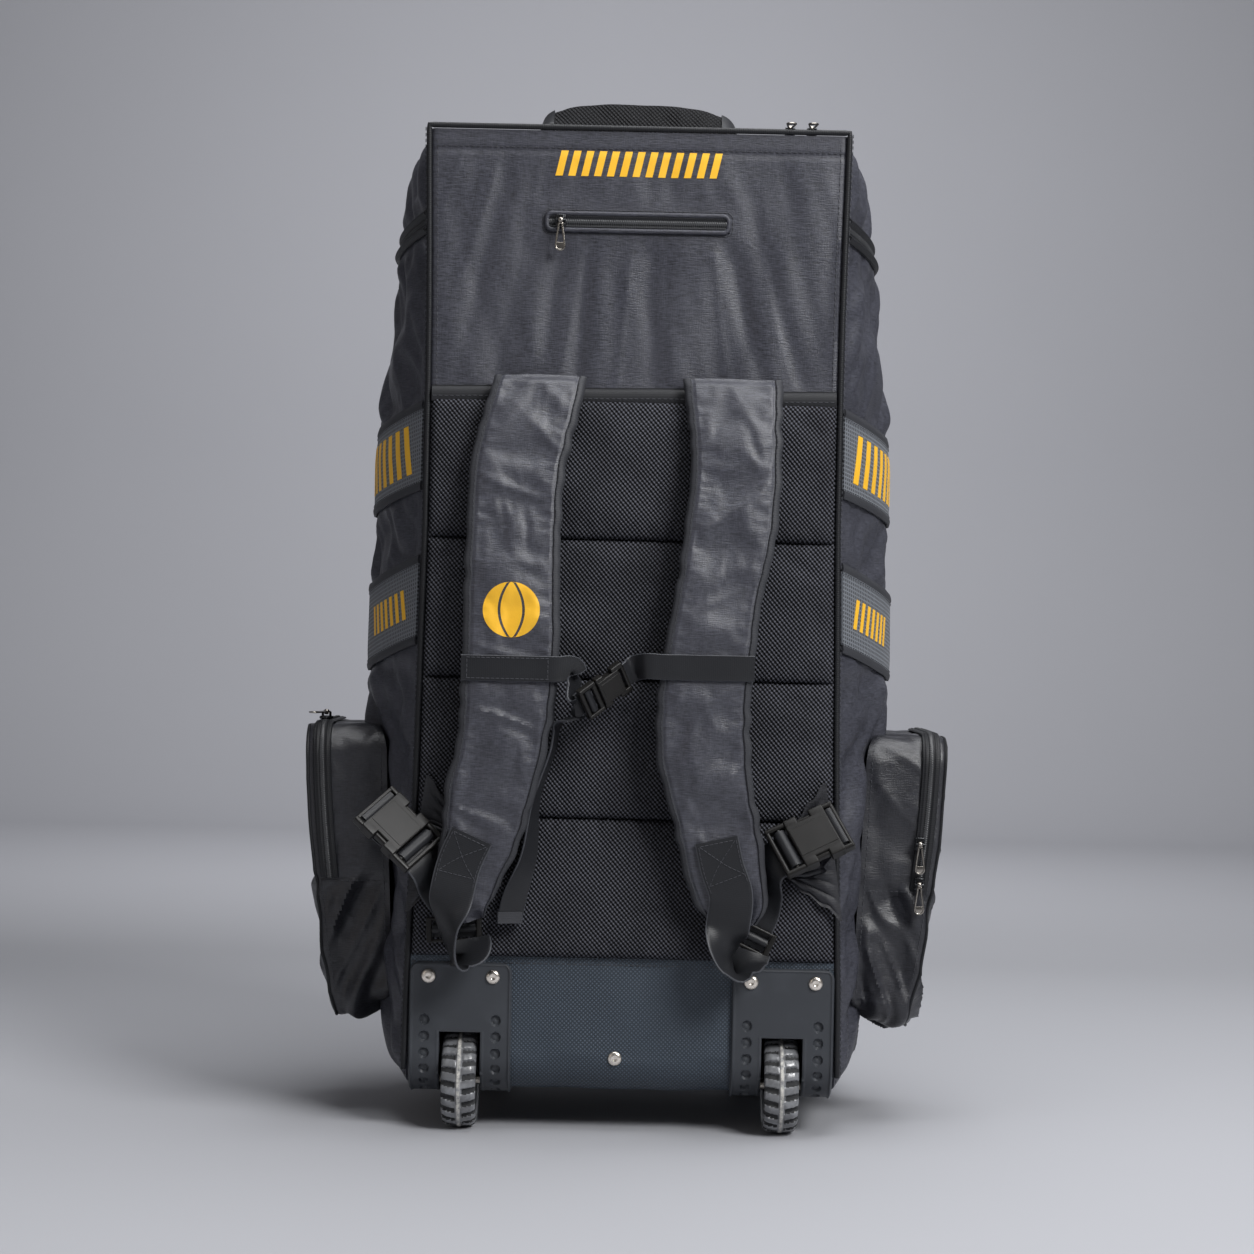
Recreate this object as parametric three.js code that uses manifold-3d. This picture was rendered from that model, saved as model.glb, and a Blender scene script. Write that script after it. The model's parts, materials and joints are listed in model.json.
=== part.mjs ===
// A wheeled cricket kit bag that stands upright: a hollow cloth body with quilted back pads, a pair of
// padded shoulder straps, a sternum strap, cinch bands, side pockets, a grab handle and two wheels.
// Millimetres, floor at z = 0, +Z up. The harness side faces -Y, and the bag's left is -X.
import * as THREE from "three";
import { mergeVertices } from "three/addons/utils/BufferGeometryUtils.js";
import Module from "manifold-3d";

const wasm = await Module();
wasm.setup();

// Driving dimensions: the body
const GROUND_GAP = 37.5; // floor to the underside of the cloth
const BODY_HEIGHT = 833.5; // underside to the top edge
const BACK_HALF = 181; // half the width of the harness side, at its top
const SIDE_HALF = 237; // half the width over the bulged sides
const BACK_DEPTH = 165; // from the harness side forward to the widest line
const FRONT_DEPTH = 188; // from the widest line forward to the front
const BACK_Y = -139; // the harness side's plane, which puts the origin under the middle of the whole
const BASE_RADIUS = 30; // round between the harness side and the underside
const WALL = 2.5; // cloth with its foam and lining
const SEAM = 0.4; // gap between pieces that are sewn or riveted together
const EDGE = 1; // how far the back panels stop short of the side's edge
const PIPING_RADIUS = 2.5;

// Driving dimensions: what is sewn on
const BAND_HEIGHT = 78;
const BAND_THICKNESS = 2;
const BAND_CLEAR = 1; // between the body's skin and a band
const UPPER_BAND = 597; // height of the upper band's middle at the piping
const LOWER_BAND = 463;
const ZIP_DROP = 79; // top edge down to the level zips
const ZIP_WIDTH = 22;
const TAPE = 2;
const TEETH_WIDTH = 6;
const TEETH = 1.4;
const PAD_COUNT = 4;
const PAD_BOTTOM = 153;
const PAD_TOP = 637;
const PAD_THICKNESS = 12;
const BINDING_HEIGHT = 15;
const PANEL_ZIP_LENGTH = 172;
const POCKET_BOTTOM = 85;
const POCKET_TOP = 348;
const POCKET_REACH = 288; // centre line of the bag to the pocket's outer face, at its top
const POCKET_TAPER = 30; // how much nearer that face is at its bottom
const POCKET_BACK = 65; // harness side to the pocket's near edge
const POCKET_DEPTH = 160;
const POCKET_CORNER = 26;
const POCKET_ROUND = 7; // how the outer face is drawn in at its edge
const POCKET_CLEAR = 1; // between the body's skin and the pouch
const POCKET_ZIP = 16; // width of its zip
const POCKET_ZIP_DOWN = 137; // how far the pocket's zip comes down from its top
const HANDLE_SPAN = 165;
const HANDLE_RISE = 47;
const HANDLE_WIDTH = 42;
const HANDLE_THICKNESS = 12;
const HANDLE_LEAN = 50; // degrees that its crown faces the harness side
const HANDLE_BACK = 100; // harness side to the middle of the handle

// Driving dimensions: the harness
const STRAP_WIDTH = 80;
const STRAP_THICKNESS = 14;
const STRAP_TOP = 656;
const STRAP_DROP = 474;
const STRAP_SPACING = 100; // centre line of the bag to the middle of a strap
const STRAP_STANDOFF = 47; // harness side to the middle of a strap, where it stands furthest off
const WEBBING = 38;
const STERNUM_WEBBING = 22;
const WEB_THICKNESS = 1.8;
const LOCK = { length: 22, wider: 10, thickness: 4 }; // wider is over the webbing's width
const BUCKLE = { length: 64, wider: 12, thickness: 11 };
const BUCKLE_OUT = 39; // harness side to the middle of a side buckle
const STERNUM_BUCKLE = { female: 30, male: 17, wider: 8, thickness: 8 };

// Driving dimensions: wheels and hardware
const WHEEL_RADIUS = 42;
const WHEEL_WIDTH = 30;
const WHEEL_SPACING = 140; // centre line of the bag to the middle of a wheel
const WHEEL_BACK = 22; // harness side to the axle
const WHEEL_GAP = 3; // all round the tyre in its well
const AXLE_RADIUS = 4;
const AXLE_GAP = 0.3;
const PLATE_WIDTH = 89;
const PLATE_TOP = 147;
const PLATE_THICKNESS = 3.2;
const PLATE_UNDER = 56; // how far the plate runs forward under the base
const PLATE_CORNER = 9;
const WELL_WALL = 2.6;
const DIMPLE_RADIUS = 4.5;
const DIMPLE_DEPTH = 2;
const DIMPLE_PITCH = 14.4;
const DIMPLE_SIDE = 31; // wheel's middle to a column of dimples
const DIMPLE_TOP = 97;
const RIVET_RADIUS = 6.2;
const RIVET_SIDE = 28;
const RIVET_HEIGHT = 135;
const CENTRE_RIVET = { x: -5, z: 66 };
const FOOT = { x: 130, forward: 242, length: 62, width: 34 };
const SLIDER = { length: 12, width: 9, height: 3.5 };
const PULL = { length: 27, width: 9.5, thickness: 1.8 };
const BAR_RADIUS = 0.9; // of the bar that a pull swings on
const KNUCKLE = { inner: 1.3, outer: 2.5, half: 2.9 };

const BASE_Z = GROUND_GAP;
const TOP_Z = GROUND_GAP + BODY_HEIGHT;
const WIDEST_Y = BACK_Y + BACK_DEPTH;
const CLOTH_OUT = SEAM + WALL; // how far a back panel's face stands off the harness side's plane
const PAD_OUT = SEAM + PAD_THICKNESS;
const LEVEL_ZIP = TOP_Z - ZIP_DROP;

// Level sections of the body. rise is a share of BODY_HEIGHT, back of BACK_HALF, side of SIDE_HALF and
// front of FRONT_DEPTH.
const SECTIONS = [
  { rise: 0, back: 1.033, side: 0.835, front: 0.745 },
  { rise: 0.006, back: 1.033, side: 0.865, front: 0.81 },
  { rise: 0.019, back: 1.033, side: 0.886, front: 0.867 },
  { rise: 0.043, back: 1.03, side: 0.899, front: 0.915 },
  { rise: 0.09, back: 1.028, side: 0.907, front: 0.947 },
  { rise: 0.174, back: 1.017, side: 0.932, front: 0.968 },
  { rise: 0.27, back: 1.006, side: 0.962, front: 0.984 },
  { rise: 0.365, back: 0.997, side: 0.985, front: 1 },
  { rise: 0.449, back: 0.992, side: 1.008, front: 1.01 },
  { rise: 0.52, back: 0.986, side: 1.004, front: 1.01 },
  { rise: 0.592, back: 0.981, side: 0.992, front: 1 },
  { rise: 0.663, back: 0.981, side: 0.992, front: 0.989 },
  { rise: 0.735, back: 0.981, side: 0.964, front: 0.968 },
  { rise: 0.807, back: 0.983, side: 0.942, front: 0.936 },
  { rise: 0.884, back: 0.989, side: 0.923, front: 0.872 },
  { rise: 0.914, back: 0.992, side: 0.895, front: 0.82 },
  { rise: 0.962, back: 0.997, side: 0.865, front: 0.713 },
  { rise: 1, back: 1, side: 0.805, front: 0.574 },
];
const FLANK = 0.6; // share of a half outline from the front's middle to the widest line
const FRONT_POWER = 2.6; // superellipse power of the front half
const FLANK_POWER = 2; // how the flank curves out from the piping
const SIDE_COLUMNS = [1, 0.9, 0.8, 0.7, 0.6, 0.5, 0.4, 0.3];
const FRONT_COLUMNS = [-0.3, -0.2, -0.1, 0, 0.1, 0.2, 0.3];

// Folds of the upper back panel. at and lean are shares of its half width, depth of FOLD_DEPTH and wide of
// the half width.
const FOLD_DEPTH = 3.5;
const FOLDS = [
  { at: -0.62, lean: -0.22, depth: 0.8, wide: 0.09 },
  { at: -0.38, lean: -0.2, depth: 1, wide: 0.08 },
  { at: -0.1, lean: -0.08, depth: 0.9, wide: 0.07 },
  { at: 0.16, lean: 0.02, depth: 0.8, wide: 0.07 },
  { at: 0.5, lean: 0.14, depth: 1, wide: 0.08 },
  { at: 0.74, lean: 0.12, depth: 0.7, wide: 0.08 },
];

// Middle line of the shoulder straps, top to bottom. down is a share of STRAP_DROP, left and right of
// STRAP_SPACING, wideLeft and wideRight of STRAP_WIDTH, and out of STRAP_STANDOFF.
const STRAP_STATIONS = [
  { down: 0, left: 0.81, right: 0.852, wideLeft: 1, wideRight: 1.08, out: 0.245 },
  { down: 0.042, left: 0.85, right: 0.865, wideLeft: 1, wideRight: 1.05, out: 0.43 },
  { down: 0.093, left: 0.91, right: 0.88, wideLeft: 1.01, wideRight: 1, out: 0.56 },
  { down: 0.156, left: 0.976, right: 0.89, wideLeft: 1.02, wideRight: 0.98, out: 0.68 },
  { down: 0.283, left: 1.006, right: 0.845, wideLeft: 1.01, wideRight: 0.99, out: 0.85 },
  { down: 0.397, left: 1.01, right: 0.755, wideLeft: 1.03, wideRight: 0.93, out: 0.95 },
  { down: 0.5, left: 1.005, right: 0.69, wideLeft: 1.04, wideRight: 0.98, out: 1 },
  { down: 0.57, left: 1.02, right: 0.653, wideLeft: 1.03, wideRight: 1, out: 1 },
  { down: 0.684, left: 1.08, right: 0.66, wideLeft: 0.96, wideRight: 1.01, out: 0.96 },
  { down: 0.77, left: 1.18, right: 0.74, wideLeft: 0.95, wideRight: 0.92, out: 0.9 },
  { down: 0.823, left: 1.22, right: 0.8, wideLeft: 0.875, wideRight: 0.91, out: 0.85 },
  { down: 0.903, left: 1.32, right: 0.875, wideLeft: 0.71, wideRight: 0.86, out: 0.76 },
  { down: 0.958, left: 1.33, right: 0.945, wideLeft: 0.52, wideRight: 0.72, out: 0.7 },
  { down: 0.99, left: 1.28, right: 0.955, wideLeft: 0.25, wideRight: 0.5, out: 0.66 },
];

// Webbing that hangs free of the straps. x is a share of STRAP_SPACING, z of PAD_TOP and out of
// STRAP_STANDOFF. turn swings its width about the vertical and tilt lifts its right edge, in degrees.
const LEFT_TAB = [
  { x: -1.5, z: 0.283, out: 0.94, turn: -60, tilt: 0 },
  { x: -1.39, z: 0.232, out: 0.8, turn: -76, tilt: 0 },
  { x: -1.3, z: 0.247, out: 0.68, turn: -38, tilt: -10 },
  { x: -1.33, z: 0.266, out: 0.474, turn: 0, tilt: -2 },
];
const RIGHT_TAB = [
  { x: 0.893, z: 0.291, out: 0.86, turn: 0, tilt: 4 },
  { x: 0.875, z: 0.264, out: 0.81, turn: 46, tilt: 2 },
  { x: 0.905, z: 0.241, out: 0.76, turn: 70, tilt: 0 },
  { x: 1.0, z: 0.226, out: 0.69, turn: 88, tilt: 0 },
  { x: 1.045, z: 0.232, out: 0.6, turn: 125, tilt: -20 },
  { x: 1.065, z: 0.245, out: 0.51, turn: 160, tilt: -26 },
  { x: 1.09, z: 0.258, out: 0.461, turn: 180, tilt: -26 },
];
const TAIL = [
  { x: -0.575, z: 0.562, out: 0.86, turn: 80, tilt: 0 },
  { x: -0.64, z: 0.523, out: 0.68, turn: 80, tilt: 0 },
  { x: -0.77, z: 0.457, out: 0.58, turn: 75, tilt: 0 },
  { x: -0.83, z: 0.377, out: 0.56, turn: 50, tilt: 0 },
  { x: -0.95, z: 0.318, out: 0.5, turn: 18, tilt: 0 },
  { x: -0.98, z: 0.29, out: 0.5, turn: 15, tilt: 0 },
];

// Middles of the harness hardware. x is a share of STRAP_SPACING, and z of PAD_TOP.
const LEFT_LOCK = { x: -1.46, z: 0.2779 };
const RIGHT_LOCK = { x: 1.07, z: 0.2779 };
const LEFT_BUCKLE = { x: -1.94, z: 0.4144 };
const RIGHT_BUCKLE = { x: 1.58, z: 0.4113 };
const STERNUM = { x: -0.2, z: 0.6075, onLeft: 0.6327, onRight: 0.6389 };
const WING = { low: 0.2983, high: 0.4867, tip: 1.43 };

// Arch of the grab handle. along is a share of half its span, rise of its middle line's rise and lean of
// HANDLE_LEAN.
const HANDLE_STATIONS = [
  { along: -1, rise: 0, lean: 0 },
  { along: -1, rise: 0.4, lean: 0.1 },
  { along: -0.96, rise: 0.8, lean: 0.5 },
  { along: -0.8, rise: 0.9, lean: 0.8 },
  { along: -0.45, rise: 0.985, lean: 1 },
  { along: 0, rise: 1, lean: 1 },
  { along: 0.45, rise: 0.95, lean: 1 },
  { along: 0.78, rise: 0.85, lean: 0.8 },
  { along: 0.95, rise: 0.7, lean: 0.5 },
  { along: 1, rise: 0.35, lean: 0.1 },
  { along: 1, rise: 0, lean: 0 },
];

// Half of the tyre's profile. out is a share of WHEEL_WIDTH / 2, and radius of WHEEL_RADIUS.
const TYRE_PROFILE = [
  { out: 0.1, radius: 1 },
  { out: 0.16, radius: 0.975 },
  { out: 0.72, radius: 0.965, tread: 0.045 },
  { out: 1, radius: 0.87, tread: 0.03 },
  { out: 0.92, radius: 0.74 },
  { out: 0.4, radius: 0.7 },
];
const TREAD_STATIONS = 24;

const v = (x, y, z) => new THREE.Vector3(x, y, z);
const mix = THREE.MathUtils.lerp;

const cloth = new THREE.MeshStandardMaterial({ color: 0x2b2c30, roughness: 0.75 });
const mesh3d = new THREE.MeshStandardMaterial({ color: 0x17181a, roughness: 0.9 });
const coated = new THREE.MeshStandardMaterial({ color: 0x272b31, roughness: 0.6 });
const bandCloth = new THREE.MeshStandardMaterial({ color: 0x3a3a3a, roughness: 0.85 });
const webbing = new THREE.MeshStandardMaterial({ color: 0x232426, roughness: 0.7 });
const trim = new THREE.MeshStandardMaterial({ color: 0x1f2022, roughness: 0.6 });
const buckle = new THREE.MeshStandardMaterial({ color: 0x2a2a2b, roughness: 0.4 });
const plate = new THREE.MeshStandardMaterial({ color: 0x2d2f33, roughness: 0.5 });
const rubber = new THREE.MeshStandardMaterial({ color: 0x3a3d3d, roughness: 0.55 });
const nickel = new THREE.MeshStandardMaterial({ color: 0xd8d3ca, roughness: 0.25, metalness: 1 });
const blackMetal = new THREE.MeshStandardMaterial({ color: 0x303133, roughness: 0.3, metalness: 1 });

const bag = new THREE.Group();

// Adds a named piece to the bag, at its own place and turn if these are given.
function add(name, geometry, material, at = null, turn = null) {
  const mesh = new THREE.Mesh(geometry, material);
  mesh.name = name;
  if (at) mesh.position.copy(at);
  if (turn) mesh.quaternion.copy(turn);
  bag.add(mesh);
  return mesh;
}

// A closed body from its corners and triangles, turned so that its faces point out.
function body(points, triangles) {
  const volume = triangles.reduce(
    (sum, [a, b, c]) => sum + points[a].dot(points[b].clone().cross(points[c])),
    0,
  );
  const order = volume < 0 ? triangles.map(([a, b, c]) => [a, c, b]) : triangles;
  const geometry = new THREE.BufferGeometry();
  const numbers = points.flatMap((p) => [p.x, p.y, p.z]);
  geometry.setAttribute("position", new THREE.Float32BufferAttribute(numbers, 3));
  geometry.setIndex(order.flat());
  geometry.computeVertexNormals();
  return geometry;
}

const quad = (a, b, c, d) => [
  [a, b, c],
  [a, c, d],
];

const middleOf = (points) =>
  points.reduce((sum, p) => sum.add(p), v(0, 0, 0)).divideScalar(points.length);

// A body whose skin runs through closed rings, with a cap at either end, or closed on itself as a hoop.
function loft(rings, hoop = false) {
  const count = rings[0].length;
  const points = rings.flat();
  const triangles = [];
  const at = (i, k) => (i % rings.length) * count + (k % count);
  const last = hoop ? rings.length : rings.length - 1;
  for (let i = 0; i < last; i++)
    for (let k = 0; k < count; k++)
      triangles.push(...quad(at(i, k), at(i, k + 1), at(i + 1, k + 1), at(i + 1, k)));
  if (hoop) return body(points, triangles);
  const first = points.push(middleOf(rings[0])) - 1;
  const end = points.push(middleOf(rings[rings.length - 1])) - 1;
  for (let k = 0; k < count; k++) {
    triangles.push([first, at(0, k + 1), at(0, k)]);
    triangles.push([end, at(last, k), at(last, k + 1)]);
  }
  return body(points, triangles);
}

// A sheet of cloth with thickness, between an outer and an inner grid of points.
function sheet(outer, inner) {
  const columns = outer[0].length;
  const points = [...outer.flat(), ...inner.flat()];
  const o = (i, j) => i * columns + j;
  const n = (i, j) => outer.length * columns + o(i, j);
  const triangles = [];
  const bottom = outer.length - 1;
  const right = columns - 1;
  for (let i = 0; i < bottom; i++)
    for (let j = 0; j < right; j++) {
      triangles.push(...quad(o(i, j), o(i, j + 1), o(i + 1, j + 1), o(i + 1, j)));
      triangles.push(...quad(n(i, j), n(i + 1, j), n(i + 1, j + 1), n(i, j + 1)));
    }
  for (let j = 0; j < right; j++) {
    triangles.push(...quad(o(0, j + 1), o(0, j), n(0, j), n(0, j + 1)));
    triangles.push(...quad(o(bottom, j), o(bottom, j + 1), n(bottom, j + 1), n(bottom, j)));
  }
  for (let i = 0; i < bottom; i++) {
    triangles.push(...quad(o(i, 0), o(i + 1, 0), n(i + 1, 0), n(i, 0)));
    triangles.push(...quad(o(i + 1, right), o(i, right), n(i, right), n(i + 1, right)));
  }
  return body(points, triangles);
}

function toManifold(geometry) {
  const bare = new THREE.BufferGeometry();
  bare.setAttribute("position", geometry.getAttribute("position").clone());
  if (geometry.index) bare.setIndex(geometry.index.clone());
  const merged = mergeVertices(bare, 1e-4);
  const vertProperties = merged.attributes.position.array;
  const triVerts = new Uint32Array(merged.index.array);
  return new wasm.Manifold(new wasm.Mesh({ numProp: 3, vertProperties, triVerts }));
}

function toGeometry(manifold) {
  const made = manifold.getMesh();
  const geometry = new THREE.BufferGeometry();
  geometry.setAttribute("position", new THREE.Float32BufferAttribute(made.vertProperties, 3));
  geometry.setIndex(new THREE.BufferAttribute(made.triVerts, 1));
  geometry.computeVertexNormals();
  return geometry;
}

const join = (first, ...others) =>
  toGeometry(others.reduce((sum, g) => sum.add(toManifold(g)), toManifold(first)));

const cut = (first, ...others) =>
  toGeometry(others.reduce((left, g) => left.subtract(toManifold(g)), toManifold(first)));

// A box from its lowest and highest corners.
function box(low, high) {
  const size = high.clone().sub(low);
  const middle = low.clone().add(high).divideScalar(2);
  return new THREE.BoxGeometry(size.x, size.y, size.z).translate(middle.x, middle.y, middle.z);
}

// A level section of the body at a height, in millimetres, with the back edge drawn in round the base.
function sectionAt(z) {
  const rise = THREE.MathUtils.clamp((z - BASE_Z) / BODY_HEIGHT, 0, 1);
  const above = Math.max(1, SECTIONS.findIndex((s) => s.rise >= rise));
  const [a, b] = [SECTIONS[above - 1], SECTIONS[above]];
  const share = (rise - a.rise) / (b.rise - a.rise);
  const below = Math.max(0, BASE_RADIUS - rise * BODY_HEIGHT);
  return {
    back: mix(a.back, b.back, share) * BACK_HALF,
    side: mix(a.side, b.side, share) * SIDE_HALF,
    front: mix(a.front, b.front, share) * FRONT_DEPTH,
    inset: BASE_RADIUS - Math.sqrt(BASE_RADIUS ** 2 - below ** 2),
  };
}

// A point of the body's skin. t runs from -1 at the left piping, by 0 at the front's middle, to 1 at the
// right piping.
function skinPoint(t, z) {
  const { back, side, front, inset } = sectionAt(z);
  const share = Math.min(1, Math.abs(t));
  const backY = BACK_Y + inset;
  if (share > FLANK) {
    const s = (1 - share) / (1 - FLANK);
    const x = back + (side - back) * (1 - (1 - s) ** FLANK_POWER);
    return v(Math.sign(t) * x, mix(backY, WIDEST_Y, s), z);
  }
  const angle = (share / FLANK) * (Math.PI / 2);
  const x = side * Math.sin(angle) ** (2 / FRONT_POWER);
  const y = WIDEST_Y + front * Math.max(0, Math.cos(angle)) ** (2 / FRONT_POWER);
  return v(Math.sign(t) * x, y, z);
}

// How far the side stands from the bag's centre line, at a depth and a height.
function sideX(y, z) {
  const { back, side, front, inset } = sectionAt(z);
  if (y < WIDEST_Y) {
    const s = (y - BACK_Y - inset) / (BACK_DEPTH - inset);
    return back + (side - back) * (1 - (1 - s) ** FLANK_POWER);
  }
  return side * (1 - ((y - WIDEST_Y) / front) ** FRONT_POWER) ** (1 / FRONT_POWER);
}

function tangents(t, z) {
  const [step, lift] = [0.01, 4];
  const high = Math.min(z + lift, TOP_Z);
  const low = Math.max(z - lift, BASE_Z);
  const along = skinPoint(Math.min(t + step, 1), z).sub(skinPoint(Math.max(t - step, -1), z));
  const up = skinPoint(t, high).sub(skinPoint(t, low));
  return { along: along.normalize(), out: up.cross(along).normalize() };
}

// The facets between the sections, so that what lies on the body follows the same flats.
function facetPoint(t, z) {
  const rise = (z - BASE_Z) / BODY_HEIGHT;
  const above = THREE.MathUtils.clamp(
    SECTIONS.findIndex((s) => s.rise >= rise),
    1,
    SECTIONS.length - 1,
  );
  const [low, high] = [SECTIONS[above - 1].rise, SECTIONS[above].rise];
  const share = (rise - low) / (high - low);
  const bottom = skinPoint(t, BASE_Z + low * BODY_HEIGHT);
  return bottom.lerp(skinPoint(t, BASE_Z + high * BODY_HEIGHT), share);
}

// Cloth on the body's skin: a grid over the columns and, in each, over the heights that heightsAt gives.
function skinSheet(columns, heightsAt, offset, thickness, endGap = 0) {
  const grid = (away) =>
    columns.map((t, i) =>
      heightsAt(t).map((z) => {
        const { along, out } = tangents(t, z);
        const end = i === 0 ? endGap : i === columns.length - 1 ? -endGap : 0;
        return facetPoint(t, z).addScaledVector(out, away).addScaledVector(along, end);
      }),
    );
  return sheet(grid(offset + thickness), grid(offset));
}

// Heights of a band that droops from the piping towards the front, at a column.
function bandHeights(middle, height, droop, rows) {
  return (t) => {
    const s = Math.min(1, (1 - Math.abs(t)) / (1 - FLANK));
    const centre = middle - droop * Math.sin((s * Math.PI) / 2);
    return Array.from({ length: rows }, (_, i) => centre + height * (i / (rows - 1) - 0.5));
  };
}

// The body: two side panels, a front panel, a base and a top
const sectionHeights = () => SECTIONS.map((s) => BASE_Z + s.rise * BODY_HEIGHT);
const leftColumns = SIDE_COLUMNS.map((t) => -t);
const rightColumns = [...SIDE_COLUMNS].reverse();
add("left_side_panel", skinSheet(leftColumns, sectionHeights, -WALL, WALL, SEAM / 2), cloth);
add("right_side_panel", skinSheet(rightColumns, sectionHeights, -WALL, WALL, SEAM / 2), cloth);
add("front_panel", skinSheet(FRONT_COLUMNS, sectionHeights, -WALL, WALL, SEAM / 2), cloth);

const wheelY = BACK_Y + WHEEL_BACK;
const wellHalf = WHEEL_WIDTH / 2 + WHEEL_GAP;
const wellTop = WHEEL_RADIUS * 2 + WHEEL_GAP;
const wellFront = wheelY + WHEEL_RADIUS + WHEEL_GAP + 2;

// The room that a wheel's well needs in the cloth round it.
function wellRoom(side) {
  const half = wellHalf + WELL_WALL + SEAM;
  const middle = side * WHEEL_SPACING;
  const low = v(middle - half, BACK_Y - BASE_RADIUS, 0);
  return box(low, v(middle + half, wellFront + WELL_WALL + SEAM, wellTop + WELL_WALL + SEAM));
}

// A level panel with the outline of the section at a height, drawn in by a margin.
function levelPanel(z, bottom, margin) {
  const columns = [...leftColumns, ...FRONT_COLUMNS.slice(1, -1), ...rightColumns];
  const outline = columns.map((t) => {
    const p = skinPoint(t, z).addScaledVector(tangents(t, z).out.setZ(0).normalize(), -margin);
    return new THREE.Vector2(p.x, p.y);
  });
  const geometry = new THREE.ExtrudeGeometry(new THREE.Shape(outline), {
    depth: WALL,
    bevelEnabled: false,
  });
  return geometry.translate(0, 0, bottom);
}

const basePanel = levelPanel(BASE_Z, BASE_Z, WALL + SEAM);
add("base_panel", cut(basePanel, wellRoom(-1), wellRoom(1)), coated);
add("top_panel", levelPanel(TOP_Z, TOP_Z - WALL, WALL * 1.5 + SEAM), cloth);

// The harness side: cloth above, quilted pads, coated cloth below
const backHalfAt = (z) => sectionAt(z).back - EDGE;
const outPoint = (x, out, z) => v(x, BACK_Y - out, z);

// How far the upper panel is drawn in by its folds.
function foldDepth(across, up) {
  const fade = Math.sin(Math.PI * THREE.MathUtils.clamp(up, 0, 1)) * (1 - across ** 4);
  const drawn = FOLDS.map(({ at, lean, depth, wide }) => {
    const away = (across - at - lean * (0.5 - up)) / wide;
    return depth * Math.exp(-(away ** 2));
  });
  return FOLD_DEPTH * fade * Math.max(...drawn);
}

function upperPanel() {
  const [rows, columns] = [7, 20];
  const bottom = PAD_TOP + SEAM;
  const grid = (out) =>
    Array.from({ length: rows }, (_, i) =>
      Array.from({ length: columns + 1 }, (_, j) => {
        const up = i / (rows - 1);
        const z = mix(bottom, TOP_Z, up);
        const across = (2 * j) / columns - 1;
        return outPoint(across * backHalfAt(z), out - foldDepth(across, up), z);
      }),
    );
  return sheet(grid(CLOTH_OUT), grid(SEAM));
}
add("upper_back_panel", upperPanel(), cloth);

// A quilted pad: full at its seams and crowned between them.
function quiltedPad(bottom, top) {
  const ring = (out, inset) => {
    const low = backHalfAt(bottom) - inset;
    const high = backHalfAt(top) - inset;
    return [
      outPoint(-low, out, bottom + inset),
      outPoint(low, out, bottom + inset),
      outPoint(high, out, top - inset),
      outPoint(-high, out, top - inset),
    ];
  };
  const shoulder = PAD_THICKNESS / 4;
  return loft([ring(SEAM, SEAM), ring(PAD_OUT - shoulder, SEAM * 2), ring(PAD_OUT, shoulder * 3)]);
}
const padHeight = (PAD_TOP - PAD_BOTTOM) / PAD_COUNT;
for (let i = 0; i < PAD_COUNT; i++) {
  const bottom = PAD_BOTTOM + i * padHeight;
  add(`back_pad_${i + 1}`, quiltedPad(bottom, bottom + padHeight), mesh3d);
}

const bindingOut = CLOTH_OUT + SEAM + TAPE + 1;
const bindingHalf = backHalfAt(PAD_TOP) - EDGE;
const bindingLow = outPoint(-bindingHalf, bindingOut, PAD_TOP + SEAM);
const bindingHigh = outPoint(bindingHalf, CLOTH_OUT + SEAM, PAD_TOP + BINDING_HEIGHT);
add("pad_binding", box(bindingLow, bindingHigh), trim);

// Line down the harness side, round the base's back edge and forward under it, offset out of the cloth.
function cornerLine(offset, top, under) {
  const centre = { y: BACK_Y + BASE_RADIUS, z: BASE_Z + BASE_RADIUS };
  const steps = 6;
  const arc = Array.from({ length: steps + 1 }, (_, i) => {
    const angle = ((Math.PI / 2) * i) / steps;
    const r = BASE_RADIUS + offset;
    return new THREE.Vector2(centre.y - r * Math.cos(angle), centre.z - r * Math.sin(angle));
  });
  const start = new THREE.Vector2(BACK_Y - offset, top);
  return [start, ...arc, new THREE.Vector2(centre.y + under, BASE_Z - offset)];
}

// A shape drawn in y and z, pulled along x.
function alongX(points, from, to) {
  const depth = to - from;
  const shape = new THREE.Shape(points);
  const geometry = new THREE.ExtrudeGeometry(shape, { depth, bevelEnabled: false });
  const turn = new THREE.Matrix4().makeBasis(v(0, 1, 0), v(0, 0, 1), v(1, 0, 0));
  return geometry.applyMatrix4(turn).translate(from, 0, 0);
}

const cornerWall = (near, far, top, under) => [
  ...cornerLine(far, top, under),
  ...cornerLine(near, top, under).reverse(),
];
const lowerHalf = backHalfAt(PAD_BOTTOM);
const lowerWall = alongX(cornerWall(SEAM, CLOTH_OUT, PAD_BOTTOM - SEAM, SEAM), -lowerHalf, lowerHalf);
add("lower_back_panel", cut(lowerWall, wellRoom(-1), wellRoom(1)), coated);

// A round cord through a list of points, with the number of sides given.
function cord(points, radius, sides) {
  const rings = points.map((p, i) => {
    const before = points[Math.max(0, i - 1)];
    const after = points[Math.min(points.length - 1, i + 1)];
    const along = after.clone().sub(before).normalize();
    const out = v(0, -1, 0).addScaledVector(along, along.y).normalize();
    const across = along.clone().cross(out);
    return Array.from({ length: sides }, (_, k) => {
      const angle = (2 * Math.PI * k) / sides;
      const spoke = out.clone().multiplyScalar(Math.cos(angle));
      return p.clone().addScaledVector(spoke.addScaledVector(across, Math.sin(angle)), radius);
    });
  });
  return loft(rings);
}

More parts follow.
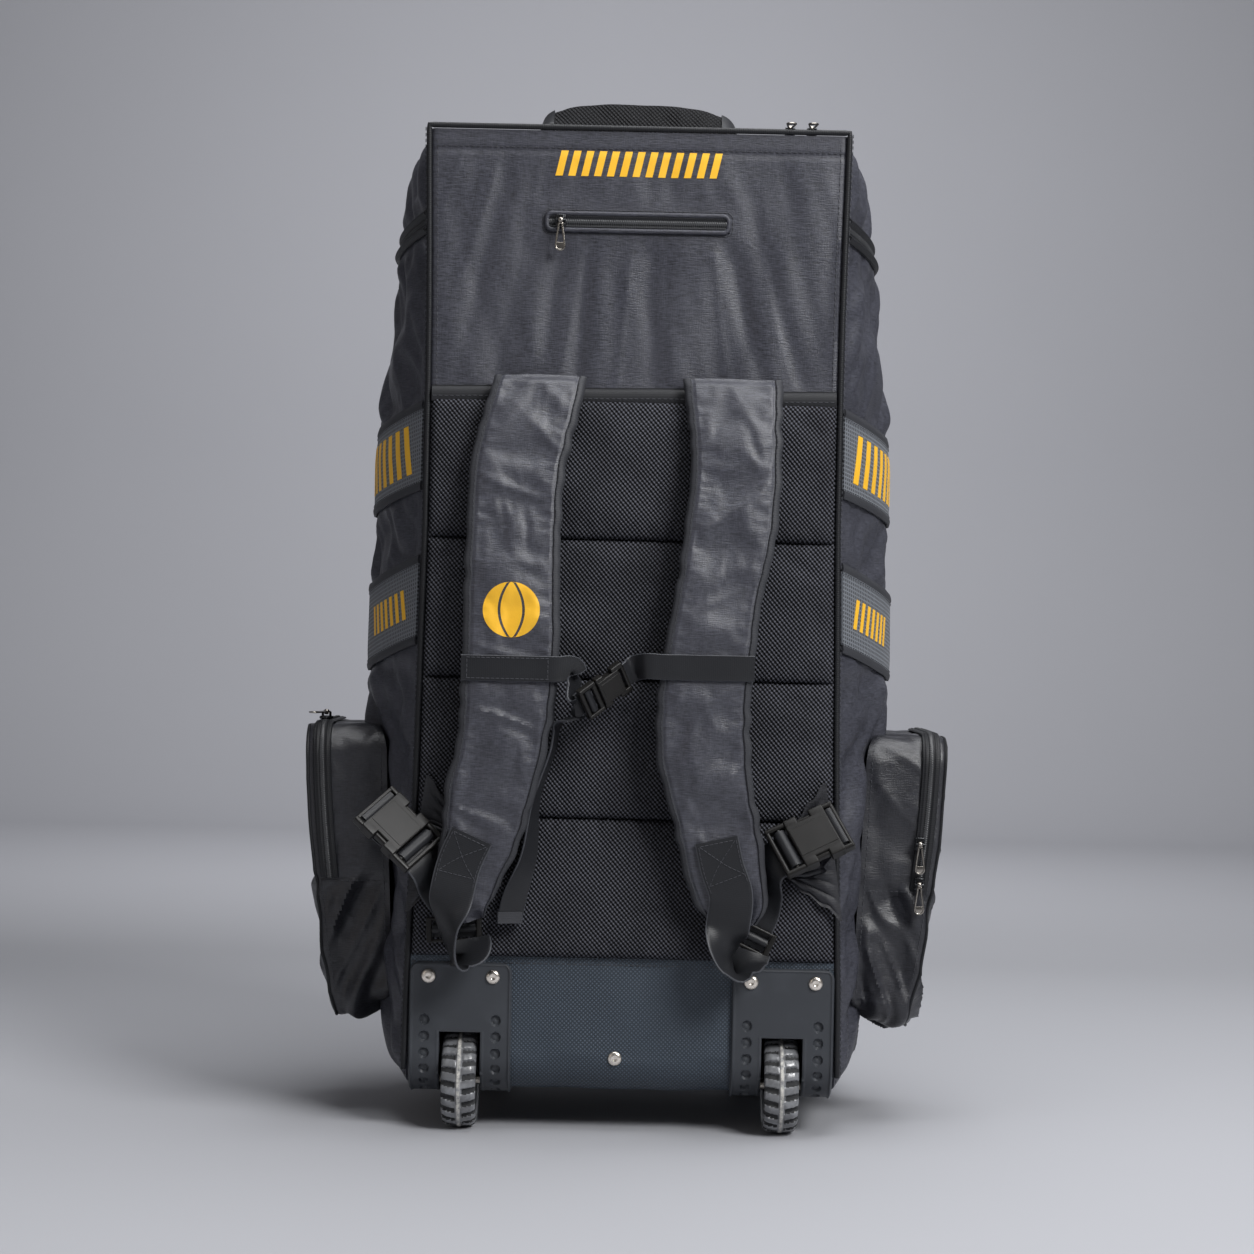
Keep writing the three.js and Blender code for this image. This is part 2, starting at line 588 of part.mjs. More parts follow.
const pipingAway = PIPING_RADIUS + SEAM;
const pipingPoint = (side, z) => {
  const { back, inset } = sectionAt(z);
  const lower = inset > 0 ? SEAM : 0;
  return outPoint(side * (back - EDGE + SEAM + PIPING_RADIUS * 0.9), pipingAway - inset + lower, z);
};
const pipingHeights = SECTIONS.slice(2).map((s) => BASE_Z + s.rise * BODY_HEIGHT);
pipingHeights[pipingHeights.length - 1] = TOP_Z + pipingAway;
const pipingUp = pipingHeights.map((z) => pipingPoint(-1, z));
const pipingDown = pipingHeights.map((z) => pipingPoint(1, z)).reverse();
add("back_piping", cord([...pipingUp, ...pipingDown], PIPING_RADIUS, 6), trim);

// Cinch bands and the zip round the body
const aroundColumns = [...leftColumns, ...FRONT_COLUMNS.slice(1, -1), ...rightColumns];
const upperHeights = bandHeights(UPPER_BAND, BAND_HEIGHT, 20, 4);
const lowerHeights = bandHeights(LOWER_BAND, BAND_HEIGHT, 28, 4);
const ends = PIPING_RADIUS * 2 + SEAM * 2;
const bandOn = (heights) => skinSheet(aroundColumns, heights, BAND_CLEAR, BAND_THICKNESS, ends);
add("band_upper", bandOn(upperHeights), bandCloth);
add("band_lower", bandOn(lowerHeights), bandCloth);

// A pull's knuckle turns on the slider's cross bar. In both, X is the way that the pull hangs, Y the bar
// and Z out of the cloth.
const PIVOT_HEIGHT = SLIDER.height + KNUCKLE.outer + SEAM * 2;

function rod(radius, length, sides) {
  return new THREE.CylinderGeometry(radius, radius, length, sides);
}

function sliderBody() {
  const half = SLIDER.width / 2;
  const sunk = TEETH * 0.6;
  const middle = box(v(-SLIDER.length / 2, -half, -sunk), v(SLIDER.length / 2, half, SLIDER.height));
  const ear = (side) => {
    const near = KNUCKLE.half + SEAM;
    const low = v(-BAR_RADIUS * 1.6, Math.min(side * near, side * half), SLIDER.height / 2);
    const high = v(BAR_RADIUS * 1.6, Math.max(side * near, side * half), PIVOT_HEIGHT + BAR_RADIUS * 1.6);
    return box(low, high);
  };
  const bar = rod(BAR_RADIUS, SLIDER.width - SEAM, 6).translate(0, 0, PIVOT_HEIGHT);
  return join(middle, ear(-1), ear(1), bar);
}

function pullTab() {
  const half = PULL.width / 2;
  const neck = KNUCKLE.half;
  const shape = new THREE.Shape([
    new THREE.Vector2(KNUCKLE.inner + SEAM, -neck),
    new THREE.Vector2(PULL.length * 0.25, -neck),
    new THREE.Vector2(PULL.length * 0.4, -half),
    new THREE.Vector2(PULL.length - half / 2, -half),
    new THREE.Vector2(PULL.length, -half / 2),
    new THREE.Vector2(PULL.length, half / 2),
    new THREE.Vector2(PULL.length - half / 2, half),
    new THREE.Vector2(PULL.length * 0.4, half),
    new THREE.Vector2(PULL.length * 0.25, neck),
    new THREE.Vector2(KNUCKLE.inner + SEAM, neck),
  ]);
  const slotAt = PULL.length - half;
  const slot = [
    new THREE.Vector2(slotAt - half / 2, 0),
    new THREE.Vector2(slotAt, half / 2.5),
    new THREE.Vector2(slotAt + half / 2, 0),
    new THREE.Vector2(slotAt, -half / 2.5),
  ];
  shape.holes.push(new THREE.Path(slot));
  const depth = PULL.thickness;
  const tab = new THREE.ExtrudeGeometry(shape, { depth, bevelEnabled: false });
  tab.translate(0, 0, -depth / 2);
  const knuckle = cut(rod(KNUCKLE.outer, neck * 2, 8), rod(KNUCKLE.inner, neck * 3, 8));
  const bore = rod(KNUCKLE.inner, neck * 3, 8);
  return cut(join(tab, knuckle), bore);
}

// The turn whose X, Y and Z are along, across and out, made square from along and out.
function turnTo(along, out) {
  const x = along.clone().normalize();
  const y = out.clone().cross(x).normalize();
  const z = x.clone().cross(y);
  return new THREE.Quaternion().setFromRotationMatrix(new THREE.Matrix4().makeBasis(x, y, z));
}

// Adds a slider to a zip, and hangs its pull as a piece of its own.
function withSlider(zip, name, seat, hangs, out) {
  const turn = turnTo(hangs, out);
  const slider = sliderBody().applyQuaternion(turn).translate(seat.x, seat.y, seat.z);
  const pivot = seat.clone().addScaledVector(out.clone().normalize(), PIVOT_HEIGHT);
  add(name, pullTab(), blackMetal, pivot, turn);
  return join(zip, slider);
}

// A zip through stations, each with its place, its way across and its way out: a tape with its teeth down
// the middle.
function zipOn(stations, width) {
  const section = [
    [-width / 2, 0],
    [width / 2, 0],
    [width / 2, TAPE],
    [TEETH_WIDTH / 2, TAPE],
    [TEETH_WIDTH / 2, TAPE + TEETH],
    [-TEETH_WIDTH / 2, TAPE + TEETH],
    [-TEETH_WIDTH / 2, TAPE],
    [-width / 2, TAPE],
  ];
  const rings = stations.map(({ at, across, out }) =>
    section.map(([side, up]) => at.clone().addScaledVector(across, side).addScaledVector(out, up)),
  );
  return loft(rings);
}

const DOWN = v(0, 0, -1);
const UP = v(0, 0, 1);
const HARNESS = v(0, -1, 0);
const TEETH_TOP = TAPE + TEETH;

const panelZipOut = CLOTH_OUT + SEAM;
const panelZipAt = (x) => ({ at: outPoint(x, panelZipOut, LEVEL_ZIP), across: UP, out: HARNESS });
const panelZipHalf = PANEL_ZIP_LENGTH / 2;
const panelZipPlain = zipOn([panelZipAt(-panelZipHalf), panelZipAt(panelZipHalf)], ZIP_WIDTH);
const panelSliderAt = outPoint(SLIDER.length * 1.6 - panelZipHalf, panelZipOut + TEETH_TOP, LEVEL_ZIP);
const panelZip = withSlider(panelZipPlain, "panel_zip_pull", panelSliderAt, DOWN, HARNESS);
add("panel_zip", panelZip, trim);

// The main opening's zip lies on the top, along its harness side, with two sliders at its right end.
const topZipY = BACK_Y + ZIP_WIDTH;
const topZipHalf = sectionAt(TOP_Z).back - ZIP_WIDTH;
const topZipAt = (x) => ({ at: v(x, topZipY, TOP_Z + SEAM), across: v(0, 1, 0), out: UP });
const topSliderAt = (share) => v(topZipHalf * share, topZipY, TOP_Z + SEAM + TEETH_TOP);
const TO_HARNESS = v(0, -1, 0);
let topZip = zipOn([topZipAt(-topZipHalf), topZipAt(topZipHalf)], ZIP_WIDTH);
topZip = withSlider(topZip, "top_zip_pull_inner", topSliderAt(0.83), TO_HARNESS, UP);
topZip = withSlider(topZip, "top_zip_pull_outer", topSliderAt(0.95), TO_HARNESS, UP);
add("top_zip", topZip, trim);

const wrapHeights = bandHeights(LEVEL_ZIP, ZIP_WIDTH, 10, 5);
const wrapTape = skinSheet(aroundColumns, wrapHeights, BAND_CLEAR, TAPE + TEETH / 2, ends);
const WRAP_SLIDER = rightColumns[rightColumns.length - 3];
const wrapMiddle = wrapHeights(WRAP_SLIDER)[2];
const wrapOut = tangents(WRAP_SLIDER, wrapMiddle).out.setZ(0).normalize();
const wrapSeat = facetPoint(WRAP_SLIDER, wrapMiddle).addScaledVector(wrapOut, BAND_CLEAR + TEETH_TOP);
add("wrap_zip", withSlider(wrapTape, "wrap_zip_pull", wrapSeat, DOWN, wrapOut), trim);

// Side pockets: a pouch of cloth, open to the body, with a zip down its near edge and over its top
const CORNER_STEPS = 2;
const RUN_STEPS = 3;

// One turn round a pocket, as depth and height, from the low near corner up, over and down.
function pocketRing(inset) {
  const low = { y: BACK_Y + POCKET_BACK + inset, z: POCKET_BOTTOM + inset };
  const high = { y: BACK_Y + POCKET_BACK + POCKET_DEPTH - inset, z: POCKET_TOP - inset };
  const r = POCKET_CORNER - inset / 2;
  const corners = [
    { y: low.y + r, z: low.z + r, turn: Math.PI * 1.5 },
    { y: low.y + r, z: high.z - r, turn: Math.PI },
    { y: high.y - r, z: high.z - r, turn: Math.PI / 2 },
    { y: high.y - r, z: low.z + r, turn: 0 },
  ];
  const bends = corners.map(({ y, z, turn }) =>
    Array.from({ length: CORNER_STEPS + 1 }, (_, i) => {
      const angle = turn - (Math.PI / 2) * (i / CORNER_STEPS);
      return { y: y + r * Math.cos(angle), z: z + r * Math.sin(angle) };
    }),
  );
  return bends.flatMap((bend, k) => {
    const from = bend[CORNER_STEPS];
    const to = bends[(k + 1) % bends.length][0];
    const run = Array.from({ length: RUN_STEPS - 1 }, (_, i) => {
      const share = (i + 1) / RUN_STEPS;
      return { y: mix(from.y, to.y, share), z: mix(from.z, to.z, share) };
    });
    return [...bend, ...run];
  });
}

// The pocket's outer face, which bulges and draws in towards its bottom.
function pocketFaceX(z) {
  const down = (POCKET_TOP - z) / (POCKET_TOP - POCKET_BOTTOM);
  return POCKET_REACH - POCKET_TAPER * THREE.MathUtils.clamp(down, 0, 1) ** 1.7;
}

function sidePocket(side) {
  const ringAt = (inset, reach) => pocketRing(inset).map(({ y, z }) => v(side * reach(y, z), y, z));
  const onBody = (inset) => ringAt(inset, (y, z) => sideX(y, z) + POCKET_CLEAR);
  const outer = (inset, away) => ringAt(inset, (y, z) => pocketFaceX(z) - away);
  return loft([
    outer(POCKET_ROUND, 0),
    outer(0, POCKET_ROUND),
    onBody(0),
    onBody(WALL),
    outer(WALL, POCKET_ROUND),
    outer(POCKET_ROUND, WALL),
  ]);
}

// The pocket's zip keeps to its outer edge. Its line starts low on the near edge and ends past the top.
function sidePocketZip(side) {
  const nearLow = { y: BACK_Y + POCKET_BACK - SEAM, z: POCKET_TOP - POCKET_ZIP_DOWN };
  const overTop = pocketRing(-SEAM).slice(CORNER_STEPS + RUN_STEPS, 2 * (CORNER_STEPS + RUN_STEPS) + 1);
  const run = [nearLow, ...overTop];
  const stations = run.map((p, i) => {
    const before = run[Math.max(0, i - 1)];
    const after = run[Math.min(run.length - 1, i + 1)];
    const along = v(0, after.y - before.y, after.z - before.z).normalize();
    const out = along.clone().cross(v(-1, 0, 0));
    const x = side * (pocketFaceX(p.z) - POCKET_ROUND - POCKET_ZIP / 2 - SEAM);
    return { at: v(x, p.y, p.z), across: v(side, 0, 0), out };
  });
  return { geometry: zipOn(stations, POCKET_ZIP), stations };
}

for (const [label, side] of [
  ["left", -1],
  ["right", 1],
]) {
  add(`side_pocket_${label}`, sidePocket(side), cloth);
  const { geometry, stations } = sidePocketZip(side);
  let zip = geometry;
  const x = stations[0].at.x;
  if (side > 0) {
    const lift = [SLIDER.length / 2, SLIDER.length * 1.25 + PULL.length];
    ["low", "high"].forEach((which, i) => {
      const seat = v(x, stations[0].at.y - TEETH_TOP, stations[0].at.z + lift[i]);
      zip = withSlider(zip, `pocket_zip_pull_right_${which}`, seat, DOWN, HARNESS);
    });
  } else {
    const top = stations[stations.length - 1].at;
    const seat = v(top.x, BACK_Y + POCKET_BACK + POCKET_CORNER + SLIDER.width, top.z + TEETH_TOP);
    zip = withSlider(zip, "pocket_zip_pull_left", seat, v(side * 0.45, -1, 0), UP);
  }
  add(`side_pocket_zip_${label}`, zip, trim);
}

// Section of a padded strap, in shares of its half width and half thickness.
const PADDED = [
  [-1, -0.35],
  [-0.82, -1],
  [0.82, -1],
  [1, -0.35],
  [1, 0.35],
  [0.82, 1],
  [-0.82, 1],
  [-1, 0.35],
];

// The way across and the way out of the face at each station of a strap. A station's own way along, where
// it has one, squares off an end.
function facings(stations) {
  return stations.map(({ across, way }, i) => {
    const before = stations[Math.max(0, i - 1)].at;
    const after = stations[Math.min(stations.length - 1, i + 1)].at;
    const along = way ?? after.clone().sub(before).normalize();
    const side = across.clone().addScaledVector(along, -across.dot(along)).normalize();
    return { side, out: along.clone().cross(side) };
  });
}

function strip(stations, profile) {
  const faces = facings(stations);
  const rings = stations.map(({ at, half, thick }, i) =>
    profile.map(([s, h]) => {
      const edge = at.clone().addScaledVector(faces[i].side, s * half);
      return edge.addScaledVector(faces[i].out, (h * thick) / 2);
    }),
  );
  return loft(rings);
}

// Flat webbing through rows of place, way across and half width.
function web(rows) {
  const stations = rows.map(([at, across, half]) => ({ at, across, half }));
  const faces = facings(stations);
  const grid = (lift) =>
    stations.map(({ at, half }, i) =>
      [-half, 0, half].map((reach) =>
        at.clone().addScaledVector(faces[i].side, reach).addScaledVector(faces[i].out, lift),
      ),
    );
  return sheet(grid(WEB_THICKNESS / 2), grid(-WEB_THICKNESS / 2));
}

// Grab handle, a padded arch on the top
const handleY = BACK_Y + HANDLE_BACK;
const handleFoot = TOP_Z + SEAM;
const handleLean = THREE.MathUtils.degToRad(HANDLE_LEAN);
const aboveMiddle = (Math.sin(handleLean) * HANDLE_WIDTH + Math.cos(handleLean) * HANDLE_THICKNESS) / 2;
const handleStations = HANDLE_STATIONS.map(({ along, rise, lean }) => ({
  at: v((along * HANDLE_SPAN) / 2, handleY, handleFoot + rise * (HANDLE_RISE - aboveMiddle)),
  half: HANDLE_WIDTH / 2,
  across: v(0, Math.cos(lean * handleLean), Math.sin(lean * handleLean)),
  thick: HANDLE_THICKNESS,
}));
handleStations[0].at.z = handleFoot;
add("grab_handle", strip(handleStations, PADDED), mesh3d);

// Shoulder straps
const ACROSS = v(1, 0, 0);
const rootThick = STRAP_THICKNESS * 0.7;
function strapStations(side) {
  const [place, wide] = side < 0 ? ["left", "wideLeft"] : ["right", "wideRight"];
  const rootOut = bindingOut + (rootThick - SEAM) / 2;
  return STRAP_STATIONS.map((s, i) => ({
    at: outPoint(
      side * s[place] * STRAP_SPACING,
      i === 0 ? rootOut : s.out * STRAP_STANDOFF,
      STRAP_TOP - s.down * STRAP_DROP,
    ),
    half: (s[wide] * STRAP_WIDTH) / 2,
    across: ACROSS,
    thick: i === 0 ? rootThick : STRAP_THICKNESS,
    way: i === 0 ? DOWN : undefined,
  }));
}
const leftStrap = strapStations(-1);
const rightStrap = strapStations(1);
add("shoulder_strap_left", strip(leftStrap, PADDED), cloth);
add("shoulder_strap_right", strip(rightStrap, PADDED), cloth);

// The place on a strap's face at a height, a share of its half width from its middle.
function onStrap(strap, z, share, lift) {
  const below = strap.findIndex((s) => s.at.z <= z);
  const [a, b] = [strap[below - 1], strap[below]];
  const t = (a.at.z - z) / (a.at.z - b.at.z);
  const at = a.at.clone().lerp(b.at, t);
  const slope = b.at.clone().sub(a.at).normalize();
  const out = v(0, slope.z, -slope.y).normalize();
  at.x += share * mix(a.half, b.half, t);
  return at.addScaledVector(out, STRAP_THICKNESS / 2 + lift);
}

// A station that stands free of the straps, from its shares, its turn about the vertical and its tilt.
const free = ({ x, z, out, turn, tilt }, half) => [
  outPoint(x * STRAP_SPACING, out * STRAP_STANDOFF, z * PAD_TOP),
  acrossAt(turn, tilt),
  half,
];

function acrossAt(turn, tilt) {
  const [a, b] = [turn, tilt].map(THREE.MathUtils.degToRad);
  return v(Math.cos(a) * Math.cos(b), Math.sin(a), Math.cos(a) * Math.sin(b));
}

// Tabs that are cross-stitched on the straps' ends and turn back through the ladder locks.
const faceLift = SEAM * 1.5 + WEB_THICKNESS / 2;
const half = WEBBING / 2;
const tabTop = STRAP_TOP - STRAP_DROP * 0.83;
const tabEnd = tabTop - WEBBING * 1.25;
const tabOn = (strap, z, share, lift, tilt) => [
  onStrap(strap, z, share, lift),
  acrossAt(0, tilt),
  half,
];
add(
  "strap_web_left",
  web([
    tabOn(leftStrap, tabTop, -0.22, faceLift + 1, -18),
    tabOn(leftStrap, mix(tabTop, tabEnd, 0.5), -0.35, faceLift + 2, -16),
    tabOn(leftStrap, tabEnd, -0.5, faceLift + 6, -8),
    ...LEFT_TAB.map((row) => free(row, half * 0.98)),
  ]),
  webbing,
);
add(
  "strap_web_right",
  web([
    tabOn(rightStrap, tabTop, -0.08, faceLift, 11),
    tabOn(rightStrap, mix(tabTop, tabEnd, 0.5), -0.05, faceLift, 12),
    tabOn(rightStrap, tabEnd, 0, faceLift + 1, 12),
    ...RIGHT_TAB.map((row) => free(row, half)),
  ]),
  webbing,
);

// A ladder lock or a buckle's frame: an outline with slots, in its own plane.
function slotted(length, width, thickness, slots, notches = []) {
  const [l, w] = [length / 2, width / 2];
  const chamfer = width / 12;
  const shape = new THREE.Shape([
    new THREE.Vector2(-l + chamfer, -w),
    ...notches.flatMap(([from, to, deep]) => [
      new THREE.Vector2(from, -w),
      new THREE.Vector2(from, -w + deep),
      new THREE.Vector2(to, -w + deep),
      new THREE.Vector2(to, -w),
    ]),
    new THREE.Vector2(l - chamfer, -w),
    new THREE.Vector2(l, -w + chamfer),
    new THREE.Vector2(l, w - chamfer),
    new THREE.Vector2(l - chamfer, w),
    ...[...notches].reverse().flatMap(([from, to, deep]) => [
      new THREE.Vector2(to, w),
      new THREE.Vector2(to, w - deep),
      new THREE.Vector2(from, w - deep),
      new THREE.Vector2(from, w),
    ]),
    new THREE.Vector2(-l + chamfer, w),
    new THREE.Vector2(-l, w - chamfer),
    new THREE.Vector2(-l, -w + chamfer),
  ]);
  const geometry = new THREE.ExtrudeGeometry(shape, { depth: thickness, bevelEnabled: false });
  geometry.translate(0, 0, -thickness / 2);
  return cut(geometry, ...slots.map(([from, to, wide]) => box(v(from, -wide / 2, -w), v(to, wide / 2, w))));
}

// Slots as shares of a length, each as wide as the number given.
const slotsAlong = (length, wide, shares) => shares.map(([from, to]) => [from * length, to * length, wide]);

// The middle of a piece of harness hardware, at a distance off the harness side's plane.
const hardwareAt = ({ x, z }, out) => outPoint(x * STRAP_SPACING, out, z * PAD_TOP);

const LOCK_SLOTS = [
  [-0.364, -0.114],
  [0.114, 0.364],
];
const lockSlots = slotsAlong(LOCK.length, WEBBING + 2, LOCK_SLOTS);
const lockShape = () => slotted(LOCK.length, WEBBING + LOCK.wider, LOCK.thickness, lockSlots);
const LOCK_OUT = PAD_OUT + LOCK.thickness + 1.7;
const lockTurn = (tilt) => turnTo(v(Math.sin(tilt), 0, Math.cos(tilt)), HARNESS);
const leftLockAt = hardwareAt(LEFT_LOCK, LOCK_OUT);
const leftLockTurn = lockTurn(-0.05);
const rightLockAt = hardwareAt(RIGHT_LOCK, LOCK_OUT);
const rightLockTurn = lockTurn(0.45);
add("ladder_lock_left", lockShape(), buckle, leftLockAt, leftLockTurn);
add("ladder_lock_right", lockShape(), buckle, rightLockAt, rightLockTurn);

// A fastened side release buckle: X runs from the webbing's ladder to the fixed end, Z out of its face.
const BUCKLE_SLOTS = [
  [-0.4375, -0.36],
  [-0.297, -0.219],
  [0.36, 0.4375],
];
const BUCKLE_NOTCH = { from: -0.03, to: 0.14, deep: 0.08 };
const buckleSlots = slotsAlong(BUCKLE.length, WEBBING + 1, BUCKLE_SLOTS);
function sideBuckle() {
  const width = WEBBING + BUCKLE.wider;
  const { from, to, deep } = BUCKLE_NOTCH;
  const notch = [from * BUCKLE.length, to * BUCKLE.length, deep * width];
  return slotted(BUCKLE.length, width, BUCKLE.thickness, buckleSlots, [notch]);
}
const leftBuckleAt = hardwareAt(LEFT_BUCKLE, BUCKLE_OUT);
const leftBuckleTurn = turnTo(v(-0.73, 0.1, 0.68), v(0.35, -0.78, 0.5));
const rightBuckleAt = hardwareAt(RIGHT_BUCKLE, BUCKLE_OUT);
const rightBuckleTurn = turnTo(v(0.88, 0.1, 0.42), v(-0.15, -0.8, 0.55));
add("side_buckle_left", sideBuckle(), buckle, leftBuckleAt, leftBuckleTurn);
add("side_buckle_right", sideBuckle(), buckle, rightBuckleAt, rightBuckleTurn);

// A place in a turned piece's own frame.
const inFrame = (at, turn, x, y, z) => v(x, y, z).applyQuaternion(turn).add(at);
const turnedY = (turn) => v(0, 1, 0).applyQuaternion(turn);
const buckleBack = -(BUCKLE.thickness + WEB_THICKNESS) / 2 - SEAM;

// The webbing between a ladder lock and a buckle runs close behind both.
function lowerWeb(buckleAt, buckleTurn, lockAt, lockQuaternion) {
  const buckleAcross = turnedY(buckleTurn);
  const lockAcross = turnedY(lockQuaternion);
  const behindLock = -(LOCK.thickness + WEB_THICKNESS) / 2 - SEAM;
  const end = inFrame(buckleAt, buckleTurn, -BUCKLE.length / 2 - 4, 0, buckleBack - 2);
  const start = inFrame(lockAt, lockQuaternion, LOCK.length / 2 + 6, 0, behindLock - SEAM);
  const middle = start.clone().lerp(end, 0.5).add(v(0, 2, 0));
  const halfway = buckleAcross.clone().lerp(lockAcross, 0.5).normalize();
  return web([
    [inFrame(lockAt, lockQuaternion, -LOCK.length / 2 + 4, 0, behindLock), lockAcross, half],
    [start, lockAcross, half],
    [middle, halfway, half],
    [end, buckleAcross, half],
    [inFrame(buckleAt, buckleTurn, -BUCKLE.length / 2 + 13, 0, buckleBack), buckleAcross, half],
  ]);
}
const leftLowerWeb = lowerWeb(leftBuckleAt, leftBuckleTurn, leftLockAt, leftLockTurn);
const rightLowerWeb = lowerWeb(rightBuckleAt, rightBuckleTurn, rightLockAt, rightLockTurn);
add("lower_web_left", leftLowerWeb, webbing);
add("lower_web_right", rightLowerWeb, webbing);

// A wing of folded cloth, sewn in at the piping, narrows to the webbing that turns back to the buckle's
// fixed end.
function wing(side, buckleAt, buckleTurn) {
  const middle = ((WING.low + WING.high) / 2) * PAD_TOP;
  const tip = WING.tip * STRAP_SPACING;
  const rootHalf = ((WING.high - WING.low) / 2) * PAD_TOP;
  const flat = PAD_OUT + SEAM + WEB_THICKNESS / 2;
  const across = turnedY(buckleTurn).multiplyScalar(Math.sign(turnedY(buckleTurn).z));
  const end = inFrame(buckleAt, buckleTurn, BUCKLE.length / 2 - 6, 0, buckleBack);
  const before = inFrame(buckleAt, buckleTurn, BUCKLE.length / 2 - 20, 0, buckleBack - 3);
  return web([
    [outPoint(side * (backHalfAt(middle) - SEAM), flat, middle), UP, rootHalf],
    [outPoint(side * tip, flat, middle - 5), UP, half * 1.2],
    [outPoint(side * (tip - 4), flat + 2, middle - 5), UP, half],
    [outPoint(side * (tip + 2), flat + 4, middle - 5), UP, half],
    [outPoint(side * (tip + 22), flat + 4, middle), UP, half],
    [before, across, half],
    [end, across, half],
  ]);
}
add("wing_left", wing(-1, leftBuckleAt, leftBuckleTurn), cloth);
add("wing_right", wing(1, rightBuckleAt, rightBuckleTurn), cloth);

// Sternum strap: its webbing lies on both shoulder straps and meets in a small buckle
const sternumTurn = turnTo(v(0.74, 0.37, 0.56), v(0.5, -0.79, -0.25));
const sternumAt = hardwareAt(STERNUM, STRAP_STANDOFF + 8);
const sternumHalf = STERNUM_WEBBING / 2;
const sternumWidth = STERNUM_WEBBING + STERNUM_BUCKLE.wider;
const sternumThick = STERNUM_BUCKLE.thickness;
const { male, female } = STERNUM_BUCKLE;
const maleAt = inFrame(sternumAt, sternumTurn, -female / 2 - SEAM, 0, 0);
const femaleAt = inFrame(sternumAt, sternumTurn, male / 2, 0, 0);
const maleSlots = slotsAlong(male, STERNUM_WEBBING + 1, [[-0.294, 0.235]]);
const maleShape = slotted(male, sternumWidth, sternumThick - 1, maleSlots);
add("sternum_buckle_male", maleShape, buckle, maleAt, sternumTurn);
const femaleSlots = slotsAlong(female, STERNUM_WEBBING + 1, [[0.3, 0.4]]);
const femaleNotches = [[-female / 7.5, female / 7.5, sternumWidth / 10]];
const femaleShape = slotted(female, sternumWidth, sternumThick, femaleSlots, femaleNotches);
add("sternum_buckle_female", femaleShape, buckle, femaleAt, sternumTurn);

const onLeft = (share, lift) => onStrap(leftStrap, STERNUM.onLeft * PAD_TOP, share, lift);
const onRight = (share, lift) => onStrap(rightStrap, STERNUM.onRight * PAD_TOP, share, lift);
const buckleUp = turnedY(sternumTurn).multiplyScalar(Math.sign(turnedY(sternumTurn).z));
const behindSternum = -sternumThick / 2 - WEB_THICKNESS - SEAM;
const inBuckle = (x, z) => inFrame(sternumAt, sternumTurn, x, 0, z);
const outerEnd = (female + male) / 2;
const leftEntry = inBuckle(-outerEnd - 5, behindSternum - SEAM * 4);
const leftDip = onLeft(1.3, faceLift - 4);
add(
  "sternum_web_left",
  web([
    [onLeft(-1, faceLift), UP, sternumHalf],
    [onLeft(0.98, faceLift), UP, sternumHalf],
    [leftDip, v(0.1, 0, 1), sternumHalf],
    [leftDip.clone().lerp(leftEntry, 0.55).add(v(0, 3, 3)), buckleUp.clone().lerp(UP, 0.4), sternumHalf],
    [leftEntry, buckleUp, sternumHalf],
    [inBuckle(-outerEnd + 8, behindSternum), buckleUp, sternumHalf],
  ]),
  webbing,
);
add(
  "sternum_web_right",
  web([
    [onRight(1, faceLift), UP, sternumHalf],
    [onRight(-0.98, faceLift), UP, sternumHalf],
    [onRight(-1.3, faceLift - 1).add(v(0, 0, 0.5)), UP, sternumHalf],
    [inBuckle(outerEnd + 8, 0), buckleUp.clone().lerp(UP, 0.5), sternumHalf],
    [inBuckle(outerEnd + 0.6, 0), buckleUp, sternumHalf],
  ]),
  webbing,
);

// The sternum strap's spare webbing hangs from the buckle, seen edge on until it turns flat.
const tailTop = inBuckle(-outerEnd - 1, behindSternum - 3).add(v(0, 0, -sternumHalf * 1.2));
add(
  "sternum_tail",
  web([[tailTop, v(0.3, 0.95, 0.1), sternumHalf], ...TAIL.map((row) => free(row, sternumHalf))]),
  webbing,
);

// Corner plates with their wheel wells
const plateNear = CLOTH_OUT + SEAM;
const plateFar = plateNear + PLATE_THICKNESS;

// What rounds off a plate's top corner.
function cornerWaste(x, side) {
  const shape = new THREE.Shape();
  shape.moveTo(side * 1, 1);
  shape.lineTo(-side * PLATE_CORNER, 1);
  shape.lineTo(-side * PLATE_CORNER, 0);
  for (let i = 1; i <= 4; i++) {
    const angle = ((Math.PI / 2) * i) / 4;
    const across = Math.sin(angle) - 1;
    shape.lineTo(side * across * PLATE_CORNER, (Math.cos(angle) - 1) * PLATE_CORNER);
  }
  shape.lineTo(side * 1, -PLATE_CORNER);
  const depth = plateFar * 3;
  const waste = new THREE.ExtrudeGeometry(shape, { depth, bevelEnabled: false });
  return waste.rotateX(Math.PI / 2).translate(x, BACK_Y + plateFar, PLATE_TOP);
}

// The place and the way out at a distance down the plate's face from its top dimple.
function downPlate(distance) {
  const straight = DIMPLE_TOP - BASE_Z - BASE_RADIUS;
  const r = BASE_RADIUS + plateFar;
  const angle = Math.max(0, distance - straight) / r;
  const y = BACK_Y + BASE_RADIUS - r * Math.cos(angle);
  const z = distance < straight ? DIMPLE_TOP - distance : BASE_Z + BASE_RADIUS - r * Math.sin(angle);
  return { at: { y, z }, out: v(0, -Math.cos(angle), -Math.sin(angle)) };
}

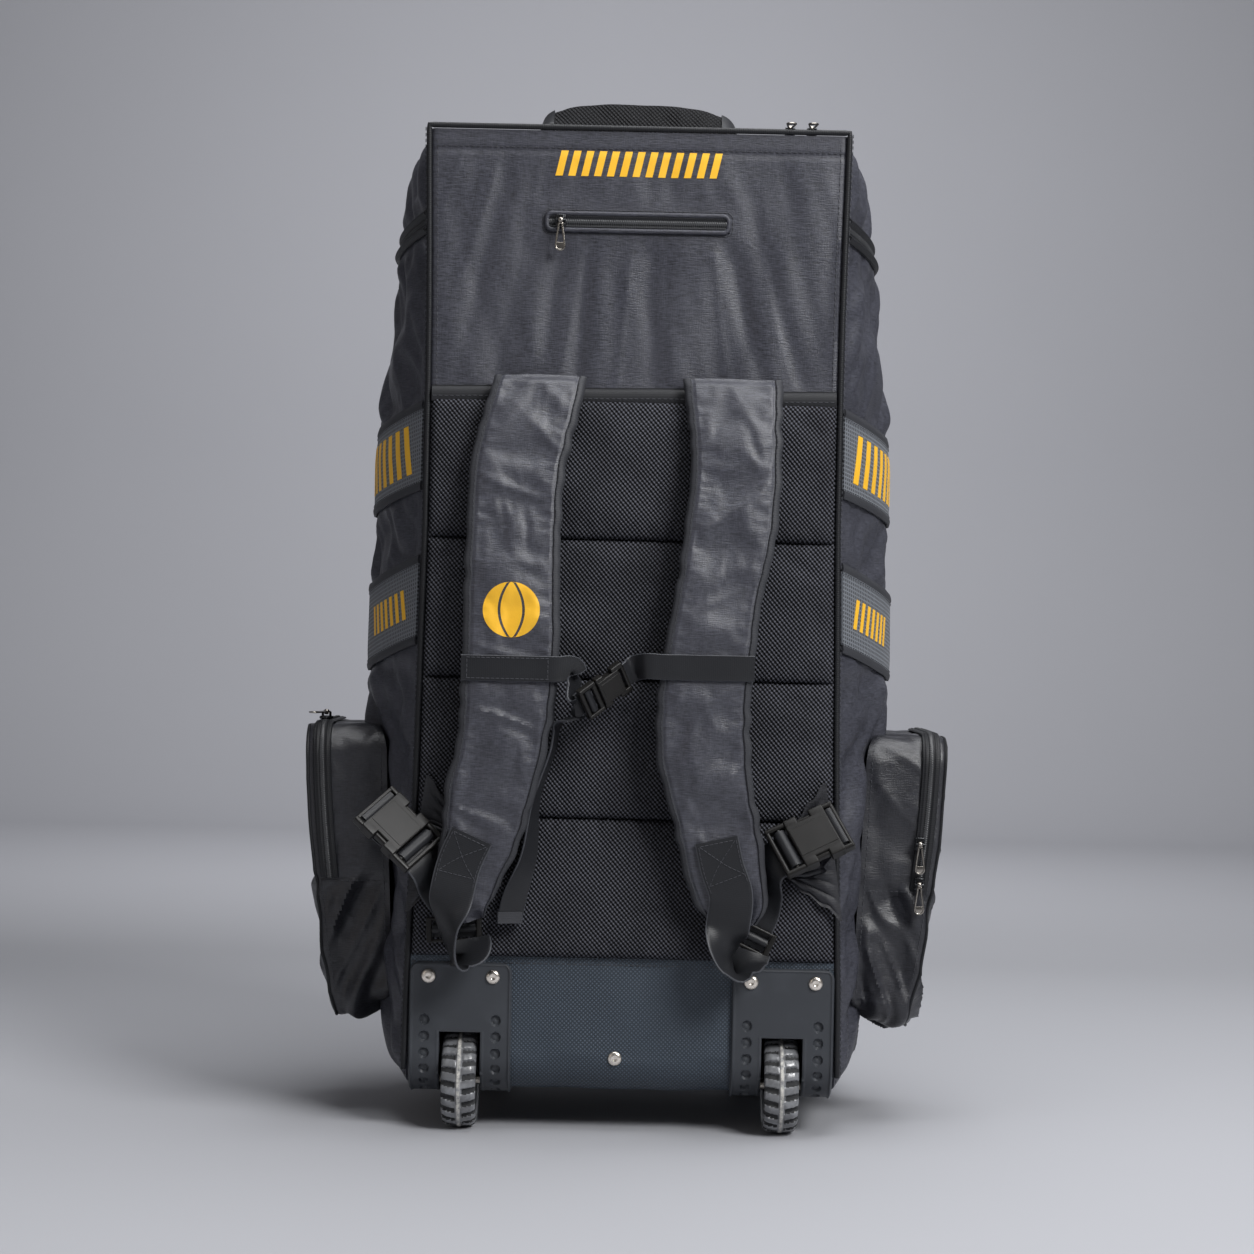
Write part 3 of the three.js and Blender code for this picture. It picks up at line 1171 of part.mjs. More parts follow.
function cornerPlate(side) {
  const middle = side * WHEEL_SPACING;
  const [from, to] = [middle - PLATE_WIDTH / 2, middle + PLATE_WIDTH / 2];
  const skin = alongX(cornerWall(plateNear, plateFar, PLATE_TOP, PLATE_UNDER), from, to);
  const wellLine = cornerLine(plateFar, wellTop + WELL_WALL, wellFront + WELL_WALL - BACK_Y - BASE_RADIUS);
  const wellBack = new THREE.Vector2(wellFront + WELL_WALL, wellTop + WELL_WALL);
  const outerHalf = wellHalf + WELL_WALL;
  const well = alongX([...wellLine, wellBack], middle - outerHalf, middle + outerHalf);
  const hollowLow = v(middle - wellHalf, BACK_Y - BASE_RADIUS, 0);
  const hollow = box(hollowLow, v(middle + wellHalf, wellFront, wellTop));
  const bore = rod(AXLE_RADIUS + AXLE_GAP, outerHalf * 3, 12).rotateZ(Math.PI / 2);
  bore.translate(middle, wheelY, WHEEL_RADIUS);
  const dimples = [];
  for (const column of [-1, 1])
    for (let i = 0; i < 6; i++) {
      const { at, out } = downPlate(i * DIMPLE_PITCH);
      const hole = rod(DIMPLE_RADIUS, DIMPLE_DEPTH * 2, 8);
      hole.applyQuaternion(new THREE.Quaternion().setFromUnitVectors(UP.clone().set(0, 1, 0), out));
      dimples.push(hole.translate(middle + column * DIMPLE_SIDE, at.y, at.z));
    }
  return cut(join(skin, well), hollow, bore, cornerWaste(from, -1), cornerWaste(to, 1), ...dimples);
}

// A tyre on its hub, with blocks on both shoulders and a rib round its middle, in its own frame.
function wheel() {
  const inner = (AXLE_RADIUS + AXLE_GAP) / WHEEL_RADIUS;
  const hub = [
    { out: 0.36, radius: 0.4 },
    { out: 0.9, radius: 0.36 },
    { out: 0.9, radius: inner },
  ];
  const side = [...TYRE_PROFILE, ...hub];
  const mirrored = [...side].reverse().map((p) => ({ ...p, out: -p.out }));
  const rings = Array.from({ length: TREAD_STATIONS }, (_, i) => {
    const angle = (2 * Math.PI * i) / TREAD_STATIONS;
    return [...side, ...mirrored].map(({ out, radius, tread = 0 }) => {
      const r = (radius - (i % 2 ? tread : 0)) * WHEEL_RADIUS;
      return v((out * WHEEL_WIDTH) / 2, r * Math.cos(angle), r * Math.sin(angle));
    });
  });
  return loft(rings, true);
}

// A rivet's head: a flange with a dimpled dome, its axis along Z.
function rivet() {
  const r = RIVET_RADIUS;
  const profile = [
    new THREE.Vector2(0, 0),
    new THREE.Vector2(r, 0),
    new THREE.Vector2(r, 0.8),
    new THREE.Vector2(r * 0.7, 2.2),
    new THREE.Vector2(r * 0.3, 2.4),
    new THREE.Vector2(0, 1.6),
  ];
  return new THREE.LatheGeometry(profile, 12).rotateX(Math.PI / 2);
}

const toHarness = new THREE.Quaternion().setFromUnitVectors(UP, HARNESS);
for (const [label, side] of [
  ["left", -1],
  ["right", 1],
]) {
  const middle = side * WHEEL_SPACING;
  const axleAt = v(middle, wheelY, WHEEL_RADIUS);
  add(`wheel_plate_${label}`, cornerPlate(side), plate);
  add(`wheel_${label}`, wheel(), rubber, axleAt);
  const axleLength = (wellHalf + WELL_WALL) * 2 - SEAM;
  add(`axle_${label}`, rod(AXLE_RADIUS, axleLength, 12).rotateZ(Math.PI / 2), nickel, axleAt);
  ["outer", "inner"].forEach((which, i) => {
    const x = middle + side * (i ? -RIVET_SIDE : RIVET_SIDE);
    const at = outPoint(x, plateFar + SEAM, RIVET_HEIGHT);
    add(`rivet_${label}_${which}`, rivet(), nickel, at, toHarness);
  });
}
const centreRivetAt = outPoint(CENTRE_RIVET.x, CLOTH_OUT + SEAM, CENTRE_RIVET.z);
add("rivet_centre", rivet(), nickel, centreRivetAt, toHarness);

// Feet under the front of the base, as high as the wheels hold the back
function foot(side) {
  const y = BACK_Y + FOOT.forward;
  const ring = (z, spare) => [
    v(side * FOOT.x - FOOT.length / 2 + spare, y - FOOT.width / 2 + spare, z),
    v(side * FOOT.x + FOOT.length / 2 - spare, y - FOOT.width / 2 + spare, z),
    v(side * FOOT.x + FOOT.length / 2 - spare, y + FOOT.width / 2 - spare, z),
    v(side * FOOT.x - FOOT.length / 2 + spare, y + FOOT.width / 2 - spare, z),
  ];
  return loft([ring(0, 5), ring(BASE_Z - SEAM, 0)]);
}
add("foot_left", foot(-1), buckle);
add("foot_right", foot(1), buckle);

export default bag;
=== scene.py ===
"""The looks of a wheeled cricket kit bag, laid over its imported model: cloth with its folds and stitches,
quilted mesh pads, padded straps, webbing, zips, moulded buckles, corner plates and treaded wheels.

Sizes in this file are millimetres, +Z up, the harness side towards -Y. Meshes are written in metres.
"""

import json
import math

import bmesh
import bpy
import numpy as np
from bpy.props import FloatProperty, FloatVectorProperty, PointerProperty
from mathutils import Matrix, Vector

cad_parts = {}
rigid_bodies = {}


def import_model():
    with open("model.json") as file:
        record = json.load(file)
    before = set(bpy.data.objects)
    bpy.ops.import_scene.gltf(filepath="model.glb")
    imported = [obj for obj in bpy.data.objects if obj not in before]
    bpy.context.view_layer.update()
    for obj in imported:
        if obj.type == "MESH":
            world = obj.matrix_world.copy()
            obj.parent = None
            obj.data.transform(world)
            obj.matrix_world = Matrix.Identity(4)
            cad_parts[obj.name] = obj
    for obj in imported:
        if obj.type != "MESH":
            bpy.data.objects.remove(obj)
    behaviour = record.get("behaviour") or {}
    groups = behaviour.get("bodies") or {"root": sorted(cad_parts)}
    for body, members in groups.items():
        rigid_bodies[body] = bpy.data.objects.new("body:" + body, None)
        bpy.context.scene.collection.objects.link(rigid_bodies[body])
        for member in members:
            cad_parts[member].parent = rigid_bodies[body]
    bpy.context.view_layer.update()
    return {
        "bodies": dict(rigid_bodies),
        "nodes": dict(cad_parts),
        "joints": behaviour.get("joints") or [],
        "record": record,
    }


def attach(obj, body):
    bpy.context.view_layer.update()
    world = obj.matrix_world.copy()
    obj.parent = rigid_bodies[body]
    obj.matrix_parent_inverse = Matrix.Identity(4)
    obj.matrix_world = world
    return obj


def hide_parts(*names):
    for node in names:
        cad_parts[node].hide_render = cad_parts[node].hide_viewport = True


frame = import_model()

bl_info = {
    "name": "Wheeled kit bag",
    "version": (1, 0, 0),
    "blender": (4, 5, 0),
    "location": "View3D > Sidebar > Kit bag",
    "description": "Dresses the packed kit bag in cloth, mesh, webbing, moulded plastic and rubber",
    "category": "Add Mesh",
}

MM = 0.001
BODY = "bag"

# The body's sizes, as the construction has them
BASE_Z = 37.5
BODY_HEIGHT = 833.5
TOP_Z = BASE_Z + BODY_HEIGHT
BACK_HALF = 181
SIDE_HALF = 237
BACK_DEPTH = 165
FRONT_DEPTH = 188
BACK_Y = -139
WIDEST_Y = BACK_Y + BACK_DEPTH
BASE_RADIUS = 30
WALL = 2.5
SEAM = 0.4
EDGE = 1
CLOTH_OUT = SEAM + WALL
PIPING_RADIUS = 2.5
FLANK = 0.6
FRONT_POWER = 2.6
FLANK_POWER = 2
MIDDLE_Z = 450
ROUND_LENGTH = 600

# What is sewn on
BAND_HEIGHT = 78
UPPER_BAND = 597
LOWER_BAND = 463
BAND_CLEAR = 1
BAND_THICKNESS = 2
LEVEL_ZIP = TOP_Z - 79
ZIP_WIDTH = 22
UPPER_DROOP = 20
LOWER_DROOP = 28
ZIP_DROOP = 10
TAPE = 2
TEETH = 1.4
PAD_COUNT = 4
PAD_BOTTOM = 153
PAD_TOP = 637
PAD_THICKNESS = 12
PAD_OUT = SEAM + PAD_THICKNESS
BINDING_HEIGHT = 15
PANEL_ZIP_LENGTH = 172
PANEL_TALL = 234
STRIP_AT = 0.925
POCKET_BOTTOM = 85
POCKET_TOP = 348
POCKET_REACH = 288
POCKET_TAPER = 30
POCKET_BACK = 65
POCKET_DEPTH = 160
POCKET_CORNER = 26
POCKET_ROUND = 7
POCKET_ZIP = 16
POCKET_ZIP_DOWN = 137
POCKET_SEAM = 213
POCKET_SIDE_SEAM = 209
POCKET_CRUMPLE_TOP = 208
POCKET_INSIDE = (200, -10, 215)
HANDLE_SPAN = 165
HANDLE_RISE = 47
HANDLE_WIDTH = 42
HANDLE_THICKNESS = 12
HANDLE_LEAN = 50
HANDLE_BACK = 100

# Harness
STRAP_WIDTH = 80
STRAP_THICKNESS = 14
STRAP_TOP = 656
STRAP_DROP = 474
STRAP_SPACING = 100
STRAP_STANDOFF = 47
WEBBING = 38
STERNUM_WEBBING = 22
WEB_THICKNESS = 1.8
TAB_TOP_DOWN = 0.83
TAB_MIDDLE = 235
BALL = {"radius": 23.5, "z": 450, "bare": 1.0}
LOCK = {"length": 22, "width": WEBBING + 10, "thickness": 4}
BUCKLE = {"length": 64, "width": WEBBING + 12, "thickness": 11}
BUCKLE_OUT = 39
STERNUM_BUCKLE = {"female": 30, "male": 17, "width": STERNUM_WEBBING + 8, "thickness": 8}
LOCK_OUT = PAD_OUT + LOCK["thickness"] + 1.7

# Wheels and hardware
WHEEL_RADIUS = 42
WHEEL_WIDTH = 30
WHEEL_SPACING = 140
WHEEL_BACK = 22
WHEEL_GAP = 3
PLATE_WIDTH = 89
PLATE_TOP = 147
PLATE_THICKNESS = 3.2
PLATE_UNDER = 56
PLATE_CORNER = 9
PLATE_NEAR = CLOTH_OUT + SEAM
PLATE_FAR = PLATE_NEAR + PLATE_THICKNESS
WELL_WALL = 2.6
WELL_HALF = WHEEL_WIDTH / 2 + WHEEL_GAP
WELL_TOP = WHEEL_RADIUS * 2 + WHEEL_GAP
WELL_FRONT = BACK_Y + WHEEL_BACK + WHEEL_RADIUS + WHEEL_GAP + 2
DIMPLE_RADIUS = 4.5
DIMPLE_DEPTH = 2.6
DIMPLE_PITCH = 14.4
DIMPLE_SIDE = 31
DIMPLE_TOP = 97
DIMPLE_ROWS = 6
RIVET_RADIUS = 6.2
RIVET_SIDE = 28
RIVET_HEIGHT = 135
CENTRE_RIVET = {"x": -5, "z": 66}
SLIDER = {"length": 12, "width": 9, "height": 3.5}
PULL_PIVOT = 6.8
PULL = {"length": 27, "width": 9.5, "wire": 0.95}

# What runs round the body, as (middle height at the piping, droop, half of the height that it holds flat)
GIRDLES = (
    (UPPER_BAND, UPPER_DROOP, BAND_HEIGHT / 2),
    (LOWER_BAND, LOWER_DROOP, BAND_HEIGHT / 2),
    (LEVEL_ZIP, ZIP_DROOP, ZIP_WIDTH / 2 + 1),
)

# Level sections of the body: rise is a share of BODY_HEIGHT, back of BACK_HALF, side of SIDE_HALF and front
# of FRONT_DEPTH.
SECTION_COLUMNS = ("rise", "back", "side", "front")
SECTIONS = (
    (0, 1.033, 0.835, 0.745),
    (0.006, 1.033, 0.865, 0.81),
    (0.019, 1.033, 0.886, 0.867),
    (0.043, 1.03, 0.899, 0.915),
    (0.09, 1.028, 0.907, 0.947),
    (0.174, 1.017, 0.932, 0.968),
    (0.27, 1.006, 0.962, 0.984),
    (0.365, 0.997, 0.985, 1),
    (0.449, 0.992, 1.008, 1.01),
    (0.52, 0.986, 1.004, 1.01),
    (0.592, 0.981, 0.992, 1),
    (0.663, 0.981, 0.992, 0.989),
    (0.735, 0.981, 0.964, 0.968),
    (0.807, 0.983, 0.942, 0.936),
    (0.884, 0.989, 0.923, 0.872),
    (0.914, 0.992, 0.895, 0.82),
    (0.962, 0.997, 0.865, 0.713),
    (1, 1, 0.805, 0.574),
)

# Folds of the upper panel, as (at, lean, depth, wide, low): at, lean and wide are shares of its half
# width, depth of the fold depth, and low the share of its height where the fold is deepest.
FOLDS = (
    (-0.86, -0.28, 0.5, 0.05, 0.8),
    (-0.72, -0.3, 0.9, 0.05, 0.5),
    (-0.52, -0.3, 1, 0.055, 0.45),
    (-0.36, -0.22, 0.8, 0.05, 0.35),
    (-0.24, -0.08, 1, 0.045, 0.3),
    (-0.1, -0.03, 0.5, 0.05, 0.35),
    (0.06, 0.06, 0.9, 0.05, 0.3),
    (0.16, 0.02, 0.4, 0.04, 0.5),
    (0.44, 0.34, 1, 0.05, 0.4),
    (0.6, 0.42, 0.7, 0.05, 0.3),
    (0.78, 0.3, 0.5, 0.05, 0.65),
)

# Middle line of the shoulder straps: down is a share of STRAP_DROP, left and right of STRAP_SPACING,
# wide_left and wide_right of STRAP_WIDTH, and out of STRAP_STANDOFF.
STRAP_COLUMNS = ("down", "left", "right", "wide_left", "wide_right", "out")
STRAP_STATIONS = (
    (0, 0.81, 0.852, 1, 1.08, 0.245),
    (0.042, 0.85, 0.865, 1, 1.05, 0.43),
    (0.093, 0.91, 0.88, 1.01, 1, 0.56),
    (0.156, 0.976, 0.89, 1.02, 0.98, 0.68),
    (0.283, 1.006, 0.845, 1.01, 0.99, 0.85),
    (0.397, 1.01, 0.755, 1.03, 0.93, 0.95),
    (0.5, 1.005, 0.69, 1.04, 0.98, 1),
    (0.57, 1.02, 0.653, 1.03, 1, 1),
    (0.684, 1.08, 0.66, 0.96, 1.01, 0.96),
    (0.77, 1.18, 0.74, 0.95, 0.92, 0.9),
    (0.823, 1.22, 0.8, 0.875, 0.91, 0.85),
    (0.903, 1.32, 0.875, 0.71, 0.86, 0.76),
    (0.958, 1.33, 0.945, 0.52, 0.72, 0.7),
    (0.99, 1.28, 0.955, 0.25, 0.5, 0.66),
)

# Webbing that hangs free, as (x, z, out, turn, tilt): x is a share of STRAP_SPACING, z of PAD_TOP, out of
# STRAP_STANDOFF; turn swings its width about the vertical and tilt lifts its right edge, in degrees.
LEFT_TAB = (
    (-1.5, 0.283, 0.94, -60, 0),
    (-1.39, 0.232, 0.8, -76, 0),
    (-1.3, 0.247, 0.68, -38, -10),
    (-1.33, 0.266, 0.474, 0, -2),
)
RIGHT_TAB = (
    (0.893, 0.291, 0.86, 0, 4),
    (0.875, 0.264, 0.81, 46, 2),
    (0.905, 0.241, 0.76, 70, 0),
    (1.0, 0.226, 0.69, 88, 0),
    (1.045, 0.232, 0.6, 125, -20),
    (1.065, 0.245, 0.51, 160, -26),
    (1.09, 0.258, 0.461, 180, -26),
)
TAIL = (
    (-0.575, 0.562, 0.86, 80, 0),
    (-0.64, 0.523, 0.68, 80, 0),
    (-0.77, 0.457, 0.58, 75, 0),
    (-0.83, 0.377, 0.56, 50, 0),
    (-0.95, 0.318, 0.5, 18, 0),
    (-0.98, 0.29, 0.5, 15, 0),
)

# Middles of the harness hardware: x is a share of STRAP_SPACING and z of PAD_TOP.
LEFT_LOCK = (-1.46, 0.2779)
RIGHT_LOCK = (1.07, 0.2779)
LEFT_BUCKLE = (-1.94, 0.4144)
RIGHT_BUCKLE = (1.58, 0.4113)
STERNUM = (-0.2, 0.6075)
STERNUM_ON_LEFT = 0.6327
STERNUM_ON_RIGHT = 0.6389
WING = {"low": 0.2983, "high": 0.4867, "tip": 1.43}

# Arch of the grab handle: along is a share of half its span, rise of its middle line's rise and lean of
# HANDLE_LEAN.
HANDLE_STATIONS = (
    (-1, 0, 0),
    (-1, 0.4, 0.1),
    (-0.96, 0.8, 0.5),
    (-0.8, 0.9, 0.8),
    (-0.45, 0.985, 1),
    (0, 1, 1),
    (0.45, 0.95, 1),
    (0.78, 0.85, 0.8),
    (0.95, 0.7, 0.5),
    (1, 0.35, 0.1),
    (1, 0, 0),
)

# Half of the tyre's profile: out is a share of WHEEL_WIDTH / 2, radius of WHEEL_RADIUS, and tread how deep
# the grooves cut there, of WHEEL_RADIUS.
TYRE_PROFILE = (
    (0, 1, 0),
    (0.08, 1, 0),
    (0.14, 0.985, 0.01),
    (0.3, 0.985, 0.05),
    (0.72, 0.965, 0.055),
    (0.93, 0.92, 0.05),
    (1, 0.87, 0.03),
    (0.98, 0.8, 0),
    (0.9, 0.73, 0),
    (0.6, 0.69, 0),
    (0.4, 0.68, 0),
    (0.36, 0.4, 0),
    (0.5, 0.37, 0),
    (0.9, 0.35, 0),
    (0.9, 0.105, 0),
)
TREAD_BLOCKS = 21

STITCH_PITCH = 5
STITCH_LENGTH = 3.4
STITCH_RADIUS = 0.42


# Sizes and colours


def to_linear(hex_colour):
    """An sRGB hex colour as linear red, green and blue."""
    parts = [int(hex_colour[i : i + 2], 16) / 255 for i in (1, 3, 5)]
    return [c / 12.92 if c <= 0.04045 else ((c + 0.055) / 1.055) ** 2.4 for c in parts]


def colour_property(name, text, hex_colour):
    return FloatVectorProperty(
        name=name, description=text, subtype="COLOR", size=3, min=0, max=1, default=to_linear(hex_colour)
    )


def length_property(name, text, millimetres, most):
    return FloatProperty(
        name=name, description=text, unit="LENGTH", default=millimetres * MM, min=0, max=most * MM
    )


class KitBagSizes(bpy.types.PropertyGroup):
    """Sizes of the cloth's relief."""

    fold_depth: length_property("Fold depth", "How far the upper panel is drawn in by its folds", 2.6, 9)
    side_swell: length_property("Side swell", "Height of the wrinkles on the side panels", 3.6, 8)
    pocket_swell: length_property("Pocket swell", "Height of the wrinkles on the side pockets", 3.2, 8)
    strap_swell: length_property("Strap swell", "Height of the wrinkles on the shoulder straps", 1.2, 4)
    binding: length_property("Binding", "Width of the tape round the shoulder straps", 6.5, 14)
    pad_swell: length_property("Pad swell", "How far a back pad stands proud between its seams", 8.5, 11)


class KitBagColours(bpy.types.PropertyGroup):
    """Colours of the finishes."""

    cloth: colour_property("Cloth", "Woven polyester of the panels and straps", "#3C3D45")
    coated: colour_property("Coated cloth", "Coated cloth of the lower panel", "#3B444E")
    net: colour_property("Spacer mesh", "Upper threads of the mesh over the pads", "#515259")
    band: colour_property("Band", "Woven grid of the cinch bands", "#63676D")
    binding: colour_property("Binding", "Ribbed tape round the straps and pads", "#37383C")
    webbing: colour_property("Webbing", "Flat webbing of the harness", "#232427")
    trim: colour_property("Trim", "Zip tape and piping", "#1B1C1F")
    thread: colour_property("Thread", "Sewing thread", "#3B3C41")
    printed: colour_property("Print", "Gold bars and ball sign", "#F6BC30")
    moulded: colour_property("Buckle", "Moulded acetal of the buckles", "#1A1918")
    plate: colour_property("Plate", "Moulded corner plates and feet", "#3A3D42")
    tyre: colour_property("Tyre", "Treaded tyre", "#96989C")
    nickel: colour_property("Nickel", "Plated rivets and axles", "#F2EADF")
    black_metal: colour_property("Black metal", "Plated zip sliders and pulls", "#3A3B3D")
    floor: colour_property("Studio", "Floor and backdrop", "#AAABB0")


def sizes():
    return bpy.context.scene.kit_bag_sizes


def colours():
    return bpy.context.scene.kit_bag_colours


# Numbers and curves


def smoothstep(low, high, x):
    """0 below low, 1 above high, and a smooth rise between them."""
    t = np.clip((x - low) / (high - low), 0, 1)
    return t * t * (3 - 2 * t)


def by_column(names, table):
    """A table's columns under their names."""
    return dict(zip(names, np.array(table, float).T))


def spaced(*spans):
    """Evenly spaced numbers over each span of (low, high, count), one span after the other."""
    return np.concatenate([np.linspace(*span) for span in spans])


def points_of(x, y, z):
    """Grids of X, Y and Z, stretched to one shape, as one grid of points."""
    return np.stack(np.broadcast_arrays(x, y, z), -1)


def distances(line):
    """How far each point of a line lies from its first one, measured along it."""
    return np.concatenate([[0], np.cumsum(np.linalg.norm(np.diff(line, axis=0), axis=1))])


def sampled(want, at, values):
    """Rows of values that are known at some places, read off linearly at the places wanted."""
    return np.stack([np.interp(want, at, values[:, k]) for k in range(values.shape[1])], -1)


def unit(vectors):
    return vectors / np.maximum(np.linalg.norm(vectors, axis=-1, keepdims=True), 1e-9)


def curve(rows, step):
    """A smooth curve through rows of numbers, of which the first three are a place: between two rows it is
    the cubic whose end slopes are those of the neighbouring chords, sampled about every step millimetres."""
    rows = np.asarray(rows, float)
    at = distances(rows[:, :3])
    slope = np.gradient(rows, at, axis=0)
    want = np.linspace(0, at[-1], max(4, round(at[-1] / step)))
    k = np.clip(np.searchsorted(at, want, side="right") - 1, 0, len(at) - 2)
    gap = (at[k + 1] - at[k])[:, None]
    s = (want[:, None] - at[k][:, None]) / gap
    from_here = (2 * s**3 - 3 * s**2 + 1) * rows[k] + (s**3 - 2 * s**2 + s) * gap * slope[k]
    return from_here + (3 * s**2 - 2 * s**3) * rows[k + 1] + (s**3 - s**2) * gap * slope[k + 1]


def waves(u, v, length, lean, seed, spread=0.5, count=9):
    """A swell: a sum of sine waves of about that length, each running within spread radians of lean."""
    rng = np.random.RandomState(seed)
    total = np.zeros(np.broadcast(u, v).shape)
    for _ in range(count):
        angle = lean + rng.uniform(-spread, spread)
        turns = 2 * np.pi / (length * rng.uniform(0.65, 1.5))
        total += np.sin(turns * (u * np.cos(angle) + v * np.sin(angle)) + rng.uniform(0, 2 * np.pi))
    return total / math.sqrt(count / 2)


def creases(u, v, length, lean, seed, spread=0.5):
    """Sharp ridges between soft hollows: one less the size of a swell, squared."""
    return np.clip(1 - np.abs(waves(u, v, length, lean, seed, spread)), 0, 1) ** 2


def normals_of(grid):
    """Unit normals of a grid of points: the cross product of its two finite differences."""
    return unit(np.cross(np.gradient(grid, axis=0), np.gradient(grid, axis=1)))


# Cloth that settles

SETTLING_FRAMES = 18
SETTLING_FADE = np.array([0.25, 0.5, 0.25])


def between_rows(values, kept, count):
    """Values known at the kept places of an axis of count places, filled in linearly and rounded off once by
    the weights a quarter, a half and a quarter. The axis is the first one."""
    flat = values.reshape(len(values), -1)
    full = sampled(np.arange(count), kept, flat)
    padded = np.concatenate([full[:1], full, full[-1:]])
    rounded = sum(weight * padded[k : k + count] for k, weight in enumerate(SETTLING_FADE))
    return rounded.reshape(count, *values.shape[1:])


def settled(grid, out, held, slack, cap, coarse=2, pressure=0.0):
    """How far cloth over a grid rises along out when it settles. Blender's cloth runs on every coarse-th
    point without gravity: its threads are longer than the grid by the share slack, and it stays where held
    is 1. A rise is capped softly, as cap times the hyperbolic tangent of rise over cap."""
    count_i, count_j = grid.shape[:2]
    rows = np.unique(np.append(np.arange(0, count_i, coarse), count_i - 1))
    columns = np.unique(np.append(np.arange(0, count_j, coarse), count_j - 1))
    small = grid[np.ix_(rows, columns)]
    points, quads, _, _ = tile(small)
    mesh = bpy.data.meshes.new("settling_cloth")
    mesh.from_pydata((points * MM).tolist(), [], quads.tolist())
    sheet = bpy.data.objects.new("settling_cloth", mesh)
    scene = bpy.context.scene
    scene.collection.objects.link(sheet)
    group = sheet.vertex_groups.new(name="held")
    fixed = np.flatnonzero(np.broadcast_to(held, grid.shape[:2])[np.ix_(rows, columns)].reshape(-1) > 0.5)
    group.add(fixed.tolist(), 1.0, "REPLACE")
    cloth = sheet.modifiers.new("Settle", "CLOTH")
    cloth.collision_settings.use_collision = False
    cloth.point_cache.frame_start, cloth.point_cache.frame_end = 1, SETTLING_FRAMES
    threads = cloth.settings
    threads.mass = 0.1
    threads.tension_stiffness = threads.compression_stiffness = 15
    threads.shear_stiffness = 6
    threads.bending_stiffness = 0.3
    threads.shrink_min = -slack
    threads.vertex_group_mass = "held"
    threads.use_pressure = pressure > 0
    threads.uniform_pressure_force = pressure
    threads.effector_weights.gravity = 0
    for frame in range(1, SETTLING_FRAMES + 1):
        scene.frame_set(frame)
    shaped = sheet.evaluated_get(bpy.context.evaluated_depsgraph_get())
    after = np.empty(points.size)
    shaped.data.vertices.foreach_get("co", after)
    bpy.data.objects.remove(sheet)
    bpy.data.meshes.remove(mesh)
    scene.frame_set(1)
    move = after.reshape(small.shape) / MM - small
    rise = (move * np.broadcast_to(out, grid.shape)[np.ix_(rows, columns)]).sum(-1)
    rise = cap * np.tanh(rise / cap)
    return between_rows(between_rows(rise, rows, count_i).T, columns, count_j).T


# Meshes from grids


def lengths_uv(grid):
    """The distance along a grid's rows and columns from its first corner, as a flat map of the cloth."""
    along = np.linalg.norm(np.diff(grid, axis=0), axis=2).mean(1)
    across = np.linalg.norm(np.diff(grid, axis=1), axis=2).mean(0)
    u = np.concatenate([[0], np.cumsum(along)])
    v = np.concatenate([[0], np.cumsum(across)])
    return np.stack(np.meshgrid(u, v, indexing="ij"), -1)


def tile(grid, finish=0):
    """One sheet of quads over a grid of points, as (points, quads, finish, map)."""
    rows, columns = grid.shape[:2]
    index = np.arange(rows * columns).reshape(rows, columns)
    quads = np.stack([index[:-1, :-1], index[:-1, 1:], index[1:, 1:], index[1:, :-1]], -1).reshape(-1, 4)
    numbers = np.full(len(quads), finish) if np.isscalar(finish) else np.asarray(finish).reshape(-1)
    return grid.reshape(-1, 3), quads, numbers, lengths_uv(grid).reshape(-1, 2)


def shell(outer, inner, keep=None, finish=0, loop=False):
    """Cloth with two faces, over the cells of two grids that keep marks, closed along every open edge. With
    loop, the first and last columns are the same line and stay open."""
    rows, columns = outer.shape[:2]
    kept = np.ones((rows - 1, columns - 1), bool) if keep is None else keep
    numbers = np.broadcast_to(np.asarray(finish), kept.shape)
    near = np.arange(rows * columns).reshape(rows, columns)
    far = near + rows * columns
    i, j = np.nonzero(kept)
    corners = ((0, 0), (0, 1), (1, 1), (1, 0))
    quads = [np.stack([near[i + a, j + b] for a, b in corners], 1)]
    quads.append(np.stack([far[i + a, j + b] for a, b in reversed(corners)], 1))
    marks = [numbers[i, j], numbers[i, j]]
    ringed = np.pad(kept, 1)
    if loop:
        ringed[1:-1, 0] = kept[:, -1]
        ringed[1:-1, -1] = kept[:, 0]
    for side, (di, dj) in enumerate(((-1, 0), (0, 1), (1, 0), (0, -1))):
        edge = ~ringed[i + 1 + di, j + 1 + dj]
        p, q = i[edge], j[edge]
        (a, b), (c, d) = corners[side], corners[(side + 1) % 4]
        wall = [near[p + c, q + d], near[p + a, q + b], far[p + a, q + b], far[p + c, q + d]]
        quads.append(np.stack(wall, 1))
        marks.append(numbers[p, q])
    flat = lengths_uv(outer).reshape(-1, 2)
    points = np.concatenate([outer.reshape(-1, 3), inner.reshape(-1, 3)])
    return points, np.concatenate(quads), np.concatenate(marks), np.concatenate([flat, flat])


def hoop(rings, finish=0, cap=True):
    """A tube over rings of points, each ring closed on itself, with its ends drawn to their middles."""
    closed = np.concatenate([rings, rings[:, :1]], 1)
    if cap:
        first = np.broadcast_to(rings[0].mean(0), closed[:1].shape)
        last = np.broadcast_to(rings[-1].mean(0), closed[:1].shape)
        closed = np.concatenate([first, closed, last])
    return tile(closed, finish)


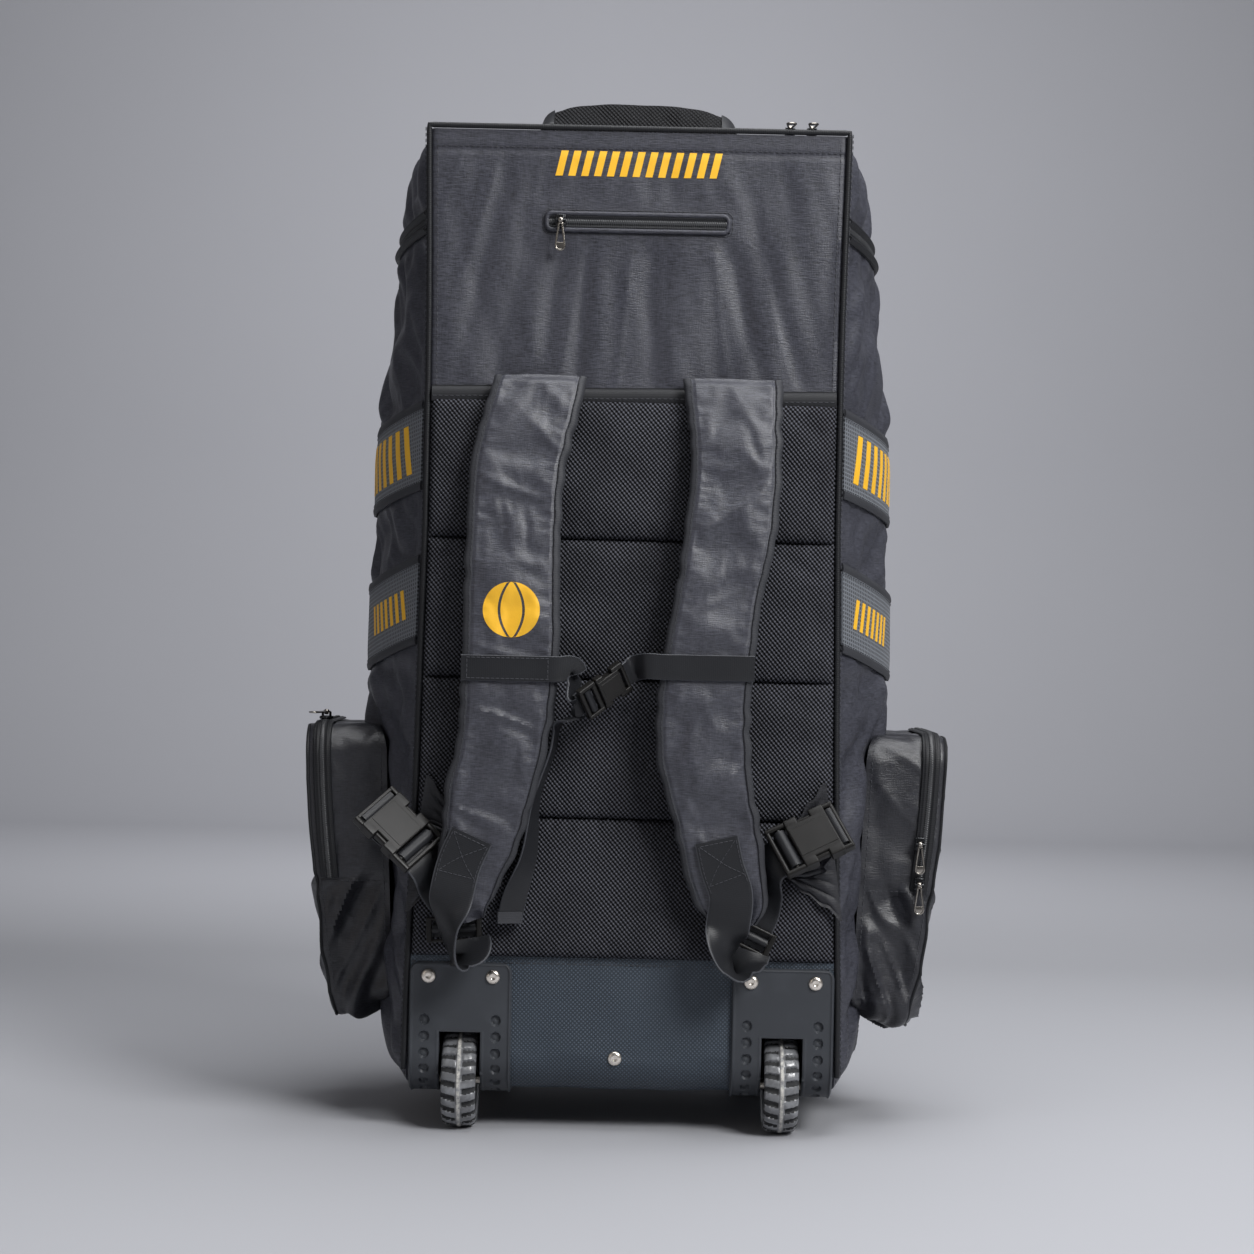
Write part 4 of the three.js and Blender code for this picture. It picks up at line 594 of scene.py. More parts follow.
def block(size, ease=1.0, number=0, steps=3):
    """A box with round edges: a small sphere whose eight octants are pushed out to the box's corners."""
    half = np.array(size, float) / 2
    ease = min(ease, *(half * 0.98))
    quarter = np.linspace(0, np.pi / 2, steps + 1)
    lat = np.concatenate([quarter - np.pi / 2, quarter])[:, None]
    lon = np.concatenate([quarter + k * np.pi / 2 for k in range(4)])[None, :]
    push_x = np.repeat([1, -1, -1, 1], steps + 1)[None, :] * (half[0] - ease)
    push_y = np.repeat([1, 1, -1, -1], steps + 1)[None, :] * (half[1] - ease)
    push_z = np.repeat([-1, 1], steps + 1)[:, None] * (half[2] - ease)
    x = ease * np.cos(lat) * np.cos(lon) + push_x
    y = ease * np.cos(lat) * np.sin(lon) + push_y
    z = ease * np.sin(lat) + push_z
    return hoop(points_of(x, y, z), number)


def rod(radius, length, finish=0, sides=20, round_edge=0.25):
    """A round bar along X, its ends rounded over a share of its radius."""
    edge = radius * round_edge
    half = length / 2
    x = np.array([-half, edge / 3 - half, edge - half, half - edge, half - edge / 3, half])[:, None]
    r = radius - np.array([edge, edge / 3, 0, 0, edge / 3, edge])[:, None]
    angle = np.linspace(0, 2 * np.pi, sides, endpoint=False)
    return hoop(points_of(x, r * np.cos(angle), r * np.sin(angle)), finish)


def revolve(radii, heights, sides=40, finish=0):
    """A profile of radius and height turned about Z."""
    angle = np.linspace(0, 2 * np.pi, sides + 1)[None, :]
    r = np.asarray(radii, float)[:, None]
    z = np.asarray(heights, float)[:, None]
    return tile(points_of(r * np.cos(angle), r * np.sin(angle), z), finish)


def moved(part, at=(0, 0, 0), axes=None):
    """A part turned so that its X, Y and Z lie along the rows of axes, and then moved."""
    points = part[0] if axes is None else part[0] @ np.asarray(axes, float)
    return (points + np.asarray(at, float), *part[1:])


def joined(parts):
    """Several parts as one."""
    starts = np.cumsum([0] + [len(p[0]) for p in parts[:-1]])
    quads = [p[1] + start for p, start in zip(parts, starts)]
    points, numbers, flat = ([p[k] for p in parts] for k in (0, 2, 3))
    return tuple(np.concatenate(x) for x in (points, quads, numbers, flat))


def axes_of(along, out):
    """Rows X, Y and Z: along, across and out, made square."""
    x = unit(np.asarray(along, float))
    y = unit(np.cross(out, x))
    return np.stack([x, y, np.cross(x, y)])


def stitches(line, out, finish=0, pitch=STITCH_PITCH):
    """A row of stitches: short round-ended bars that follow a line and lie on the cloth under it."""
    line = np.asarray(line, float)
    at = distances(line)
    middles = np.arange(pitch / 2, at[-1], pitch)
    away = unit(sampled(middles, at, np.broadcast_to(out, line.shape)))
    x = unit(sampled(middles + 1, at, line) - sampled(middles - 1, at, line))
    y = unit(np.cross(away, x))
    axes = np.stack([x, y, np.cross(x, y)], 1)
    along = np.array([-1, -0.6, 0.6, 1])[:, None] * STITCH_LENGTH / 2
    radius = np.array([0.4, 1, 1, 0.4])[:, None] * STITCH_RADIUS
    angle = np.linspace(0, 2 * np.pi, 5, endpoint=False)
    rings = points_of(along, radius * np.cos(angle), radius * np.sin(angle))
    points, quads, numbers, flat = hoop(rings, finish)
    count = len(middles)
    quads = quads[None] + (np.arange(count) * len(points))[:, None, None]
    points = np.einsum("pk,skc->spc", points, axes) + sampled(middles, at, line)[:, None]
    return points.reshape(-1, 3), quads.reshape(-1, 4), np.tile(numbers, count), np.tile(flat, (count, 1))


def make(name, parts, finishes, replaces=(), body=BODY, moulded=False):
    """Puts the parts into one mesh, merges what meets, turns the faces out, and hangs it on its body."""
    points, quads, numbers, flat = joined(parts)
    mesh = bpy.data.meshes.new(name)
    mesh.vertices.add(len(points))
    mesh.vertices.foreach_set("co", (points * MM).astype(np.float32).ravel())
    mesh.loops.add(quads.size)
    mesh.loops.foreach_set("vertex_index", quads.astype(np.int32).ravel())
    mesh.polygons.add(len(quads))
    mesh.polygons.foreach_set("loop_start", np.arange(0, quads.size, 4, dtype=np.int32))
    mesh.polygons.foreach_set("material_index", numbers.astype(np.int32))
    mesh.update(calc_edges=True)
    layer = mesh.uv_layers.new(name="Cloth")
    layer.data.foreach_set("uv", (flat[quads.ravel()] * MM).astype(np.float32).ravel())
    made = bmesh.new()
    made.from_mesh(mesh)
    bmesh.ops.remove_doubles(made, verts=made.verts, dist=2e-6)
    bmesh.ops.dissolve_degenerate(made, edges=made.edges, dist=1e-7)
    bmesh.ops.recalc_face_normals(made, faces=made.faces)
    made.to_mesh(mesh)
    made.free()
    mesh.polygons.foreach_set("use_smooth", np.ones(len(mesh.polygons), bool))
    mesh.set_sharp_from_angle(angle=math.radians(38))
    for finish in finishes:
        mesh.materials.append(finish)
    piece = bpy.data.objects.new(name, mesh)
    bpy.context.scene.collection.objects.link(piece)
    if moulded:
        piece.modifiers.new("Even shading", "WEIGHTED_NORMAL").keep_sharp = True
    if body:
        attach(piece, body)
    if replaces:
        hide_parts(*replaces)
    return piece


# The body's skin


def smoothed_sections():
    """The section table over evenly spaced rises, each column rounded by a short moving average."""
    rises = np.linspace(0, 1, 241)
    kernel = np.hanning(9)[1:-1]
    kernel /= kernel.sum()
    table = by_column(SECTION_COLUMNS, SECTIONS)
    made = []
    for name in SECTION_COLUMNS[1:]:
        rough = np.interp(rises, table["rise"], table[name])
        padded = np.pad(rough, 3, mode="reflect", reflect_type="odd")
        made.append(np.convolve(padded, kernel, "valid"))
    return rises, made


RISES, (BACKS, SIDES, FRONTS) = smoothed_sections()


def section(z):
    """Half widths at the back and the sides, the front's depth, and how far the base's round draws in."""
    rise = np.clip((z - BASE_Z) / BODY_HEIGHT, 0, 1)
    below = np.maximum(0, BASE_RADIUS - rise * BODY_HEIGHT)
    inset = BASE_RADIUS - np.sqrt(BASE_RADIUS**2 - below**2)
    return (
        np.interp(rise, RISES, BACKS) * BACK_HALF,
        np.interp(rise, RISES, SIDES) * SIDE_HALF,
        np.interp(rise, RISES, FRONTS) * FRONT_DEPTH,
        inset,
    )


def bare_skin(t, z):
    """The body without wrinkles. t runs from -1 at the left piping by 0 at the front to 1 at the right
    piping: a parabola out to the widest line, and from there a quarter of a superellipse."""
    back, side, front, inset = section(z)
    share = np.minimum(1, np.abs(t))
    s = np.clip((1 - share) / (1 - FLANK), 0, 1)
    angle = np.clip(share / FLANK, 0, 1) * np.pi / 2
    flank = share > FLANK
    flank_x = back + (side - back) * (1 - (1 - s) ** FLANK_POWER)
    x = np.where(flank, flank_x, side * np.sin(angle) ** (2 / FRONT_POWER))
    near = BACK_Y + inset
    round_y = WIDEST_Y + front * np.maximum(0, np.cos(angle)) ** (2 / FRONT_POWER)
    y = np.where(flank, near + (WIDEST_Y - near) * s, round_y)
    return points_of(np.sign(t) * x, y, z)


def outward(surface, a, b, step_a, step_b):
    """Unit normals of a surface of two parameters, which point away from the bag's middle line."""
    da = surface(a + step_a, b) - surface(a - step_a, b)
    db = surface(a, b + step_b) - surface(a, b - step_b)
    normal = unit(np.cross(da, db))
    middle = surface(a, b) - np.array([0, WIDEST_Y, MIDDLE_Z])
    return normal * np.where((normal * middle).sum(-1, keepdims=True) < 0, -1, 1)


def skin_normals(t, z):
    return outward(bare_skin, np.clip(t, -0.99, 0.99), np.clip(z, BASE_Z + 4, TOP_Z - 4), 0.008, 3)


def band_middle(middle, droop, t):
    """A band's middle height, which falls along a quarter of a sine from the piping to the widest line."""
    s = np.clip((1 - np.abs(t)) / (1 - FLANK), 0, 1)
    return middle - droop * np.sin(s * np.pi / 2)


def skin_swell(t, z):
    """Wrinkles of the side and front cloth, which die out at seams, bands and the base."""
    flat = ROUND_LENGTH * t
    swell = sizes().side_swell / MM
    lean = np.where(t > 0, 1, -1)
    soft = waves(flat, z, 120, 0.3, 3) * 0.4 + waves(flat * lean, z, 62, 0.8, 5, 0.35) * 0.55
    sharp = creases(flat * lean, z, 130, 0.75, 8, 0.3) * 0.8
    fade = smoothstep(0, 0.07, 1 - np.abs(t)) * smoothstep(0, 25, z - BASE_Z) * smoothstep(0, 18, TOP_Z - z)
    for middle, droop, half in GIRDLES:
        away = np.abs(z - band_middle(middle, droop, t)) - half
        fade = fade * smoothstep(-4, 16, away)
    return swell * fade * (soft + sharp - 0.25)


def skin(t, z, lift=0):
    """The body's cloth with its wrinkles, or what lies lift millimetres above it."""
    t, z = np.broadcast_arrays(t, z)
    out = skin_normals(t, z)
    return bare_skin(t, z) + out * (np.asarray(skin_swell(t, z)) + lift)[..., None]


def back_half(z):
    return section(z)[0] - EDGE


# Finishes


def node(tree, kind, sockets=None, **settings):
    """Adds a node: settings go on the node, and each named socket takes a value or another node's output."""
    made = tree.nodes.new("ShaderNode" + kind)
    for key, value in settings.items():
        setattr(made, key, value)
    for key, value in (sockets or {}).items():
        if isinstance(value, bpy.types.NodeSocket):
            tree.links.new(value, made.inputs[key])
        else:
            made.inputs[key].default_value = value
    return made


def mixed(tree, share, low, high):
    """A colour between low and high by a share from 0 to 1."""
    sockets = {0: share, 6: low, 7: high}
    return node(tree, "Mix", sockets, data_type="RGBA").outputs[2]


def shade(colour, factor):
    return (*[min(1, c * factor) for c in colour], 1)


def new_finish(name, roughness, metallic=0.0, sheen=0.0, coat=0.0, gloss=0.5):
    """An empty material with its shader, whose even values stay on the shader's own sockets."""
    material = bpy.data.materials.new(name)
    material.use_nodes = True
    tree = material.node_tree
    shader = tree.nodes["Principled BSDF"]
    shader.inputs["Roughness"].default_value = roughness
    shader.inputs["Metallic"].default_value = metallic
    shader.inputs["Specular IOR Level"].default_value = gloss
    shader.inputs["Sheen Weight"].default_value = sheen
    shader.inputs["Sheen Roughness"].default_value = 0.4
    shader.inputs["Coat Weight"].default_value = coat
    shader.inputs["Coat Roughness"].default_value = 0.25
    return material, tree, shader


def relief(tree, shader, height, depth_mm, strength=1.0):
    """Turns a height of 0 to 1 into bumps so many millimetres deep."""
    bump = node(tree, "Bump", {"Height": height, "Distance": depth_mm * MM, "Strength": strength})
    tree.links.new(bump.outputs["Normal"], shader.inputs["Normal"])


def object_point(tree, scale=(1, 1, 1), turn=(0, 0, 0)):
    """Object coordinates, stretched by scale per metre."""
    source = node(tree, "TexCoord").outputs["Object"]
    return node(tree, "Mapping", {"Vector": source, "Scale": scale, "Rotation": turn}).outputs["Vector"]


def cloth_point(tree, scale=(1, 1, 1), turn=(0, 0, 0)):
    """The piece's own flat map in metres: X along it and Y across it."""
    source = node(tree, "UVMap", uv_map="Cloth").outputs["UV"]
    return node(tree, "Mapping", {"Vector": source, "Scale": scale, "Rotation": turn}).outputs["Vector"]


def noise(tree, vector, scale, detail=3, roughness=0.55):
    return node(
        tree, "TexNoise", {"Vector": vector, "Scale": scale, "Detail": detail, "Roughness": roughness}
    ).outputs["Fac"]


def stripes(tree, vector, pitch_mm, direction="X", distortion=0.0):
    """A sine wave from 0 to 1, once every pitch millimetres."""
    turns = 2 * math.pi / (pitch_mm * MM) / 20
    return node(
        tree,
        "TexWave",
        {"Vector": vector, "Scale": turns, "Distortion": distortion, "Detail": 1},
        bands_direction=direction,
    ).outputs["Fac"]


def maths(tree, operation, a, b=0.5):
    return node(tree, "Math", {0: a, 1: b}, operation=operation).outputs[0]


def weighed(tree, first, second, share):
    """Two patterns added up, the share given of the first and the rest of the second."""
    part = maths(tree, "MULTIPLY", first, share)
    return maths(tree, "ADD", part, maths(tree, "MULTIPLY", second, 1 - share))


def ranged(tree, value, low, high, to_low=0.0, to_high=1.0):
    sockets = {"Value": value, "From Min": low, "From Max": high, "To Min": to_low, "To Max": to_high}
    return node(tree, "MapRange", sockets).outputs["Result"]


def woven_polyester(name, colour, roughness=0.42, gloss=0.5):
    """Plain-woven 600-denier polyester: matt threads whose weft shows as fine level streaks, a little
    lighter where it is rubbed. Threads lie 0.6 mm apart, drawn 1.1 mm apart so that they show."""
    material, tree, shader = new_finish(name, roughness, gloss=gloss)
    streaks = noise(tree, object_point(tree, (150, 150, 1100)), 1, 3, 0.6)
    upright = noise(tree, object_point(tree, (1000, 1000, 130)), 1, 3, 0.6)
    weave = weighed(tree, streaks, upright, 0.7)
    worn = noise(tree, object_point(tree), 14, 4)
    base = mixed(tree, ranged(tree, weave, 0.34, 0.66), shade(colour, 0.45), shade(colour, 1.5))
    faded = mixed(tree, ranged(tree, worn, 0.45, 0.75, 0, 0.25), base, shade(colour, 1.3))
    tree.links.new(faded, shader.inputs["Base Color"])
    rough = ranged(tree, worn, 0.3, 0.7, roughness - 0.08, roughness + 0.1)
    tree.links.new(rough, shader.inputs["Roughness"])
    relief(tree, shader, weave, 0.5)
    return material


def spacer_mesh(name, colour):
    """Knitted spacer mesh over foam: glossy threads on a slant over dark holes. Its rows lie 1.5 mm apart,
    drawn 3 mm apart so that they show."""
    material, tree, shader = new_finish(name, 0.6, gloss=0.12)
    falling = stripes(tree, object_point(tree, (1, 0.6, 1), (0, math.radians(40), 0)), 2.9, "X", 0.4)
    rising = stripes(tree, object_point(tree, (1, 0.6, 1), (0, math.radians(-50), 0)), 2.9, "X", 0.4)
    net = weighed(tree, falling, rising, 0.58)
    patches = noise(tree, object_point(tree), 22, 3)
    lit = maths(tree, "MULTIPLY", ranged(tree, net, 0.38, 0.8), ranged(tree, patches, 0.3, 0.7, 0.7, 1.15))
    tree.links.new(mixed(tree, lit, shade(colour, 0.03), shade(colour, 1.25)), shader.inputs["Base Color"])
    relief(tree, shader, net, 1.3)
    return material


def coated_cloth(name, colour):
    """Polyester with a rubbery coat: a fine even grain of dots with a low gloss, 1.4 mm apart, drawn 2.6 mm
    apart so that they show."""
    material, tree, shader = new_finish(name, 0.45, gloss=0.4)
    first = stripes(tree, object_point(tree, (1, 1, 1), (0, math.radians(45), 0)), 2.6, "X")
    second = stripes(tree, object_point(tree, (1, 1, 1), (0, math.radians(-45), 0)), 2.6, "X")
    dots = maths(tree, "MULTIPLY", first, second)
    dust = noise(tree, object_point(tree), 9, 4)
    base = mixed(tree, dots, shade(colour, 0.55), shade(colour, 1.9))
    faded = mixed(tree, ranged(tree, dust, 0.4, 0.8, 0, 0.3), base, shade(colour, 1.4))
    tree.links.new(faded, shader.inputs["Base Color"])
    relief(tree, shader, dots, 0.35)
    return material


def ribbed_tape(name, colour, pitch_mm=2.2, roughness=0.6, depth=0.3, ribbed=0.5):
    """Woven tape or webbing: low ribs across its length over a fine weave, with a low gloss, rubbed lighter
    here and there. Its ribs lie 1 mm apart, drawn about 2 mm apart so that they show."""
    material, tree, shader = new_finish(name, roughness, gloss=0.3)
    ribs = stripes(tree, cloth_point(tree), pitch_mm, "X", 0.3)
    fine = noise(tree, cloth_point(tree, (500, 1500, 1)), 1, 3)
    weave = weighed(tree, ribs, fine, ribbed)
    worn = noise(tree, object_point(tree), 30, 3)
    base = mixed(tree, weave, shade(colour, 0.8), shade(colour, 1.2))
    faded = mixed(tree, ranged(tree, worn, 0.45, 0.8, 0, 0.4), base, shade(colour, 1.4))
    tree.links.new(faded, shader.inputs["Base Color"])
    relief(tree, shader, weave, depth)
    return material


def gridded_band(name, colour):
    """Coarse webbing in a square grid: light crossing threads over dark holes, 2.6 mm apart, drawn 3.6 mm
    apart so that they show."""
    material, tree, shader = new_finish(name, 0.62, sheen=0.1)
    along = stripes(tree, cloth_point(tree), 3.6, "X")
    across = stripes(tree, cloth_point(tree), 3.6, "Y")
    grid = maths(tree, "MAXIMUM", along, across)
    holes = ranged(tree, grid, 0.35, 0.85)
    fine = noise(tree, object_point(tree), 160, 2)
    base = mixed(tree, holes, shade(colour, 0.16), shade(colour, 1.3))
    faded = mixed(tree, ranged(tree, fine, 0.3, 0.8, 0, 0.35), base, shade(colour, 0.7))
    tree.links.new(faded, shader.inputs["Base Color"])
    relief(tree, shader, grid, 0.6)
    return material


def plain_finish(name, colour, roughness, grain_mm=0.8, depth=0.03, metallic=0.0, gloss=0.4, wear=1.25):
    """A moulded, plated or printed surface: an even colour with a fine grain and slightly lighter rubbed
    patches."""
    material, tree, shader = new_finish(name, roughness, metallic, gloss=0.5 if metallic else gloss)
    grain = noise(tree, object_point(tree), 1 / (grain_mm * MM), 2)
    rubbed = noise(tree, object_point(tree), 45, 4)
    colour_out = mixed(tree, ranged(tree, rubbed, 0.5, 0.85), shade(colour, 1), shade(colour, wear))
    tree.links.new(colour_out, shader.inputs["Base Color"])
    rough = ranged(tree, rubbed, 0.3, 0.75, max(0.05, roughness - 0.07), roughness + 0.1)
    tree.links.new(rough, shader.inputs["Roughness"])
    relief(tree, shader, grain, depth)
    return material


def tyre_rubber(name, colour):
    """Moulded thermoplastic rubber: grey with a satin gloss on the blocks, dusty in patches at random and
    worn to a pale rough line round its middle. The dark of its grooves is painted shade, given by a finish
    of its own."""
    material, tree, shader = new_finish(name, 0.32, coat=0.3, gloss=0.9)
    across = node(tree, "SeparateXYZ", {"Vector": cloth_point(tree)}).outputs["Y"]
    worn = noise(tree, object_point(tree), 260, 4, 0.7)
    middle_mm = 0.5 * MM * tyre_profile_length()
    away = maths(tree, "ABSOLUTE", maths(tree, "SUBTRACT", across, middle_mm))
    line = ranged(tree, away, 0.6 * MM, 2.4 * MM, 1.0, 0.0)
    scuffed = maths(tree, "MULTIPLY", line, ranged(tree, worn, 0.35, 0.6))
    dusty = ranged(tree, noise(tree, object_point(tree), 70, 4), 0.45, 0.8, 0, 0.5)
    base = mixed(tree, dusty, shade(colour, 0.45), shade(colour, 1.7))
    tree.links.new(mixed(tree, scuffed, base, (*to_linear("#D2CFC8"), 1)), shader.inputs["Base Color"])
    tree.links.new(ranged(tree, scuffed, 0, 1, 0.28, 0.8), shader.inputs["Roughness"])
    relief(tree, shader, worn, 0.25)
    return material


# What some finishes tell their kind
POCKET_WEAVE = {"roughness": 0.38, "gloss": 0.6}
GROOVE = {"roughness": 0.7, "wear": 1.6}
BINDING_WEAVE = {"pitch_mm": 2.0, "roughness": 0.55, "depth": 0.15, "ribbed": 0.3}
WEBBING_WEAVE = {"pitch_mm": 1.6, "roughness": 0.42, "depth": 0.12, "ribbed": 0.25}
TRIM_WEAVE = {"pitch_mm": 1.6, "roughness": 0.5, "depth": 0.2}
ACETAL = {"roughness": 0.34, "grain_mm": 0.6, "depth": 0.02, "gloss": 0.28, "wear": 1.6}
POLYPROPYLENE = {"roughness": 0.48, "grain_mm": 0.7, "depth": 0.04, "wear": 1.3}
INK = {"roughness": 0.5, "grain_mm": 1.2, "depth": 0.08, "wear": 1.1}
NICKEL = {"roughness": 0.3, "grain_mm": 0.9, "depth": 0.003, "metallic": 1.0, "wear": 0.92}
ZINC = {"roughness": 0.24, "grain_mm": 0.6, "depth": 0.01, "metallic": 0.9, "wear": 1.8}
GUNMETAL = {"roughness": 0.22, "grain_mm": 0.6, "depth": 0.005, "metallic": 1.0, "wear": 1.4}

# How each finish is made, as (kind, title, colour, how much of that colour, what its kind is told)
FINISH_MAKERS = {
    "cloth": (woven_polyester, "Woven polyester", "cloth", 1, {}),
    "strap_cloth": (woven_polyester, "Woven polyester, strap cut", "cloth", 1.05, {"gloss": 0.6}),
    # The pockets' cloth is the panel cloth at 0.4 of its colour: painted shade.
    "pocket_shade_cloth": (woven_polyester, "Woven polyester, pocket cut", "cloth", 0.4, POCKET_WEAVE),
    # The wing's cloth is the panel cloth at about a third of its colour: painted shade.
    "lining": (woven_polyester, "Woven polyester lining", "cloth", 0.36, {"roughness": 0.5}),
    "net": (spacer_mesh, "Knitted spacer mesh", "net", 1, {}),
    # The handle's mesh is the pad mesh at 0.16 of its colour: painted shade.
    "handle_shade_net": (spacer_mesh, "Knitted spacer mesh, handle cut", "net", 0.16, {}),
    "coated": (coated_cloth, "Coated polyester", "coated", 1, {}),
    "band": (gridded_band, "Gridded webbing", "band", 1, {}),
    "binding": (ribbed_tape, "Grosgrain binding", "binding", 1, BINDING_WEAVE),
    # The binding over the pads is the strap binding at half its colour: painted shade.
    "pad_shade_binding": (ribbed_tape, "Grosgrain binding, pad cut", "binding", 0.5, BINDING_WEAVE),
    "webbing": (ribbed_tape, "Flat nylon webbing", "webbing", 1, WEBBING_WEAVE),
    # Webbing at over three times its colour: a painted highlight along the webbing's edges.
    "selvedge": (ribbed_tape, "Webbing selvedge", "webbing", 3.2, WEBBING_WEAVE),
    "trim": (ribbed_tape, "Zip tape and piping", "trim", 1, TRIM_WEAVE),
    "coil": (plain_finish, "Nylon zip coil", "black_metal", 1, {"roughness": 0.35, "wear": 1.6}),
    "thread": (plain_finish, "Bonded polyester thread", "thread", 1, {"roughness": 0.55, "wear": 1.5}),
    "printed": (plain_finish, "Screen print ink", "printed", 1, INK),
    "moulded": (plain_finish, "Moulded acetal", "moulded", 1, ACETAL),
    "plate": (plain_finish, "Moulded polypropylene", "plate", 1, POLYPROPYLENE),
    "tyre": (tyre_rubber, "Moulded tyre rubber", "tyre", 1, {}),
    # The grooves take a tenth of the tyre's colour: painted shade between the tread blocks.
    "painted_groove_shade": (plain_finish, "Tyre rubber between the blocks", "tyre", 0.1, GROOVE),
    "nickel": (plain_finish, "Nickel plate on steel", "nickel", 1, NICKEL),
    "black_metal": (plain_finish, "Black plated zinc", "black_metal", 1, ZINC),
    "pull": (plain_finish, "Gunmetal plated zinc", "nickel", 0.36, GUNMETAL),
}
FINISHES = {}


def finish(name):
    """A finish by its short name, made when it is first asked for."""
    if name not in FINISHES:
        kind, title, colour, share, settings = FINISH_MAKERS[name]
        FINISHES[name] = kind(title, shade(getattr(colours(), colour), share)[:3], **settings)
    return FINISHES[name]


def finishes(*names):
    return [finish(name) for name in names]


# Body panels


class KITBAG_OT_body(bpy.types.Operator):
    """Cloth of the sides, the front and the top, with its wrinkles and seams"""

    bl_idname = "kitbag.body"
    bl_label = "Body cloth"

    def execute(self, context):
        heights = np.linspace(BASE_Z, TOP_Z, 210)[:, None]
        for label, first, last, columns in (
            ("left_side_panel", -0.998, -0.301, 92),
            ("right_side_panel", 0.301, 0.998, 92),
            ("front_panel", -0.299, 0.299, 70),
        ):
            t = np.linspace(first, last, columns)[None, :]
            outer, inner = skin(t, heights), skin(t, heights, -WALL)
            if label != "front_panel":
                rise = self.crumple(outer, t, heights)[..., None] * skin_normals(t, heights)
                outer, inner = outer + rise, inner + rise
            parts = [shell(outer, inner)]
            for edge, sign in ((first, 1), (last, -1)):
                from_edge = 0.012 if abs(edge) > 0.9 else 0.008
                line_t = np.full(len(heights), edge + sign * from_edge)
                line_z = np.clip(heights[:, 0], BASE_Z + 8, TOP_Z - 6)
                line = skin(line_t, line_z, 0.2)
                parts.append(stitches(line, skin_normals(line_t, line_z), 1))
            make(label, parts, finishes("cloth", "thread"), [label])
        make("top_panel", [self.top()], finishes("cloth"), ["top_panel"])
        return {"FINISHED"}

    def crumple(self, grid, t, z):
        """Folds of a side panel, which is held along its seams and where bands and zips cross it."""
        held = (np.abs(t) > 0.965) | (np.abs(t) < 0.335) | (z < BASE_Z + 10) | (z > TOP_Z - 10)
        for middle, droop, half in GIRDLES:
            held = held | (np.abs(z - band_middle(middle, droop, t)) < half + 3)
        return settled(grid, skin_normals(t, z), held, 0.04, 5.5)

    def top(self):
        """The top: the outline of the highest section drawn in by shares to its middle, risen in a low dome
        with soft wrinkles."""
        t = np.linspace(-1, 1, 121)[None, :]
        rim = bare_skin(t, np.full_like(t, TOP_Z))[0]
        level_out = skin_normals(t[0], np.full(121, TOP_Z - 5)) * np.array([1, 1, 0])
        inward = rim - level_out * (WALL * 1.5 + SEAM)
        centre = np.array([0, (BACK_Y + inward[:, 1].max()) / 2, TOP_Z])
        share = np.linspace(1, 0, 40)[:, None, None]
        back_line = np.linspace(inward[-1], inward[0], 60)[1:-1]
        ring = np.concatenate([inward, back_line, inward[:1]])
        grid = centre + (ring - centre) * share
        soft = 0.8 * waves(grid[..., 0], grid[..., 1], 90, 0.4, 21) * (1 - share[..., 0] ** 6)
        dome = 3.5 * (1 - share[..., 0] ** 4) + soft
        clear = smoothstep(8, 45, grid[..., 1] - BACK_Y)
        grid[..., 2] = TOP_Z - 0.2 + dome * clear
        under = grid - np.array([0, 0, WALL])
        return shell(grid, under, loop=True)


